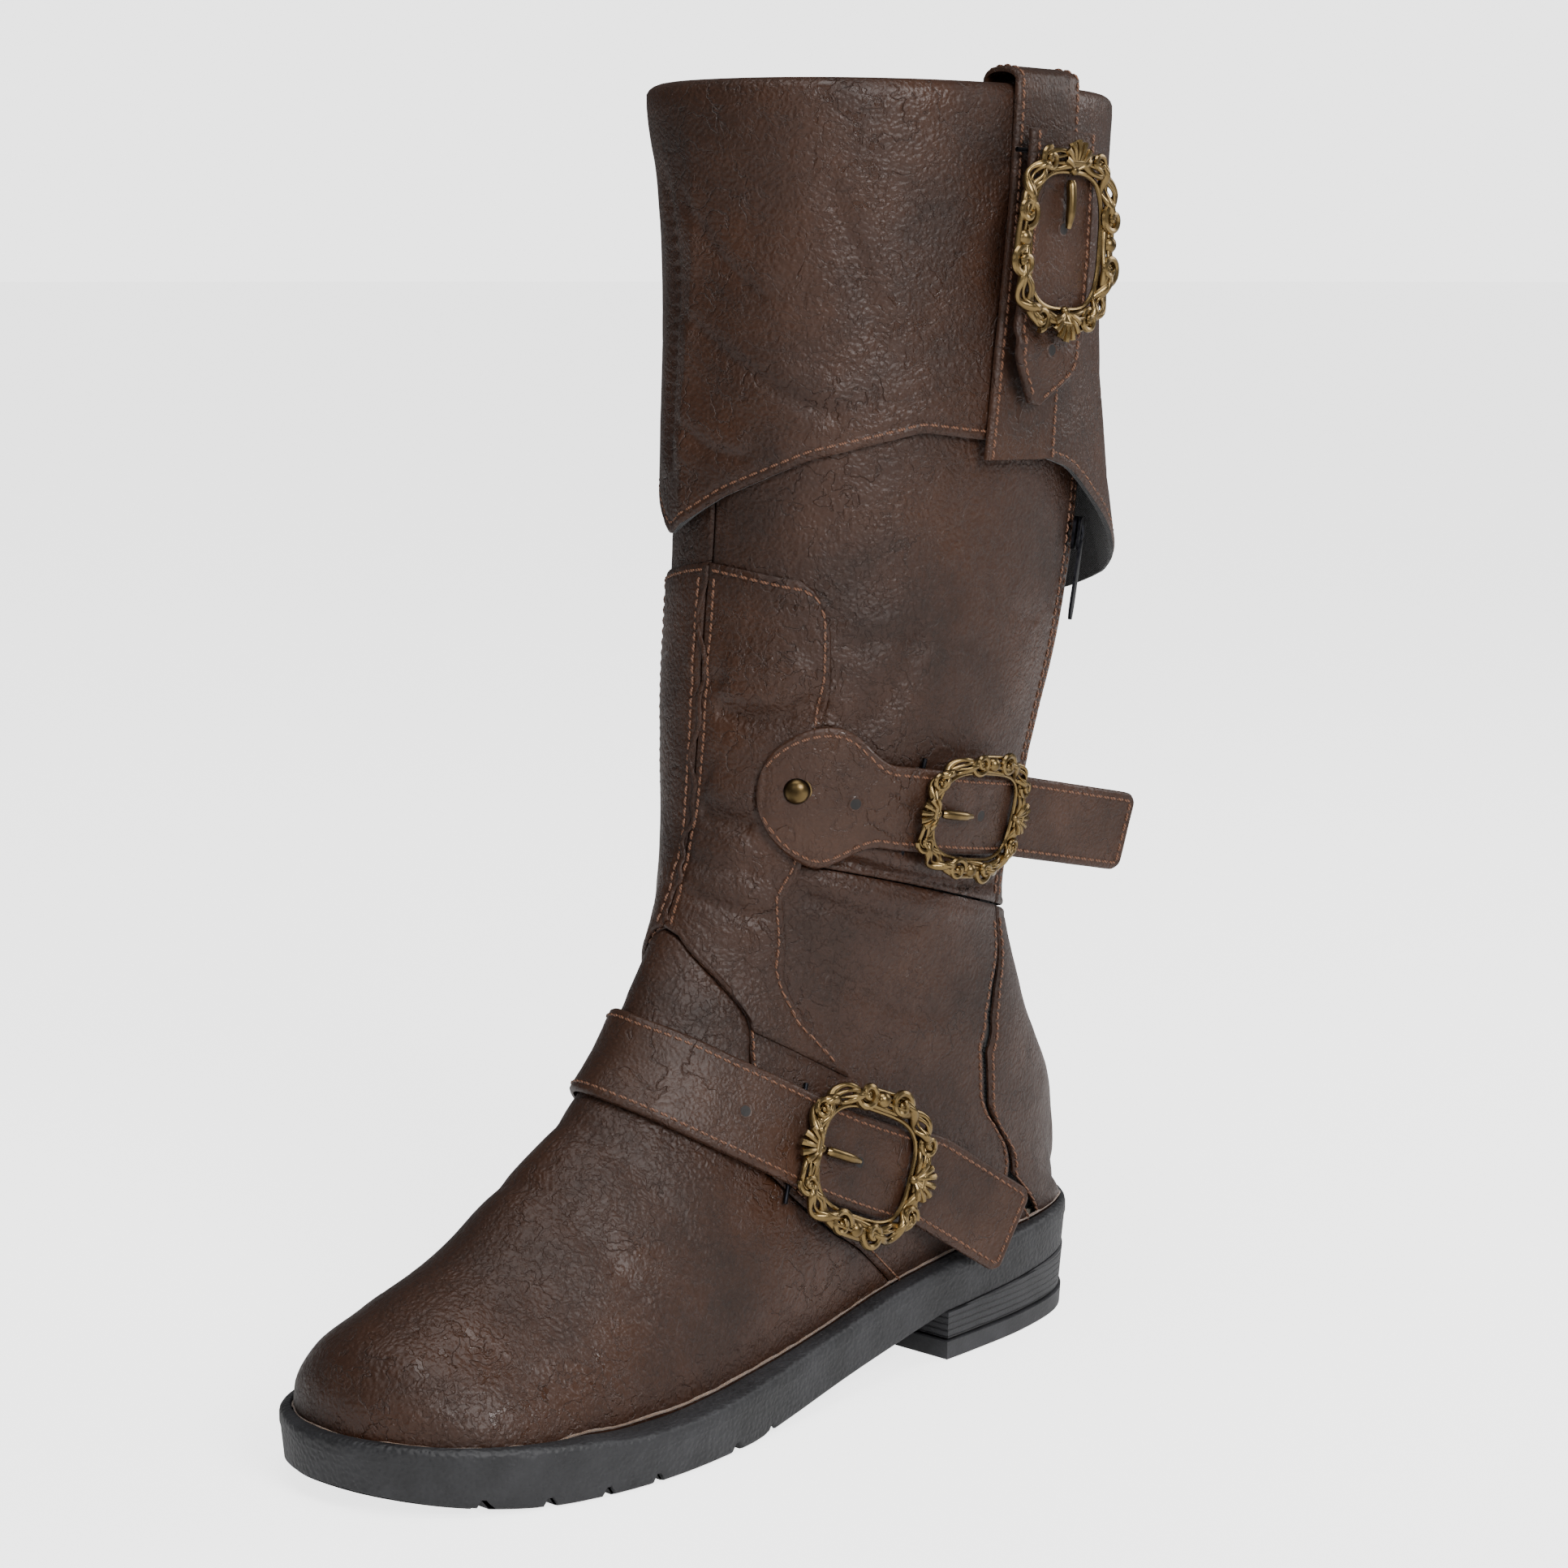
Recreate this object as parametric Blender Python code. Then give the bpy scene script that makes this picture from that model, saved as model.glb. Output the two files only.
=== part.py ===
"""A pirate boot for the left foot: tall shaft with a turned-down cuff, three buckled straps, a rear zip
and a rubber sole with a block heel. +Z is up, the toe points to -Y and the outer (buckle) side is +X.
The origin is on the ground under the ball of the foot. Lengths are in metres."""

import math

import bpy
import bmesh
import numpy as np
from mathutils import Vector
from mathutils.bvhtree import BVHTree

MM = 0.001

# Overall sizes: each one can be changed by itself
SOLE_LENGTH = 0.294  # toe tip to heel back, along the rubber
BALL_WIDTH = 0.100  # widest part of the rubber sole
SHAFT_TOP = 0.374  # ground to the front of the rim
SHAFT_DEPTH = 0.143  # front to back at the rim
SHAFT_WIDTH = 0.108  # side to side at the rim

# Walls, from the outside in
LEATHER = 0.0014
MIDDLE_GAP = 0.0009  # between the leather and whatever lies behind it
MIDDLE = 0.0010  # toe puff, heel counter and zip tape
LINING = 0.0011
WALL_GAP = 0.0006

# Sole unit
HEEL_LIFT = 0.0058
SIDEWALL = 0.0105  # rubber under the feather line at the waist
LIP_HEIGHT = 0.0042
LIP_CLEAR = 0.0010  # between the lip and the upper
TOE_SPRING = 0.0070
TREAD_DEPTH = 0.0022
TREAD_WIDTH = 0.0034
GROOVE_FLOOR = 0.28  # where a groove's flat floor ends, as a share of its width from the centre
SEAT_GAP = 0.0005  # between pieces that are glued or stacked in the bottom

# Inside the bottom
SHANK = (0.012, 0.098, 0.0014)  # width, length, thickness
BOARD = 0.0020
SOCK = 0.0026
INSIDE_CLEAR = 0.0009

# Cuff and straps
OVERLAY = 0.0009
OVERLAY_GAP = 0.0007
CUFF_GAP = 0.0010
CUFF = 0.0016
STRAP = 0.0017
STRAP_LIFT = 0.0024  # underside of a strap above the leather: over the shin panels and the buckle bars
STRAP_GAP = 0.0007
TOP_STRAP_WIDTH = 0.027
CALF_STRAP_WIDTH = 0.024
INSTEP_STRAP_WIDTH = 0.027
BAR_RADIUS = 0.0007
BAR_GAP = 0.00045
PRONG_RADIUS = 0.0011
STUD_RADIUS = 0.0044
ZIP_OPENING = 0.0030
ZIP_TAPE_WIDTH = 0.0105
COIL_RADIUS = 0.0006

# The last that the boot is built on, drawn in millimetres for a sole of 294: each ring runs from a point on
# the front ridge, down both sides, to its end. Columns: ring, ridge y, ridge z, end y, end z, half width on
# the outer side, half width on the inner side, share of the width left at the end, where along the ring it is
# widest, x of the ring's middle, fullness of the curve.
FOOT_RINGS = (
    (0.0, -141.5, 18.5, -92, 15.0, 44.5, 37.2, 1.00, 0.80, -5.0, 2.05),
    (0.6, -141.0, 30, -84, 14.0, 46.0, 38.2, 0.99, 0.80, -5.0, 2.05),
    (1.2, -135, 41.2, -74, 13.5, 46.2, 38.9, 0.98, 0.80, -4.5, 1.95),
    (2.0, -120.5, 50.0, -60, 13.5, 46.0, 39.6, 0.97, 0.80, -3.5, 1.80),
    (3.0, -98.5, 60, -40, 14.5, 44.0, 38.2, 0.96, 0.79, -2.0, 1.80),
    (4.0, -75.5, 76, -18, 16.5, 41.0, 35.8, 0.93, 0.77, -1.0, 1.80),
    (5.0, -54.3, 91.6, 10, 20.5, 38.5, 33.8, 0.87, 0.73, 0.0, 1.80),
    (6.0, -38.4, 107.4, 45, 26.5, 37.0, 33.2, 0.80, 0.67, 0.0, 1.80),
    (7.0, -30.0, 121.2, 88, 31.0, 36.5, 33.4, 0.80, 0.62, 0.0, 1.80),
)
HEEL_TURN = (88, 144.5, 31.0, 33.5)  # where the feather line starts to turn and ends, and its heights
HEEL_RIDGE = ((-30.0, 121.2), (-21.2, 136.4))
HEEL_RINGS = 5
HEEL_LAST_RING = 8.6
SHAFT_RINGS = (
    (9.4, -15.6, 146, 142.0, 64, 39.0, 36.0, 0.0, 0.55, 0.0, 1.90),
    (10.2, -11.7, 155, 125.0, 100, 41.0, 37.4, 0.0, 0.52, 0.0, 1.90),
    (11.0, -7.9, 166, 111.0, 140, 44.0, 38.8, 0.0, 0.51, 0.0, 1.95),
    (12.0, -5.6, 188, 116.5, 178, 48.0, 42.0, 0.0, 0.50, 0.5, 2.05),
    (13.0, -3, 222, 128.0, 218, 51.0, 44.4, 0.0, 0.50, 1.0, 2.10),
    (14.0, -0.5, 262, 134.0, 260, 53.0, 47.3, 0.0, 0.50, 2.0, 2.10),
    (15.0, -0.5, 310, 138.5, 308, 54.0, 50.0, 0.0, 0.50, 3.0, 2.10),
    (16.0, -1.5, 377, 141.5, 375, 55.0, 52.0, 0.0, 0.50, 4.0, 2.10),
    (16.5, -2, 413, 143.5, 409, 55.5, 53.0, 0.0, 0.50, 4.5, 2.10),
)
RIM = 16.0
PATTERN = {"length": 294.0, "width": 100.0, "top": 377.0, "depth": 143.0, "shaft_width": 108.0}
BALL_Y = -60.0  # the pattern's own y of the ball, which the origin is under
GROUND_Z = 3.0  # and its own z of the ground
ANKLE_Z = 130.0  # below this the foot's sizes hold, above it the shaft's

# Edges of the leather pieces, as (place round the ring, ring) with 0 at the front ridge and 1 at the end
VAMP_BACK = ((0.0, 8.95), (0.05, 8.85), (0.14, 8.26), (0.21, 7.72), (0.245, 7.09), (0.30, 6.25),
             (0.36, 5.80), (0.42, 5.78), (0.60, 5.94), (1.0, 6.04))
VAMP_ROWS = (0.0, 0.035, 0.07, 0.12, 0.18, 0.26, 0.35, 0.46, 0.57, 0.68, 0.79, 0.90, 1.0)
PUFF_ROWS = 6  # how many of the vamp's rows the toe puff takes
SHIN_FOOT = ((0.225, 7.5), (0.352, 7.6))  # where the shin panels end under the instep strap
SHIN_BACK = ((7.0, 0.38), (7.7, 0.35), (8.1, 0.28), (9.0, 0.23), (10.2, 0.215),
             (10.74, 0.235), (12.4, 0.225), (12.65, 0.230), (13.35, 0.215))
SHIN_TOP = 13.55
ZIP_LINE = ((7.40, 0.80), (7.62, 0.68), (7.94, 0.63), (8.31, 0.575), (8.85, 0.53), (9.31, 0.525),
            (9.73, 0.555), (10.04, 0.595), (10.5, 0.66), (11.0, 0.69), (12.0, 0.70), (16.6, 0.70))
ZIP_FOOT = 7.95
ZIP_HEAD = 15.6
FOLD = 10.80  # the seam in the ankle fold, between the foot's quarters and the shaft
TOP_OF_WALL = 15.93
COUNTER = (0.85, 7.2, 9.6)  # the heel counters: place of the front edge, first and last ring
LINING_ROWS = (0.05, 0.4, 0.9, 1.6, 2.4, 3.3, 4.3, 5.3, 6.2, 6.9, 7.32, 7.64, 7.96)
LINING_TOP = 8.35  # where the foot lining ends and the shaft lining begins

CUFF_HEM = ((-1.0, 13.25), (-0.86, 13.55), (-0.5, 14.38), (-0.36, 14.42), (-0.07, 13.72), (0.03, 14.0),
            (0.17, 14.25), (0.33, 14.42), (0.45, 14.36), (0.60, 14.18), (0.80, 13.62), (1.0, 13.25))
CUFF_FLARE = 0.019  # how far the back point of the cuff stands off the shaft
RIM_FLARE = 0.005  # how far the rim's front corner leans out

GROOVES_FROM, GROOVES_TO, GROOVE_STEP = -0.062, 0.042, 0.0165
SPRING = (-151.0, -98.0)  # pattern y of the tread's tip and of the place where it meets the ground
SHANK_START = -22.0  # pattern y of the shank's front end
HEEL_END = 147.0  # pattern y of the heel's back
SOLE_RIGHT = ((-4, -146.2), (14, -142.5), (31, -130.5), (43, -112), (50, -90), (52.5, -68), (51, -44), (46, -14),
              (42, 14), (40, 42), (39, 72), (36.5, 100), (29.8, 124.5), (17.5, 140), (1, 146.5))
SOLE_LEFT = ((-15.5, 140.5), (-28.5, 124.5), (-35, 100), (-37, 72), (-37.5, 42), (-39, 12), (-42, -18),
             (-45.5, -48), (-47.5, -74), (-47, -98), (-42.8, -118), (-32.2, -134.4), (-18, -143.4))


def curve_through(points, samples, closed=False):
    """A smooth curve through the points (Catmull-Rom), evenly spread by point number."""
    points = np.array(points, float)
    count = len(points)
    spans = count if closed else count - 1
    at = np.linspace(0, spans, samples, endpoint=not closed)
    first = np.minimum(at.astype(int), spans - 1)
    t = (at - first)[:, None]

    def pick(shift):
        index = first + shift
        return points[index % count] if closed else points[np.clip(index, 0, count - 1)]

    a, b, c, d = pick(-1), pick(0), pick(1), pick(2)
    return 0.5 * (2 * b + (c - a) * t + (2 * a - 5 * b + 4 * c - d) * t**2 + (3 * b - 3 * c + d - a) * t**3)


def slopes(x, y):
    """Slopes for a smooth curve that never overshoots its points (Fritsch-Carlson)."""
    h = np.diff(x)[:, None]
    steps = np.diff(y, axis=0) / h
    inner = np.zeros_like(y[1:-1])
    same = steps[:-1] * steps[1:] > 0
    w1, w2 = 2 * h[1:] + h[:-1], h[1:] + 2 * h[:-1]
    with np.errstate(divide="ignore", invalid="ignore"):
        mean = (w1 + w2) / (w1 / steps[:-1] + w2 / steps[1:])
    inner[same] = mean[same]
    return np.vstack([steps[:1], inner, steps[-1:]])


class Table:
    """Rows of numbers read smoothly between their first column's values."""

    def __init__(self, rows):
        rows = np.array(rows, float)
        self.x, self.y = rows[:, 0], rows[:, 1:]
        self.slope = slopes(self.x, self.y)

    def __call__(self, at):
        at = np.asarray(at, float)
        i = np.clip(np.searchsorted(self.x, at, side="right") - 1, 0, len(self.x) - 2)
        h = (self.x[i + 1] - self.x[i])[..., None]
        t = ((at - self.x[i])[..., None]) / h
        return ((2 * t**3 - 3 * t**2 + 1) * self.y[i] + (t**3 - 2 * t**2 + t) * h * self.slope[i]
                + (3 * t**2 - 2 * t**3) * self.y[i + 1] + (t**3 - t**2) * h * self.slope[i + 1])


def heel_rings():
    """The rings whose ends follow the half circle of the heel seat."""
    start, end, low, high = HEEL_TURN
    width, rings = FOOT_RINGS[-1][5:7], []
    keep = FOOT_RINGS[-1][7]
    for step in range(1, HEEL_RINGS + 1):
        turn = math.pi / 2 * step / HEEL_RINGS
        share = step / HEEL_RINGS
        ridge = [a + (b - a) * share for a, b in zip(*HEEL_RIDGE)]
        rings.append((FOOT_RINGS[-1][0] + (HEEL_LAST_RING - FOOT_RINGS[-1][0]) * share, ridge[0], ridge[1],
                      start + (end - start) * math.sin(turn), low + (high - low) * math.sin(turn),
                      width[0] + share, width[1] + share, keep * math.cos(turn), 0.62 - 0.05 * share, 0.0, 1.85))
    return tuple(rings)


LAST = Table(FOOT_RINGS + heel_rings() + SHAFT_RINGS)


def graded(x, y, z):
    """Pattern millimetres to metres: the pattern stretched to the overall sizes."""
    foot_x = BALL_WIDTH / MM / PATTERN["width"]
    shaft_x = SHAFT_WIDTH / MM / PATTERN["shaft_width"]
    foot_y = SOLE_LENGTH / MM / PATTERN["length"]
    shaft_y = SHAFT_DEPTH / MM / PATTERN["depth"]
    up = (SHAFT_TOP / MM - ANKLE_Z + GROUND_Z) / (PATTERN["top"] - ANKLE_Z)
    rise = np.clip((z - ANKLE_Z) / (PATTERN["top"] - ANKLE_Z), 0, 1)
    middle = 70.0
    along = (y - BALL_Y) * foot_y
    along_shaft = (middle - BALL_Y) * foot_y + (y - middle) * shaft_y
    blend = rise**2 * (3 - 2 * rise)
    new_y = along + (along_shaft - along) * blend
    new_x = x * (foot_x + (shaft_x - foot_x) * blend)
    new_z = np.where(z > ANKLE_Z, ANKLE_Z + (z - ANKLE_Z) * up, z) - GROUND_Z
    return np.stack([new_x, new_y, new_z], -1) * MM


def last_point(place, ring):
    """A point of the last's surface. place is -1 to 1 round the ring (plus is the outer side)."""
    place, ring = np.broadcast_arrays(np.asarray(place, float), np.asarray(ring, float))
    ridge_y, ridge_z, end_y, end_z, outer, inner, left, widest, middle, full = np.moveaxis(LAST(ring), -1, 0)
    turn = np.abs(place) * math.pi
    before = turn <= math.pi / 2
    along = np.where(before, widest * (1 - np.cos(np.minimum(turn, math.pi / 2))),
                     widest + (1 - widest) * np.sin(np.maximum(turn, math.pi / 2) - math.pi / 2))
    front = np.maximum(1 - (1 - np.clip(along / widest, 0, 1)) ** full, 0) ** (1 / full)
    rest = np.clip((along - widest) / np.maximum(1 - widest, 1e-6), 0, 1)
    back = left + (1 - left) * np.maximum(1 - rest**full, 0) ** (1 / full)
    width = np.where(place >= 0, outer, -inner) * np.where(before, front, back)
    return graded(middle + width, ridge_y + (end_y - ridge_y) * along, ridge_z + (end_z - ridge_z) * along)


def last_normal(place, ring):
    """The outward direction at a point of the last."""
    place, ring = np.broadcast_arrays(np.asarray(place, float), np.asarray(ring, float))
    step_p, step_r = 0.006, 0.04
    across = last_point(np.minimum(place + step_p, 1), ring) - last_point(np.maximum(place - step_p, -1), ring)
    up = last_point(place, np.minimum(ring + step_r, 16.5)) - last_point(place, np.maximum(ring - step_r, 0))
    normal = np.cross(across, up)
    return normal / np.maximum(np.linalg.norm(normal, axis=-1, keepdims=True), 1e-12)


def shell(place, ring, out=0.0):
    """A point at a distance outside the last."""
    return last_point(place, ring) + last_normal(place, ring) * np.asarray(out)[..., None]


# ---------------------------------------------------------------- meshes

COLLECTION = bpy.context.scene.collection
FINISHES = {
    "leather": ((0.060, 0.027, 0.018), 0.50, 0.0),
    "leather_strap": ((0.066, 0.031, 0.022), 0.48, 0.0),
    "lining": ((0.012, 0.012, 0.013), 0.85, 0.0),
    "rubber": ((0.021, 0.021, 0.023), 0.62, 0.0),
    "antique_brass": ((0.250, 0.165, 0.062), 0.34, 1.0),
    "steel": ((0.45, 0.45, 0.46), 0.38, 1.0),
    "board": ((0.30, 0.22, 0.14), 0.80, 0.0),
    "stiffener": ((0.55, 0.52, 0.47), 0.75, 0.0),
    "zip_tape": ((0.008, 0.008, 0.009), 0.90, 0.0),
    "zip_coil": ((0.010, 0.010, 0.011), 0.40, 0.0),
}


def clear_scene():
    for thing in list(bpy.data.objects):
        bpy.data.objects.remove(thing, do_unlink=True)


def finish(name):
    """The material of this name, made the first time that it is asked for."""
    if name in bpy.data.materials:
        return bpy.data.materials[name]
    color, rough, metal = FINISHES[name]
    made = bpy.data.materials.new(name)
    made.use_nodes = True
    shader = made.node_tree.nodes["Principled BSDF"]
    shader.inputs["Base Color"].default_value = (*color, 1)
    shader.inputs["Roughness"].default_value = rough
    shader.inputs["Metallic"].default_value = metal
    return made


def add_object(name, points, faces, material, origin=(0, 0, 0), smooth=True):
    """A closed mesh object with its faces turned outwards and its origin where asked."""
    origin = Vector(origin)
    mesh = bpy.data.meshes.new(name)
    work = bmesh.new()
    verts = [work.verts.new(Vector(p) - origin) for p in np.asarray(points, float)]
    for face in faces:
        work.faces.new([verts[i] for i in face])
    bmesh.ops.recalc_face_normals(work, faces=work.faces)
    if work.calc_volume(signed=True) < 0:
        bmesh.ops.reverse_faces(work, faces=work.faces)
    work.to_mesh(mesh)
    work.free()
    if smooth:
        mesh.shade_smooth()
        mesh.set_sharp_from_angle(angle=math.radians(40))
    thing = bpy.data.objects.new(name, mesh)
    thing.location = origin
    mesh.materials.append(finish(material))
    COLLECTION.objects.link(thing)
    return thing


def sheet_mesh(inner, outer, wrap=False):
    """Points and faces of a sheet between two grids (rows, columns, 3). wrap joins the last column to the first."""
    rows, columns = inner.shape[:2]
    points = np.concatenate([inner.reshape(-1, 3), outer.reshape(-1, 3)])
    half = rows * columns
    faces = []
    last_column = columns if wrap else columns - 1
    for r in range(rows - 1):
        for c in range(last_column):
            d = (c + 1) % columns
            a, b, e, f = r * columns + c, r * columns + d, (r + 1) * columns + d, (r + 1) * columns + c
            faces.append((a, f, e, b))
            faces.append((half + a, half + b, half + e, half + f))
    for r in (0, rows - 1):
        for c in range(last_column):
            d = (c + 1) % columns
            faces.append((r * columns + c, r * columns + d, half + r * columns + d, half + r * columns + c))
    if not wrap:
        for c in (0, columns - 1):
            for r in range(rows - 1):
                a, b = r * columns + c, (r + 1) * columns + c
                faces.append((a, b, half + b, half + a))
    return points, faces


def loop_mesh(grid):
    """Points and faces of a ring swept round: grid is (round the ring, round the section, 3), both closed."""
    count, around = grid.shape[:2]
    faces = []
    for i in range(count):
        j = (i + 1) % count
        for k in range(around):
            m = (k + 1) % around
            faces.append((i * around + k, j * around + k, j * around + m, i * around + m))
    return grid.reshape(-1, 3), faces


def rod_mesh(centres, radii, sides, across, upward):
    """Points and faces of a rod along the centres, closed with flat ends."""
    centres = np.array(centres, float)
    turn = np.linspace(0, 2 * math.pi, sides, endpoint=False)
    grid = np.stack([c + r * (np.cos(turn)[:, None] * across + np.sin(turn)[:, None] * upward)
                     for c, r in zip(centres, radii)])
    faces = [(i * sides + k, i * sides + (k + 1) % sides, (i + 1) * sides + (k + 1) % sides, (i + 1) * sides + k)
             for i in range(len(centres) - 1) for k in range(sides)]
    faces.append(tuple(range(sides)))
    faces.append(tuple(range((len(centres) - 1) * sides, len(centres) * sides)))
    return grid.reshape(-1, 3), faces


def through(count, *edges):
    """Shares from 0 to 1, evenly spread but passing through the corners of the edges."""
    even = np.linspace(0, 1, count)
    corners = np.concatenate([(e[1:-1, 0] - e[0, 0]) / (e[-1, 0] - e[0, 0]) for e in edges] + [[]])
    kept = []
    for corner in np.sort(corners):
        if 0.012 < corner < 0.988 and (not kept or corner - kept[-1] > 0.012):
            kept.append(corner)
    if not kept:
        return even
    clear = np.min(np.abs(even[:, None] - np.array(kept)[None]), axis=1) > 0.45 / count
    clear[[0, -1]] = True
    return np.sort(np.concatenate([even[clear], kept]))


def patch(left, right, bottom, top, columns, rows):
    """Places and rings of a four-sided patch. left and right give place from ring; bottom and top ring from place.

    Each is a list of (from, to) pairs; their ends have to meet."""
    left, right, bottom, top = (np.array(edge, float) for edge in (left, right, bottom, top))
    a, b = through(columns, bottom), through(rows, left, right)

    def side(edge):
        ring = edge[0, 0] + (edge[-1, 0] - edge[0, 0]) * b
        return np.stack([np.interp(ring, edge[:, 0], edge[:, 1]), ring], -1)

    def end(edge):
        place = edge[0, 0] + (edge[-1, 0] - edge[0, 0]) * a
        if edge[0, 0] > edge[-1, 0]:
            return np.stack([place, np.interp(-place, -edge[:, 0], edge[:, 1])], -1)
        return np.stack([place, np.interp(place, edge[:, 0], edge[:, 1])], -1)

    one, two, low, high = side(left), side(right), end(bottom), end(top)
    a, b = a[None, :, None], b[:, None, None]
    grid = (one[:, None] * (1 - a) + two[:, None] * a + low[None] * (1 - b) + high[None] * b
            - (low[0] * (1 - a) * (1 - b) + low[-1] * a * (1 - b) + high[0] * (1 - a) * b + high[-1] * a * b))
    return grid[..., 0], grid[..., 1]


def leather_piece(name, places, rings, outside=0.0, thick=LEATHER, material="leather"):
    """A sheet of the wall between two distances outside the last."""
    points, faces = sheet_mesh(shell(places, rings, outside - thick), shell(places, rings, outside))
    return add_object(name, points, faces, material)


def clip_pairs(pairs, low, high):
    """The part of a curve given as pairs whose first value lies between two values, ends included."""
    array = np.array(sorted(pairs))
    inside = [tuple(p) for p in array if low < p[0] < high]
    ends = [(v, float(np.interp(v, array[:, 0], array[:, 1]))) for v in (low, high)]
    return tuple([ends[0]] + inside + [ends[1]])


def shifted(pairs, first=0.0, second=0.0):
    return tuple((a + first, b + second) for a, b in pairs)


# ---------------------------------------------------------------- upper

SEAM = 0.022  # half a butt seam's gap, in rings
SEAM_ROUND = 0.0035  # and round the ring
ZIP_ROUND = 0.5 * ZIP_OPENING / (SHAFT_WIDTH + SHAFT_DEPTH)  # half the zip's opening, round the ring


def make_upper():
    """The leather pieces: vamp, quarters, shaft and the shin panels laid over the front seam's two sides."""
    vamp_back = np.array(VAMP_BACK)
    half = through(12, vamp_back)
    places = np.concatenate([-half[:0:-1], half])
    share = np.array(VAMP_ROWS)[:, None]
    back = np.interp(np.abs(places), vamp_back[:, 0], vamp_back[:, 1]) - SEAM
    leather_piece("vamp", np.broadcast_to(places, (len(share), len(places))), share * back)

    front, back_seam = SEAM_ROUND, 1.0 - SEAM_ROUND
    low = shifted(clip_pairs(VAMP_BACK, front, 1.0), 0, SEAM)
    high = FOLD - SEAM
    front_edge = ((low[0][1], front), (high, front))
    zip_part = tuple((r, p - ZIP_ROUND) for r, p in clip_pairs(ZIP_LINE, ZIP_LINE[1][0], high))
    zip_edge = ((low[-1][1], 1.0), (ZIP_LINE[0][0] - 0.02, 1.0)) + zip_part
    p, r = patch(front_edge, zip_edge, low, ((front, high), (zip_edge[-1][1], high)), 12, 12)
    leather_piece("quarter_lateral", p, r)

    back_edge = ((low[-1][1], 1.0), (HEEL_LAST_RING - 0.1, 1.0), (HEEL_LAST_RING + 0.2, back_seam),
                 (high, back_seam))
    p, r = patch(front_edge, back_edge, low, ((front, high), (back_seam, high)), 15, 13)
    leather_piece("quarter_medial", -p, r)

    heel_start = ZIP_LINE[0][0] + 0.12
    zip_edge = ((heel_start, 0.93),) + tuple(
        (r, p + ZIP_ROUND) for r, p in clip_pairs(ZIP_LINE, 7.80, high))
    p, r = patch(zip_edge, ((heel_start, 1.0),) + back_edge[1:], ((0.93, heel_start), (1.0, heel_start)),
                 ((zip_edge[-1][1], high), (back_seam, high)), 9, 11)
    leather_piece("heel_panel_lateral", p, r)

    low, high = FOLD + SEAM, TOP_OF_WALL
    front_edge, back_edge = ((low, front), (high, front)), ((low, back_seam), (high, back_seam))
    zip_near = tuple((r, p - ZIP_ROUND) for r, p in clip_pairs(ZIP_LINE, low, high))
    zip_far = tuple((r, p + ZIP_ROUND) for r, p in clip_pairs(ZIP_LINE, low, high))
    for name, sign, left, right, columns in (("shaft_lateral", 1, front_edge, zip_near, 12),
                                             ("shaft_medial", -1, front_edge, back_edge, 15),
                                             ("shaft_back", 1, zip_far, back_edge, 6)):
        p, r = patch(left, right, ((left[0][1], low), (right[0][1], low)),
                     ((left[-1][1], high), (right[-1][1], high)), columns, 12)
        leather_piece(name, sign * p, r)

    low = shifted(clip_pairs(VAMP_BACK, front, SHIN_FOOT[0][0]), 0, SEAM) + SHIN_FOOT[1:]
    left = ((low[0][1], front), (SHIN_TOP, front))
    right = clip_pairs(SHIN_BACK, low[-1][1], SHIN_BACK[-1][0]) + ((SHIN_TOP, SHIN_BACK[-1][1] - 0.012),)
    low = low[:-1] + ((right[0][1], low[-1][1]),)
    p, r = patch(left, right, low, ((front, SHIN_TOP), (right[-1][1], SHIN_TOP)), 8, 14)
    for side, sign in (("lateral", 1), ("medial", -1)):
        leather_piece(f"shin_panel_{side}", sign * p, r, OVERLAY_GAP + OVERLAY, OVERLAY)


def make_inside():
    """Stiffeners, linings and the bottom's inner pieces."""
    middle = -LEATHER - MIDDLE_GAP
    lining = middle - MIDDLE - WALL_GAP
    vamp_back = np.array(VAMP_BACK)
    half = through(12, vamp_back)
    places = np.concatenate([-half[:0:-1], half])
    share = np.array(VAMP_ROWS[:PUFF_ROWS])[:, None]
    back = np.interp(np.abs(places), vamp_back[:, 0], vamp_back[:, 1]) - SEAM
    leather_piece("toe_puff", np.broadcast_to(places, (len(share), len(places))), share * back,
                  middle, MIDDLE, "stiffener")
    low, start, end = COUNTER
    right = ((start, 1.0), (HEEL_LAST_RING - 0.1, 1.0), (HEEL_LAST_RING + 0.2, 1 - SEAM_ROUND), (end, 1 - SEAM_ROUND))
    p, r = patch(((start, low), (end, low)), right, ((low, start), (1.0, start)),
                 ((low, end), (1 - SEAM_ROUND, end)), 8, 10)
    leather_piece("heel_counter_lateral", p, r, middle, MIDDLE, "stiffener")
    leather_piece("heel_counter_medial", -p, r, middle, MIDDLE, "stiffener")

    half = 0.985 * np.sin(np.linspace(0, math.pi / 2, 11)) ** 0.9
    places = np.concatenate([-half[:0:-1], half])
    rings = np.array(LINING_ROWS + (LINING_TOP,))[:, None] + 0 * places
    leather_piece("foot_lining", np.broadcast_to(places, rings.shape), rings, lining, LINING, "lining")
    around = np.linspace(-1, 1, 29)[:-1]
    rings = np.concatenate([np.linspace(LINING_TOP + 0.4, 12.2, 14), np.linspace(12.9, TOP_OF_WALL, 5)])[:, None]
    rings = rings + 0 * around
    inner = shell(np.broadcast_to(around, rings.shape), rings, lining - LINING)
    outer = shell(np.broadcast_to(around, rings.shape), rings, lining)
    points, faces = sheet_mesh(inner, outer, wrap=True)
    add_object("shaft_lining", points, faces, "lining")


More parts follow.
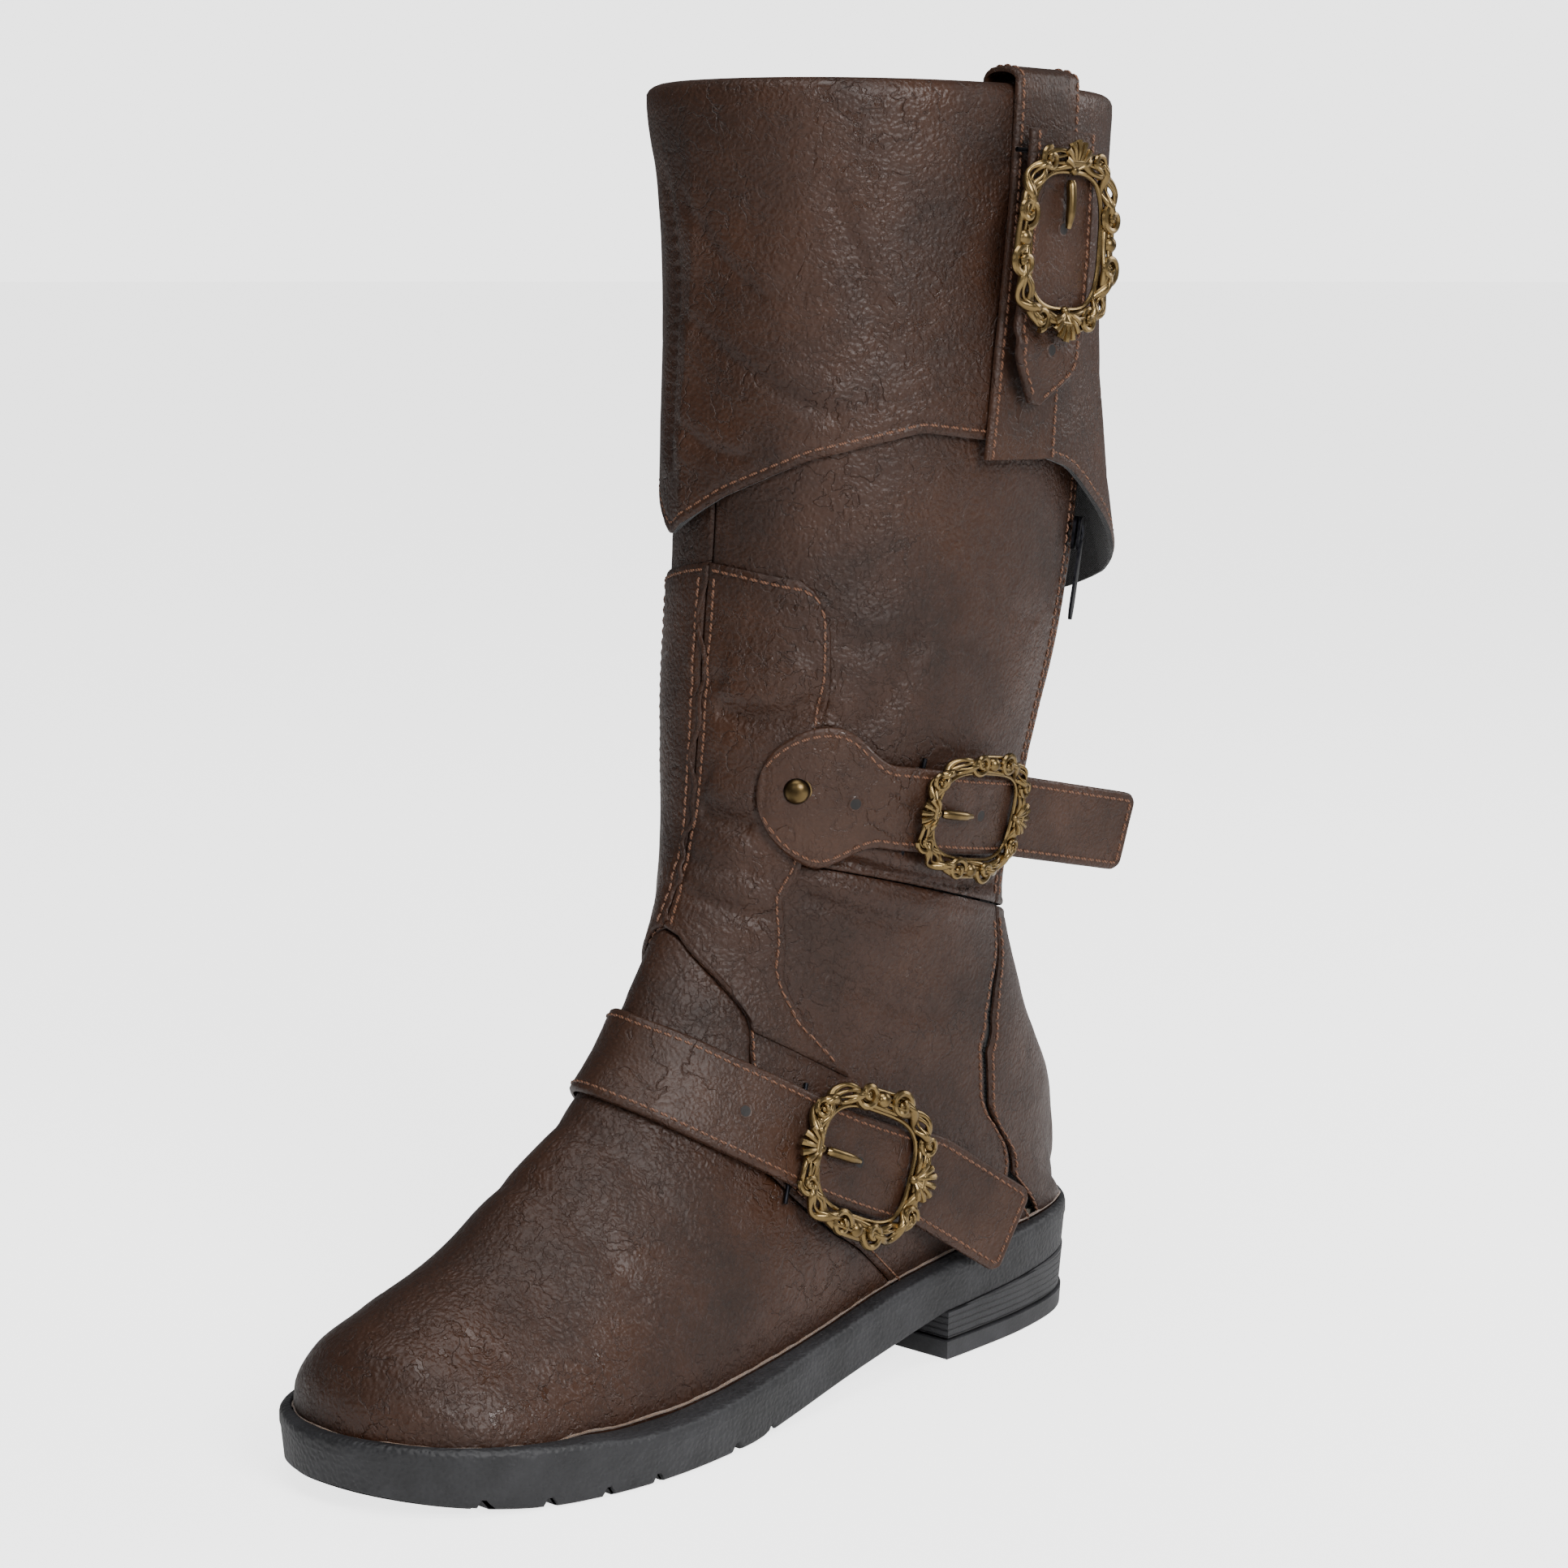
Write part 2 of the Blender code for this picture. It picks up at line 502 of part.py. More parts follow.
def beside(places, rings, sideways, out):
    """Points to the back of a line on the shell by a distance, still on the shell."""
    step = 0.002
    pace = np.linalg.norm(last_point(places + step, rings) - last_point(places, rings), axis=-1) / step
    return shell(places + sideways / pace, rings, out)


def zip_points(count, low=ZIP_FOOT, high=ZIP_HEAD):
    rings = np.linspace(low, high, count)
    table = Table(ZIP_LINE)
    return table(rings)[:, 0], rings


def make_zip():
    """Two tapes behind the opening with a coil on each inner edge."""
    places, rings = zip_points(27)
    middle = -LEATHER - MIDDLE_GAP
    half = COIL_RADIUS + 0.5 * BAR_GAP
    for side, sign in (("front", -1), ("back", 1)):
        spread = (sign * half * 2.6, sign * ZIP_TAPE_WIDTH * 0.6, sign * ZIP_TAPE_WIDTH)
        outer = np.stack([beside(places, rings, s, middle) for s in spread], 1)
        inner = np.stack([beside(places, rings, s, middle - MIDDLE * 0.7) for s in spread], 1)
        points, faces = sheet_mesh(inner, outer)
        add_object(f"zip_tape_{side}", points, faces, "zip_tape")
        turn = np.linspace(0, 2 * math.pi, 6, endpoint=False)
        grid = np.stack([beside(places, rings, sign * half + math.cos(t) * COIL_RADIUS,
                                middle - COIL_RADIUS + math.sin(t) * COIL_RADIUS) for t in turn], 1)
        points, faces = loop_mesh(grid)
        faces = [f for f in faces if abs(f[0] - f[1]) < 2 * 6]
        faces += [tuple(range(6)), tuple(range((len(grid) - 1) * 6, len(grid) * 6))]
        add_object(f"zip_coil_{side}", points, faces, "zip_coil")


ZIP_SLIDER = (13.72, 0.0075, 0.0100, 0.0024)  # ring, width, length, thickness
ZIP_PULL = (0.0050, 0.0240, 0.0011)  # width, length, thickness
SLIDER_OUT = 0.0010
PULL_EYE = 0.0003  # how far the pull reaches past its hinge, so that it turns clear of the slider


def slider_frame():
    """The zip slider's middle on the shell, with the directions across, up the zip and outwards."""
    ring = ZIP_SLIDER[0]
    place = float(Table(ZIP_LINE)(ring)[0])
    at = shell(place, ring, 0.0)
    up = shell(float(Table(ZIP_LINE)(ring + 0.1)[0]), ring + 0.1) - shell(
        float(Table(ZIP_LINE)(ring - 0.6)[0]), ring - 0.6)
    up /= np.linalg.norm(up)
    out = last_normal(place, ring)
    out = out - up * np.dot(out, up)
    out /= np.linalg.norm(out)
    return at, np.cross(up, out), up, out


def box_mesh(centre, across, up, out, size, taper=1.0):
    """A block of a size along three directions, its top end narrower or wider by taper."""
    corners = []
    for w in (-0.5, 0.5):
        for u in (-0.5, 0.5):
            for v in (-0.5, 0.5):
                wide = size[0] * (taper if u > 0 else 1.0)
                corners.append(centre + across * v * wide + up * u * size[1] + out * w * size[2])
    faces = [(0, 1, 3, 2), (4, 6, 7, 5), (0, 4, 5, 1), (2, 3, 7, 6), (0, 2, 6, 4), (1, 5, 7, 3)]
    return np.array(corners), faces


def make_zip_slider():
    at, across, up, out = slider_frame()
    _, wide, long, thick = ZIP_SLIDER
    centre = at + out * (SLIDER_OUT + thick / 2)
    points, faces = box_mesh(centre, across, up, out, (wide * 0.8, long, thick), 1.25)
    add_object("zip_slider", points, faces, "steel", centre)
    width, length, thin = ZIP_PULL
    hinge = at + out * (SLIDER_OUT + thick + BAR_GAP + thin / 2) - up * long * 0.2
    middle = hinge - up * (length / 2 - PULL_EYE)
    points, faces = box_mesh(middle, across, up, out, (width, length, thin), 0.7)
    add_object("zip_pull", points, faces, "steel", hinge)


# ---------------------------------------------------------------- cuff

def cuff_hem(places):
    hem = np.array(CUFF_HEM)
    return np.interp(places, hem[:, 0], hem[:, 1])


def cuff_out(place, ring):
    """How far the cuff's outside stands off the last: it flares towards its two points."""
    place, ring = np.broadcast_arrays(np.asarray(place, float), np.asarray(ring, float))
    down = np.clip((15.2 - ring) / 1.8, 0, 1) ** 1.25
    behind = np.clip((np.abs(place) - 0.46) / 0.44, 0, 1)
    ahead = np.exp(-((place + 0.06) / 0.10) ** 2)
    rim = np.exp(-((place + 0.13) / 0.12) ** 2) * np.exp(-((16.0 - ring) / 0.35) ** 2) * RIM_FLARE
    late = np.clip((14.75 - ring) / 1.45, 0, 1) ** 1.35
    return CUFF_GAP + CUFF + rim + late * CUFF_FLARE * behind + down * (0.0035 * ahead + 0.0012)


def make_cuff():
    """The cuff: a skirt outside the shaft, turned over the rim and down a little way inside."""
    wall = LEATHER + MIDDLE_GAP + MIDDLE + WALL_GAP + LINING
    places = np.linspace(-1, 1, 49)[:-1]
    hem = cuff_hem(places)
    section = []
    for share in (0.0, 0.25, 0.5, 0.75, 1.0):
        ring = hem + (TOP_OF_WALL - 0.05 - hem) * share
        section.append(shell(places, ring, cuff_out(places, ring) - CUFF))
    inside_top = TOP_OF_WALL + 0.035
    section.append(shell(places, inside_top + 0 * places, CUFF_GAP * 0.5 + 0 * places))
    section.append(shell(places, inside_top + 0 * places, -wall - WALL_GAP + 0 * places))
    section.append(shell(places, inside_top - 0.12 + 0 * places, -wall - WALL_GAP + 0 * places))
    section.append(shell(places, inside_top - 0.12 + 0 * places, -wall - WALL_GAP - CUFF * 0.6 + 0 * places))
    section.append(shell(places, inside_top + 0.02 + 0 * places, -wall - WALL_GAP - CUFF * 0.7 + 0 * places))
    section.append(shell(places, RIM + 0 * places, -wall * 0.5 + 0 * places))
    for share in (1.0, 0.75, 0.5, 0.25, 0.0):
        ring = hem + (TOP_OF_WALL - 0.02 - hem) * share
        section.append(shell(places, ring, cuff_out(places, ring)))
    points, faces = loop_mesh(np.stack(section, 1))
    add_object("cuff", points, faces, "leather")


# ---------------------------------------------------------------- straps and buckles

class Surface:
    """A surface to lay straps on, which gives the nearest point and its outward direction."""

    def __init__(self, low, high, out):
        places, rings = np.meshgrid(np.linspace(-1, 1, 161), np.linspace(low, high, 120))
        grid = shell(places, rings, out(places, rings))
        rows, columns = grid.shape[:2]
        faces = [(r * columns + c, r * columns + c + 1, (r + 1) * columns + c + 1, (r + 1) * columns + c)
                 for r in range(rows - 1) for c in range(columns - 1)]
        self.out = out
        self.tree = BVHTree.FromPolygons([tuple(p) for p in grid.reshape(-1, 3)], faces)

    def snap(self, point, height):
        at, normal, _, _ = self.tree.find_nearest(Vector(point))
        return np.array(at) + np.array(normal) * height, np.array(normal)

    def at(self, place, ring):
        return shell(place, ring, self.out(np.asarray(place, float), np.asarray(ring, float)))


def resample(points, step):
    """The polyline's points spread evenly along it."""
    points = np.asarray(points, float)
    length = np.concatenate([[0], np.cumsum(np.linalg.norm(np.diff(points, axis=0), axis=1))])
    count = max(2, int(round(length[-1] / step)) + 1)
    at = np.linspace(0, length[-1], count)
    return np.stack([np.interp(at, length, points[:, k]) for k in range(3)], 1), at


def ribbon(name, surface, path, width, lift, low_edge=None, high_edge=None, cells=3,
           material="leather_strap", origin=None, next_direction=None):
    """A strap laid on a surface. lift gives the height of its underside from the distance along it.

    low_edge and high_edge give its half widths where it isn't straight. next_direction is that of a piece that
    follows it, which its end is cut parallel to."""
    centre, at = path
    tangent = np.gradient(centre, axis=0)
    tangent /= np.linalg.norm(tangent, axis=1, keepdims=True)
    if next_direction is not None:
        tangent[-1] = next_direction
    low_edge = low_edge or (lambda s: width / 2)
    high_edge = high_edge or (lambda s: width / 2)
    under, over = [], []
    for point, direction, s in zip(centre, tangent, at):
        _, normal = surface.snap(point, 0)
        across = np.cross(normal, direction)
        across /= np.linalg.norm(across)
        row_under, row_over = [], []
        for share in np.linspace(-1, 1, cells + 1):
            reach = low_edge(s) if share < 0 else high_edge(s)
            place = point + across * share * reach
            base, out = surface.snap(place, lift(s))
            row_under.append(base)
            row_over.append(base + out * STRAP)
        under.append(row_under)
        over.append(row_over)
    points, faces = sheet_mesh(np.array(under), np.array(over))
    return add_object(name, points, faces, material, (0, 0, 0) if origin is None else origin)


class Buckle:
    """A cast buckle on a strap: frame, the bar behind the strap and a short prong."""

    def __init__(self, name, surface, at, along, length, breadth, strap_under):
        self.name, self.surface = name, surface
        self.length, self.breadth = length, breadth
        self.strap_top = strap_under + STRAP
        self.centre, self.out = surface.snap(at, 0)
        across = np.cross(self.out, along)
        self.across = across / np.linalg.norm(across)
        self.along = np.cross(self.across, self.out)
        self.bar_at = -length / 2 + BAR_INSET
        self.tube = FRAME_TUBE * breadth

    def place(self, along, across, height):
        return self.centre + self.along * along + self.across * across + self.out * height

    def ring_height(self, along, across):
        """Height above the buckle's own plane that keeps it just clear of the strap."""
        point = self.place(along, across, 0)
        on, _ = self.surface.snap(point, 0)
        return float(np.dot(on - self.centre, self.out))

    def settled(self, along, across):
        """Height of the rigid frame above its plane: it bends less than the strap under it falls away."""
        height, middle = self.ring_height(along, across), self.ring_height(along, 0.0)
        return middle + (height - middle) * (FRAME_BEND if height < middle else 1.0)

    def make(self):
        tube, thick = self.tube, FRAME_THICK
        count, section = 40, 6
        grid = []
        for i in range(count):
            turn = 2 * math.pi * i / count
            c, s = math.cos(turn), math.sin(turn)
            power = 2 / FRAME_SQUARE
            wide = tube * (1 + CREST_SWELL * abs(c) ** 10)
            a = math.copysign(abs(c) ** power, c) * (self.length / 2 - wide)
            b = math.copysign(abs(s) ** power, s) * (self.breadth / 2 - tube)
            outward = np.array([a / (self.length / 2) ** 2, b / (self.breadth / 2) ** 2])
            outward /= np.linalg.norm(outward)
            height = self.settled(a, b) + self.strap_top + BAR_GAP + thick
            row = []
            for k in range(section):
                angle = 2 * math.pi * (k + 0.5) / section
                reach = wide * math.cos(angle) * 1.05
                row.append(self.place(a + outward[0] * reach, b + outward[1] * reach,
                                      height + thick * math.sin(angle)))
            grid.append(row)
        points, faces = loop_mesh(np.array(grid))
        hinge = self.hinge()
        add_object(f"{self.name}_frame", points, faces, "antique_brass", hinge)
        half = self.breadth / 2 - tube * BAR_SHORT
        ends = [self.place(self.bar_at, side * half, self.bar_height(side * half)) for side in (-1, 0, 1)]
        points, faces = rod_mesh(ends, [BAR_RADIUS] * 3, 6, self.along, self.out)
        add_object(f"{self.name}_bar", points, faces, "steel", hinge)
        root = self.prong_hinge()
        reach = PRONG_REACH * self.length
        start = self.prong_root()
        ends = [self.place(start + reach * share, 0, self.prong_height(start + reach * share))
                for share in (0.5, 1.0)]
        points, faces = rod_mesh([root - self.along * PRONG_RADIUS * 0.6, root] + ends,
                                 [PRONG_RADIUS * 0.7, PRONG_RADIUS, PRONG_RADIUS, PRONG_RADIUS * 0.55],
                                 8, self.across, self.out)
        add_object(f"{self.name}_prong", points, faces, "antique_brass", root)

    def bar_height(self, across):
        return self.ring_height(self.bar_at, across) + self.strap_top - STRAP - BAR_GAP - BAR_RADIUS

    def hinge(self):
        return self.place(self.bar_at, 0, self.bar_height(0))

    def prong_root(self):
        crest = self.tube * (1 + CREST_SWELL) * CREST_DEPTH
        return -self.length / 2 + crest + PRONG_RADIUS + BAR_GAP

    def prong_height(self, along):
        return self.ring_height(along, 0) + self.strap_top + BAR_GAP + PRONG_RADIUS

    def prong_hinge(self):
        a = self.prong_root()
        return self.place(a, 0, self.prong_height(a))


def surface_path(surface, marks, step=0.0065):
    """A line on a surface through places and rings."""
    smooth = curve_through(marks, 40 * len(marks))
    points = np.stack([surface.at(p, r) for p, r in smooth])
    return resample(points, step)


def split_path(path, start, stop, clear=1e-4):
    """The part of a path between two distances. clear is how far from its end it keeps no other point."""
    centre, at = path
    inside = np.unique(np.concatenate([[start], at[(at > start + 1e-4) & (at < stop - clear)], [stop]]))
    return np.stack([np.interp(inside, at, centre[:, k]) for k in range(3)], 1), inside


def nearest_on(path, point):
    """Distance along a path of its point nearest to a place, and the direction there."""
    centre, at = path
    i = int(np.argmin(np.linalg.norm(centre - np.asarray(point), axis=1)))
    direction = centre[min(i + 1, len(centre) - 1)] - centre[max(i - 1, 0)]
    return at[i], direction / np.linalg.norm(direction)


BIG_BUCKLE = (0.053, 0.019)  # length, and how much wider than its strap
SMALL_BUCKLE = (0.048, 0.014)
CALF_MARKS = ((0.135, 11.72), (0.24, 11.70), (0.36, 11.64), (0.50, 11.60), (0.60, 11.585), (0.70, 11.57),
              (0.80, 11.56))
CALF_BUCKLE = (0.515, 11.60)
CALF_TAB = (0.0205, 0.037)  # half height of the shield, and its length
CALF_TAIL = 0.048
CALF_STUD = (0.20, 11.76)
INSTEP_MARKS = ((-0.66, 6.95), (-0.58, 6.86), (-0.48, 6.70), (-0.28, 6.28), (0.0, 5.92), (0.18, 6.02),
                (0.36, 6.36), (0.475, 6.74), (0.58, 7.25), (0.68, 7.75))
INSTEP_BUCKLE = (0.445, 6.62)
INSTEP_TAIL = 0.042
TOP_MARKS = ((0.514, 15.88), (0.512, 15.6), (0.507, 15.2), (0.498, 14.9), (0.490, 14.62))
TOP_BUCKLE = (0.504, 15.39)
TOP_BAND = ((0.512, 16.2), (0.508, 15.6), (0.500, 15.2), (0.494, 14.9), (0.486, 14.25))
TOP_TIP = 0.0175
TOP_ARCH = 0.0025  # how much further the top strap stands out at its buckle
JOINT_GAP = 0.0016
FRAME_BEND = 0.45  # how much of the curve under it a cast frame follows
TURN_CLEAR = 0.0085  # no cross row this near to the slanted end
TAIL_RISE = 0.0009  # how far a tail's bend stands off the strap's end
DIP_FROM, DIP_OVER = 0.004, 0.022  # where ahead of a buckle a strap starts to sink, and over what length
RIM_RISE = 0.0025
BAR_INSET = 0.0025  # the bar's place inside the frame's near end
FRAME_TUBE = 0.06  # half the frame's width as a share of the buckle's
FRAME_THICK = 0.0021
BAR_SHORT = 2.2  # how far the bar ends inside the frame's outline, in half widths of the frame
FRAME_SQUARE = 3.2  # 2 would make the frame an ellipse
CREST_SWELL = 0.55  # how much wider the frame is at its two crests
CREST_DEPTH = 2.05  # the crest's depth in half widths, with a little room
PRONG_REACH = 0.24  # the prong's length as a share of the buckle's
CREST_CLEAR = 0.0025  # between the buckle's far end and the place where the strap's tail bends


def tail_of(path, split, length, turn):
    """A strap's path cut at the split, with the direction of the straight tail that goes on and its distances."""
    centre, at = split_path(path, 0.0, split)
    direction = centre[-1] - centre[-2]
    direction = direction / np.linalg.norm(direction) + turn
    direction /= np.linalg.norm(direction)
    return (centre, at), direction, split + length * np.linspace(0, 1, 4)


def make_buckled_strap(name, surface, marks, buckle_mark, width, buckle_size, lift, tail_length, turn,
                       edge=None, tail_edge=None, start=0.0, buckle_name=None, cells=4, dip=0.0):
    """A strap laid on a surface with its buckle, and its loose tail as a piece of its own.

    dip is how much lower it lies away from the buckle."""
    path = surface_path(surface, marks)
    middle, direction = nearest_on(path, surface.at(*buckle_mark))
    length, wider = buckle_size
    split = middle + length / 2 + CREST_CLEAR
    body, tail_along, tail_at = tail_of(path, split, tail_length, turn)

    def height(s):
        away = np.clip((middle - length / 2 - DIP_FROM - s) / DIP_OVER, 0, 1)
        return lift - dip * away**2 * (3 - 2 * away)

    ribbon(name, surface, split_path(body, start, split - JOINT_GAP, TURN_CLEAR), width, height,
           low_edge=edge, high_edge=edge, cells=cells, next_direction=tail_along)
    root, normal = surface.snap(body[0][-1], lift + TAIL_RISE)
    flat = Flat(root, normal, tail_along)
    bend = root + flat.out * STRAP / 2
    tail = (root + tail_along * (tail_at - tail_at[0])[:, None], tail_at)
    ribbon(f"{name}_tail", flat, tail, width, lambda s: 0.0, cells=1 if tail_edge is None else 2,
           low_edge=tail_edge, high_edge=tail_edge, origin=bend)
    buckle = Buckle(buckle_name, surface, surface.at(*buckle_mark), direction, length, width + wider, lift)
    buckle.make()


def make_calf_strap(leg):
    half, tab_length = CALF_TAB

    def edge(s):
        if s > tab_length:
            return CALF_STRAP_WIDTH / 2
        round_end = math.sqrt(max(0.0, 1 - (1 - min(s, half) / half) ** 2))
        neck = 0.5 * (1 + math.cos(math.pi * max(0.0, (s - half * 0.9) / (tab_length - half * 0.9))))
        waist = CALF_STRAP_WIDTH / 2 * 0.96
        return max(0.0025, (waist + (half - waist) * neck) * round_end)

    make_buckled_strap("calf_strap", leg, CALF_MARKS, CALF_BUCKLE, CALF_STRAP_WIDTH, SMALL_BUCKLE, STRAP_LIFT,
                       CALF_TAIL, np.array([0.45, 0.35, -0.12]), edge, buckle_name="calf_buckle")
    stud_at, out = leg.snap(leg.at(*CALF_STUD), STRAP_LIFT + STRAP + BAR_GAP)
    make_stud(stud_at, out)


class Flat:
    """A plane to lay the straight end of a strap on."""

    def __init__(self, at, out, along):
        along = along / np.linalg.norm(along)
        out = out - along * np.dot(out, along)
        self.point, self.out, self.along = np.asarray(at), out / np.linalg.norm(out), along

    def snap(self, point, height):
        point = np.asarray(point, float)
        point = point - self.out * np.dot(point - self.point, self.out)
        return point + self.out * height, self.out


def make_stud(at, out):
    """A domed rivet head."""
    up = np.array([0.0, 0.0, 1.0])
    across = np.cross(up, out)
    across /= np.linalg.norm(across)
    up = np.cross(out, across)
    sides, rows = 16, 4
    grid = []
    for i in range(rows):
        turn = math.pi / 2 * i / rows
        ring = np.linspace(0, 2 * math.pi, sides, endpoint=False)
        grid += [at + STUD_RADIUS * math.cos(turn) * (math.cos(t) * across + math.sin(t) * up)
                 + out * STUD_RADIUS * 0.75 * math.sin(turn) for t in ring]
    grid.append(at + out * STUD_RADIUS * 0.75)
    faces = [(i * sides + k, i * sides + (k + 1) % sides, (i + 1) * sides + (k + 1) % sides, (i + 1) * sides + k)
             for i in range(rows - 1) for k in range(sides)]
    faces += [((rows - 1) * sides + k, (rows - 1) * sides + (k + 1) % sides, rows * sides) for k in range(sides)]
    faces.append(tuple(range(sides)))
    add_object("calf_stud", np.array(grid), faces, "antique_brass", at)


def make_instep_strap(leg):
    make_buckled_strap("instep_strap", leg, INSTEP_MARKS, INSTEP_BUCKLE, INSTEP_STRAP_WIDTH, BIG_BUCKLE,
                       STRAP_LIFT, INSTEP_TAIL, np.array([0.12, 0.0, -0.42]), buckle_name="instep_buckle",
                       dip=STRAP_LIFT - 2 * STRAP_GAP)


def make_top_band():
    """The band that comes out of the boot, stands in a loop over the rim and runs down over the cuff's hem."""
    wall = LEATHER + MIDDLE_GAP + MIDDLE + WALL_GAP + LINING
    band = np.array(TOP_BAND)
    rim_place = band[0, 0]
    inside = -wall - WALL_GAP - CUFF - JOINT_GAP
    rim = float(shell(rim_place, RIM, 0.0)[2])
    route = [(inside, rim - 0.034), (inside, rim - 0.017), (inside, rim - 0.001)]
    loop_half = (cuff_out(rim_place, RIM) + STRAP_GAP - inside) / 2
    middle = inside + loop_half
    for turn in np.linspace(0.15, 0.85, 5) * math.pi:
        route.append((middle - loop_half * math.cos(turn), rim + 0.001 + RIM_RISE * math.sin(turn)))
    levels = np.linspace(RIM - 0.06, band[-1, 1], 12)
    rows_under, rows_over = [], []

    def place_of(ring):
        return float(np.interp(-ring, -band[:, 1], band[:, 0]))

    scale = np.linspace(13.5, 16.5, 61)
    tops = np.array([shell(rim_place, r, 0.0)[2] for r in scale])
    route = np.array(route)
    lead = np.gradient(route, axis=0)
    lead /= np.linalg.norm(lead, axis=1, keepdims=True)
    away = np.stack([-lead[:, 1], lead[:, 0]], 1)
    for (out, z), (step_out, step_z) in zip(route, away):
        for rows, move in ((rows_under, 0.0), (rows_over, STRAP)):
            ring = float(np.interp(z + step_z * move, tops, scale))
            rows.append([beside(place_of(ring), ring, s, out + step_out * move)
                         for s in np.linspace(-0.5, 0.5, 4) * TOP_STRAP_WIDTH])
    for ring in levels:
        for rows, move in ((rows_under, 0.0), (rows_over, STRAP)):
            row = []
            for s in np.linspace(-0.5, 0.5, 4) * TOP_STRAP_WIDTH:
                place = place_of(ring)
                base = float(np.maximum(cuff_out(place + s / 0.19, ring), cuff_out(place, ring)))
                row.append(beside(place, ring, s, base + STRAP_GAP + move))
            rows.append(row)
    points, faces = sheet_mesh(np.array(rows_under), np.array(rows_over))
    add_object("top_strap_base", points, faces, "leather_strap")


def make_top_strap(cuff):
    """The cuff's strap: a base band from the rim and a second layer through the buckle."""
    make_top_band()
    over_bar = 2 * BAR_RADIUS + 2 * BAR_GAP
    shift = TOP_BUCKLE[0] - float(np.interp(TOP_BUCKLE[1], [r for _, r in TOP_MARKS[::-1]],
                                            [p for p, _ in TOP_MARKS[::-1]]))

    marks = tuple((p + shift, r) for p, r in TOP_MARKS)
    path = surface_path(cuff, marks)
    end = nearest_on(path, cuff.at(*TOP_BUCKLE))[0] + BIG_BUCKLE[0] / 2 + CREST_CLEAR + TOP_TIP

    def pointed(s):
        return max(0.002, min(TOP_STRAP_WIDTH / 2, 0.002 + (end - s) * 0.95))

    make_buckled_strap("top_strap", cuff, marks, TOP_BUCKLE, TOP_STRAP_WIDTH, BIG_BUCKLE,
                       STRAP_GAP + STRAP + over_bar + TOP_ARCH, TOP_TIP, np.array([-0.16, -0.06, 0.0]), None, pointed,
                       0.004, "top_buckle", 3, dip=TOP_ARCH)


# ---------------------------------------------------------------- bottom

def sole_outline(samples=96):
    """The rubber's outline on the ground plane, toe tip first, as x and y."""
    points = curve_through(SOLE_RIGHT + SOLE_LEFT, samples, closed=True)
    flat = graded(points[:, 0], points[:, 1], 0 * points[:, 0])
    return flat[:, :2]


def widths_at(y, outline, inset=0.0):
    """x of the outline's inner (medial) and outer sides at the given y, moved in by inset."""
    centre = outline.mean(axis=0)
    ahead = np.roll(outline, -1, axis=0) - np.roll(outline, 1, axis=0)
    normal = np.stack([ahead[:, 1], -ahead[:, 0]], 1)
    normal /= np.linalg.norm(normal, axis=1, keepdims=True)
    if np.sum(normal * (outline - centre)) < 0:
        normal = -normal
    inner = outline - normal * inset
    toe, heel = int(np.argmin(inner[:, 1])), int(np.argmax(inner[:, 1]))
    first = inner[toe:heel + 1] if toe < heel else np.roll(inner, -toe, axis=0)[: (heel - toe) % len(inner) + 1]
    second = np.roll(inner, -heel, axis=0)[: (toe - heel) % len(inner) + 1]
    sides = []
    for side in (first, second):
        order = np.argsort(side[:, 1])
        sides.append(np.interp(y, side[order, 1], side[order, 0]))
    low, high = np.minimum(*sides), np.maximum(*sides)
    return low, high, inner[:, 1].min(), inner[:, 1].max()


def feather_height(y):
    """Height of the line where the upper meets the sole."""
    rings = np.linspace(0, HEEL_LAST_RING, 60)
    ends = last_point(1.0, rings)
    order = np.argsort(ends[:, 1])
    start, toe = last_point(0.0, 0.0), ends[order[0]]
    ys = np.concatenate([[start[1]], ends[order, 1]])
    zs = np.concatenate([[start[2]], ends[order, 2]])
    return np.interp(y, ys, zs)


def bottom_height(y):
    """Height of the rubber's underside: sprung at the toe, flat under the ball, rising to the heel."""
    y = np.asarray(y, float)
    toe, spring_end = (graded(0, at, 0)[1] for at in SPRING)
    lift = TOE_SPRING * np.clip((spring_end - y) / (spring_end - toe), 0, 1) ** 1.7
    waist = np.clip((y - TREAD_END) / (HEEL_BREAST - TREAD_END), 0, 1)
    heel_end = graded(0, HEEL_END, 0)[1]
    seat = np.clip((y - HEEL_BREAST) / (heel_end - HEEL_BREAST), 0, 1)
    breast = feather_height(HEEL_BREAST) - SIDEWALL
    rise = breast * waist**1.25
    return lift + rise + seat * (feather_height(heel_end) - SIDEWALL - breast)


HEEL_BREAST = float(graded(0, 60.0, 0)[1])
TREAD_END = float(graded(0, -32.0, 0)[1])


def floor_rows(count, start, end, extra=()):
    """y of the cross rows of a sole piece, closer together at its round ends."""
    turn = np.linspace(0, math.pi, count)
    rows = start + (end - start) * (1 - np.cos(turn)) / 2
    rows[0] += 0.0004
    rows[-1] -= 0.0004
    extra = np.asarray([e for e in extra if start + 0.004 < e < end - 0.004])
    if len(extra):
        rows = rows[np.min(np.abs(rows[:, None] - extra[None]), axis=1) > 0.0012]
        rows = np.sort(np.concatenate([rows, extra]))
    return rows


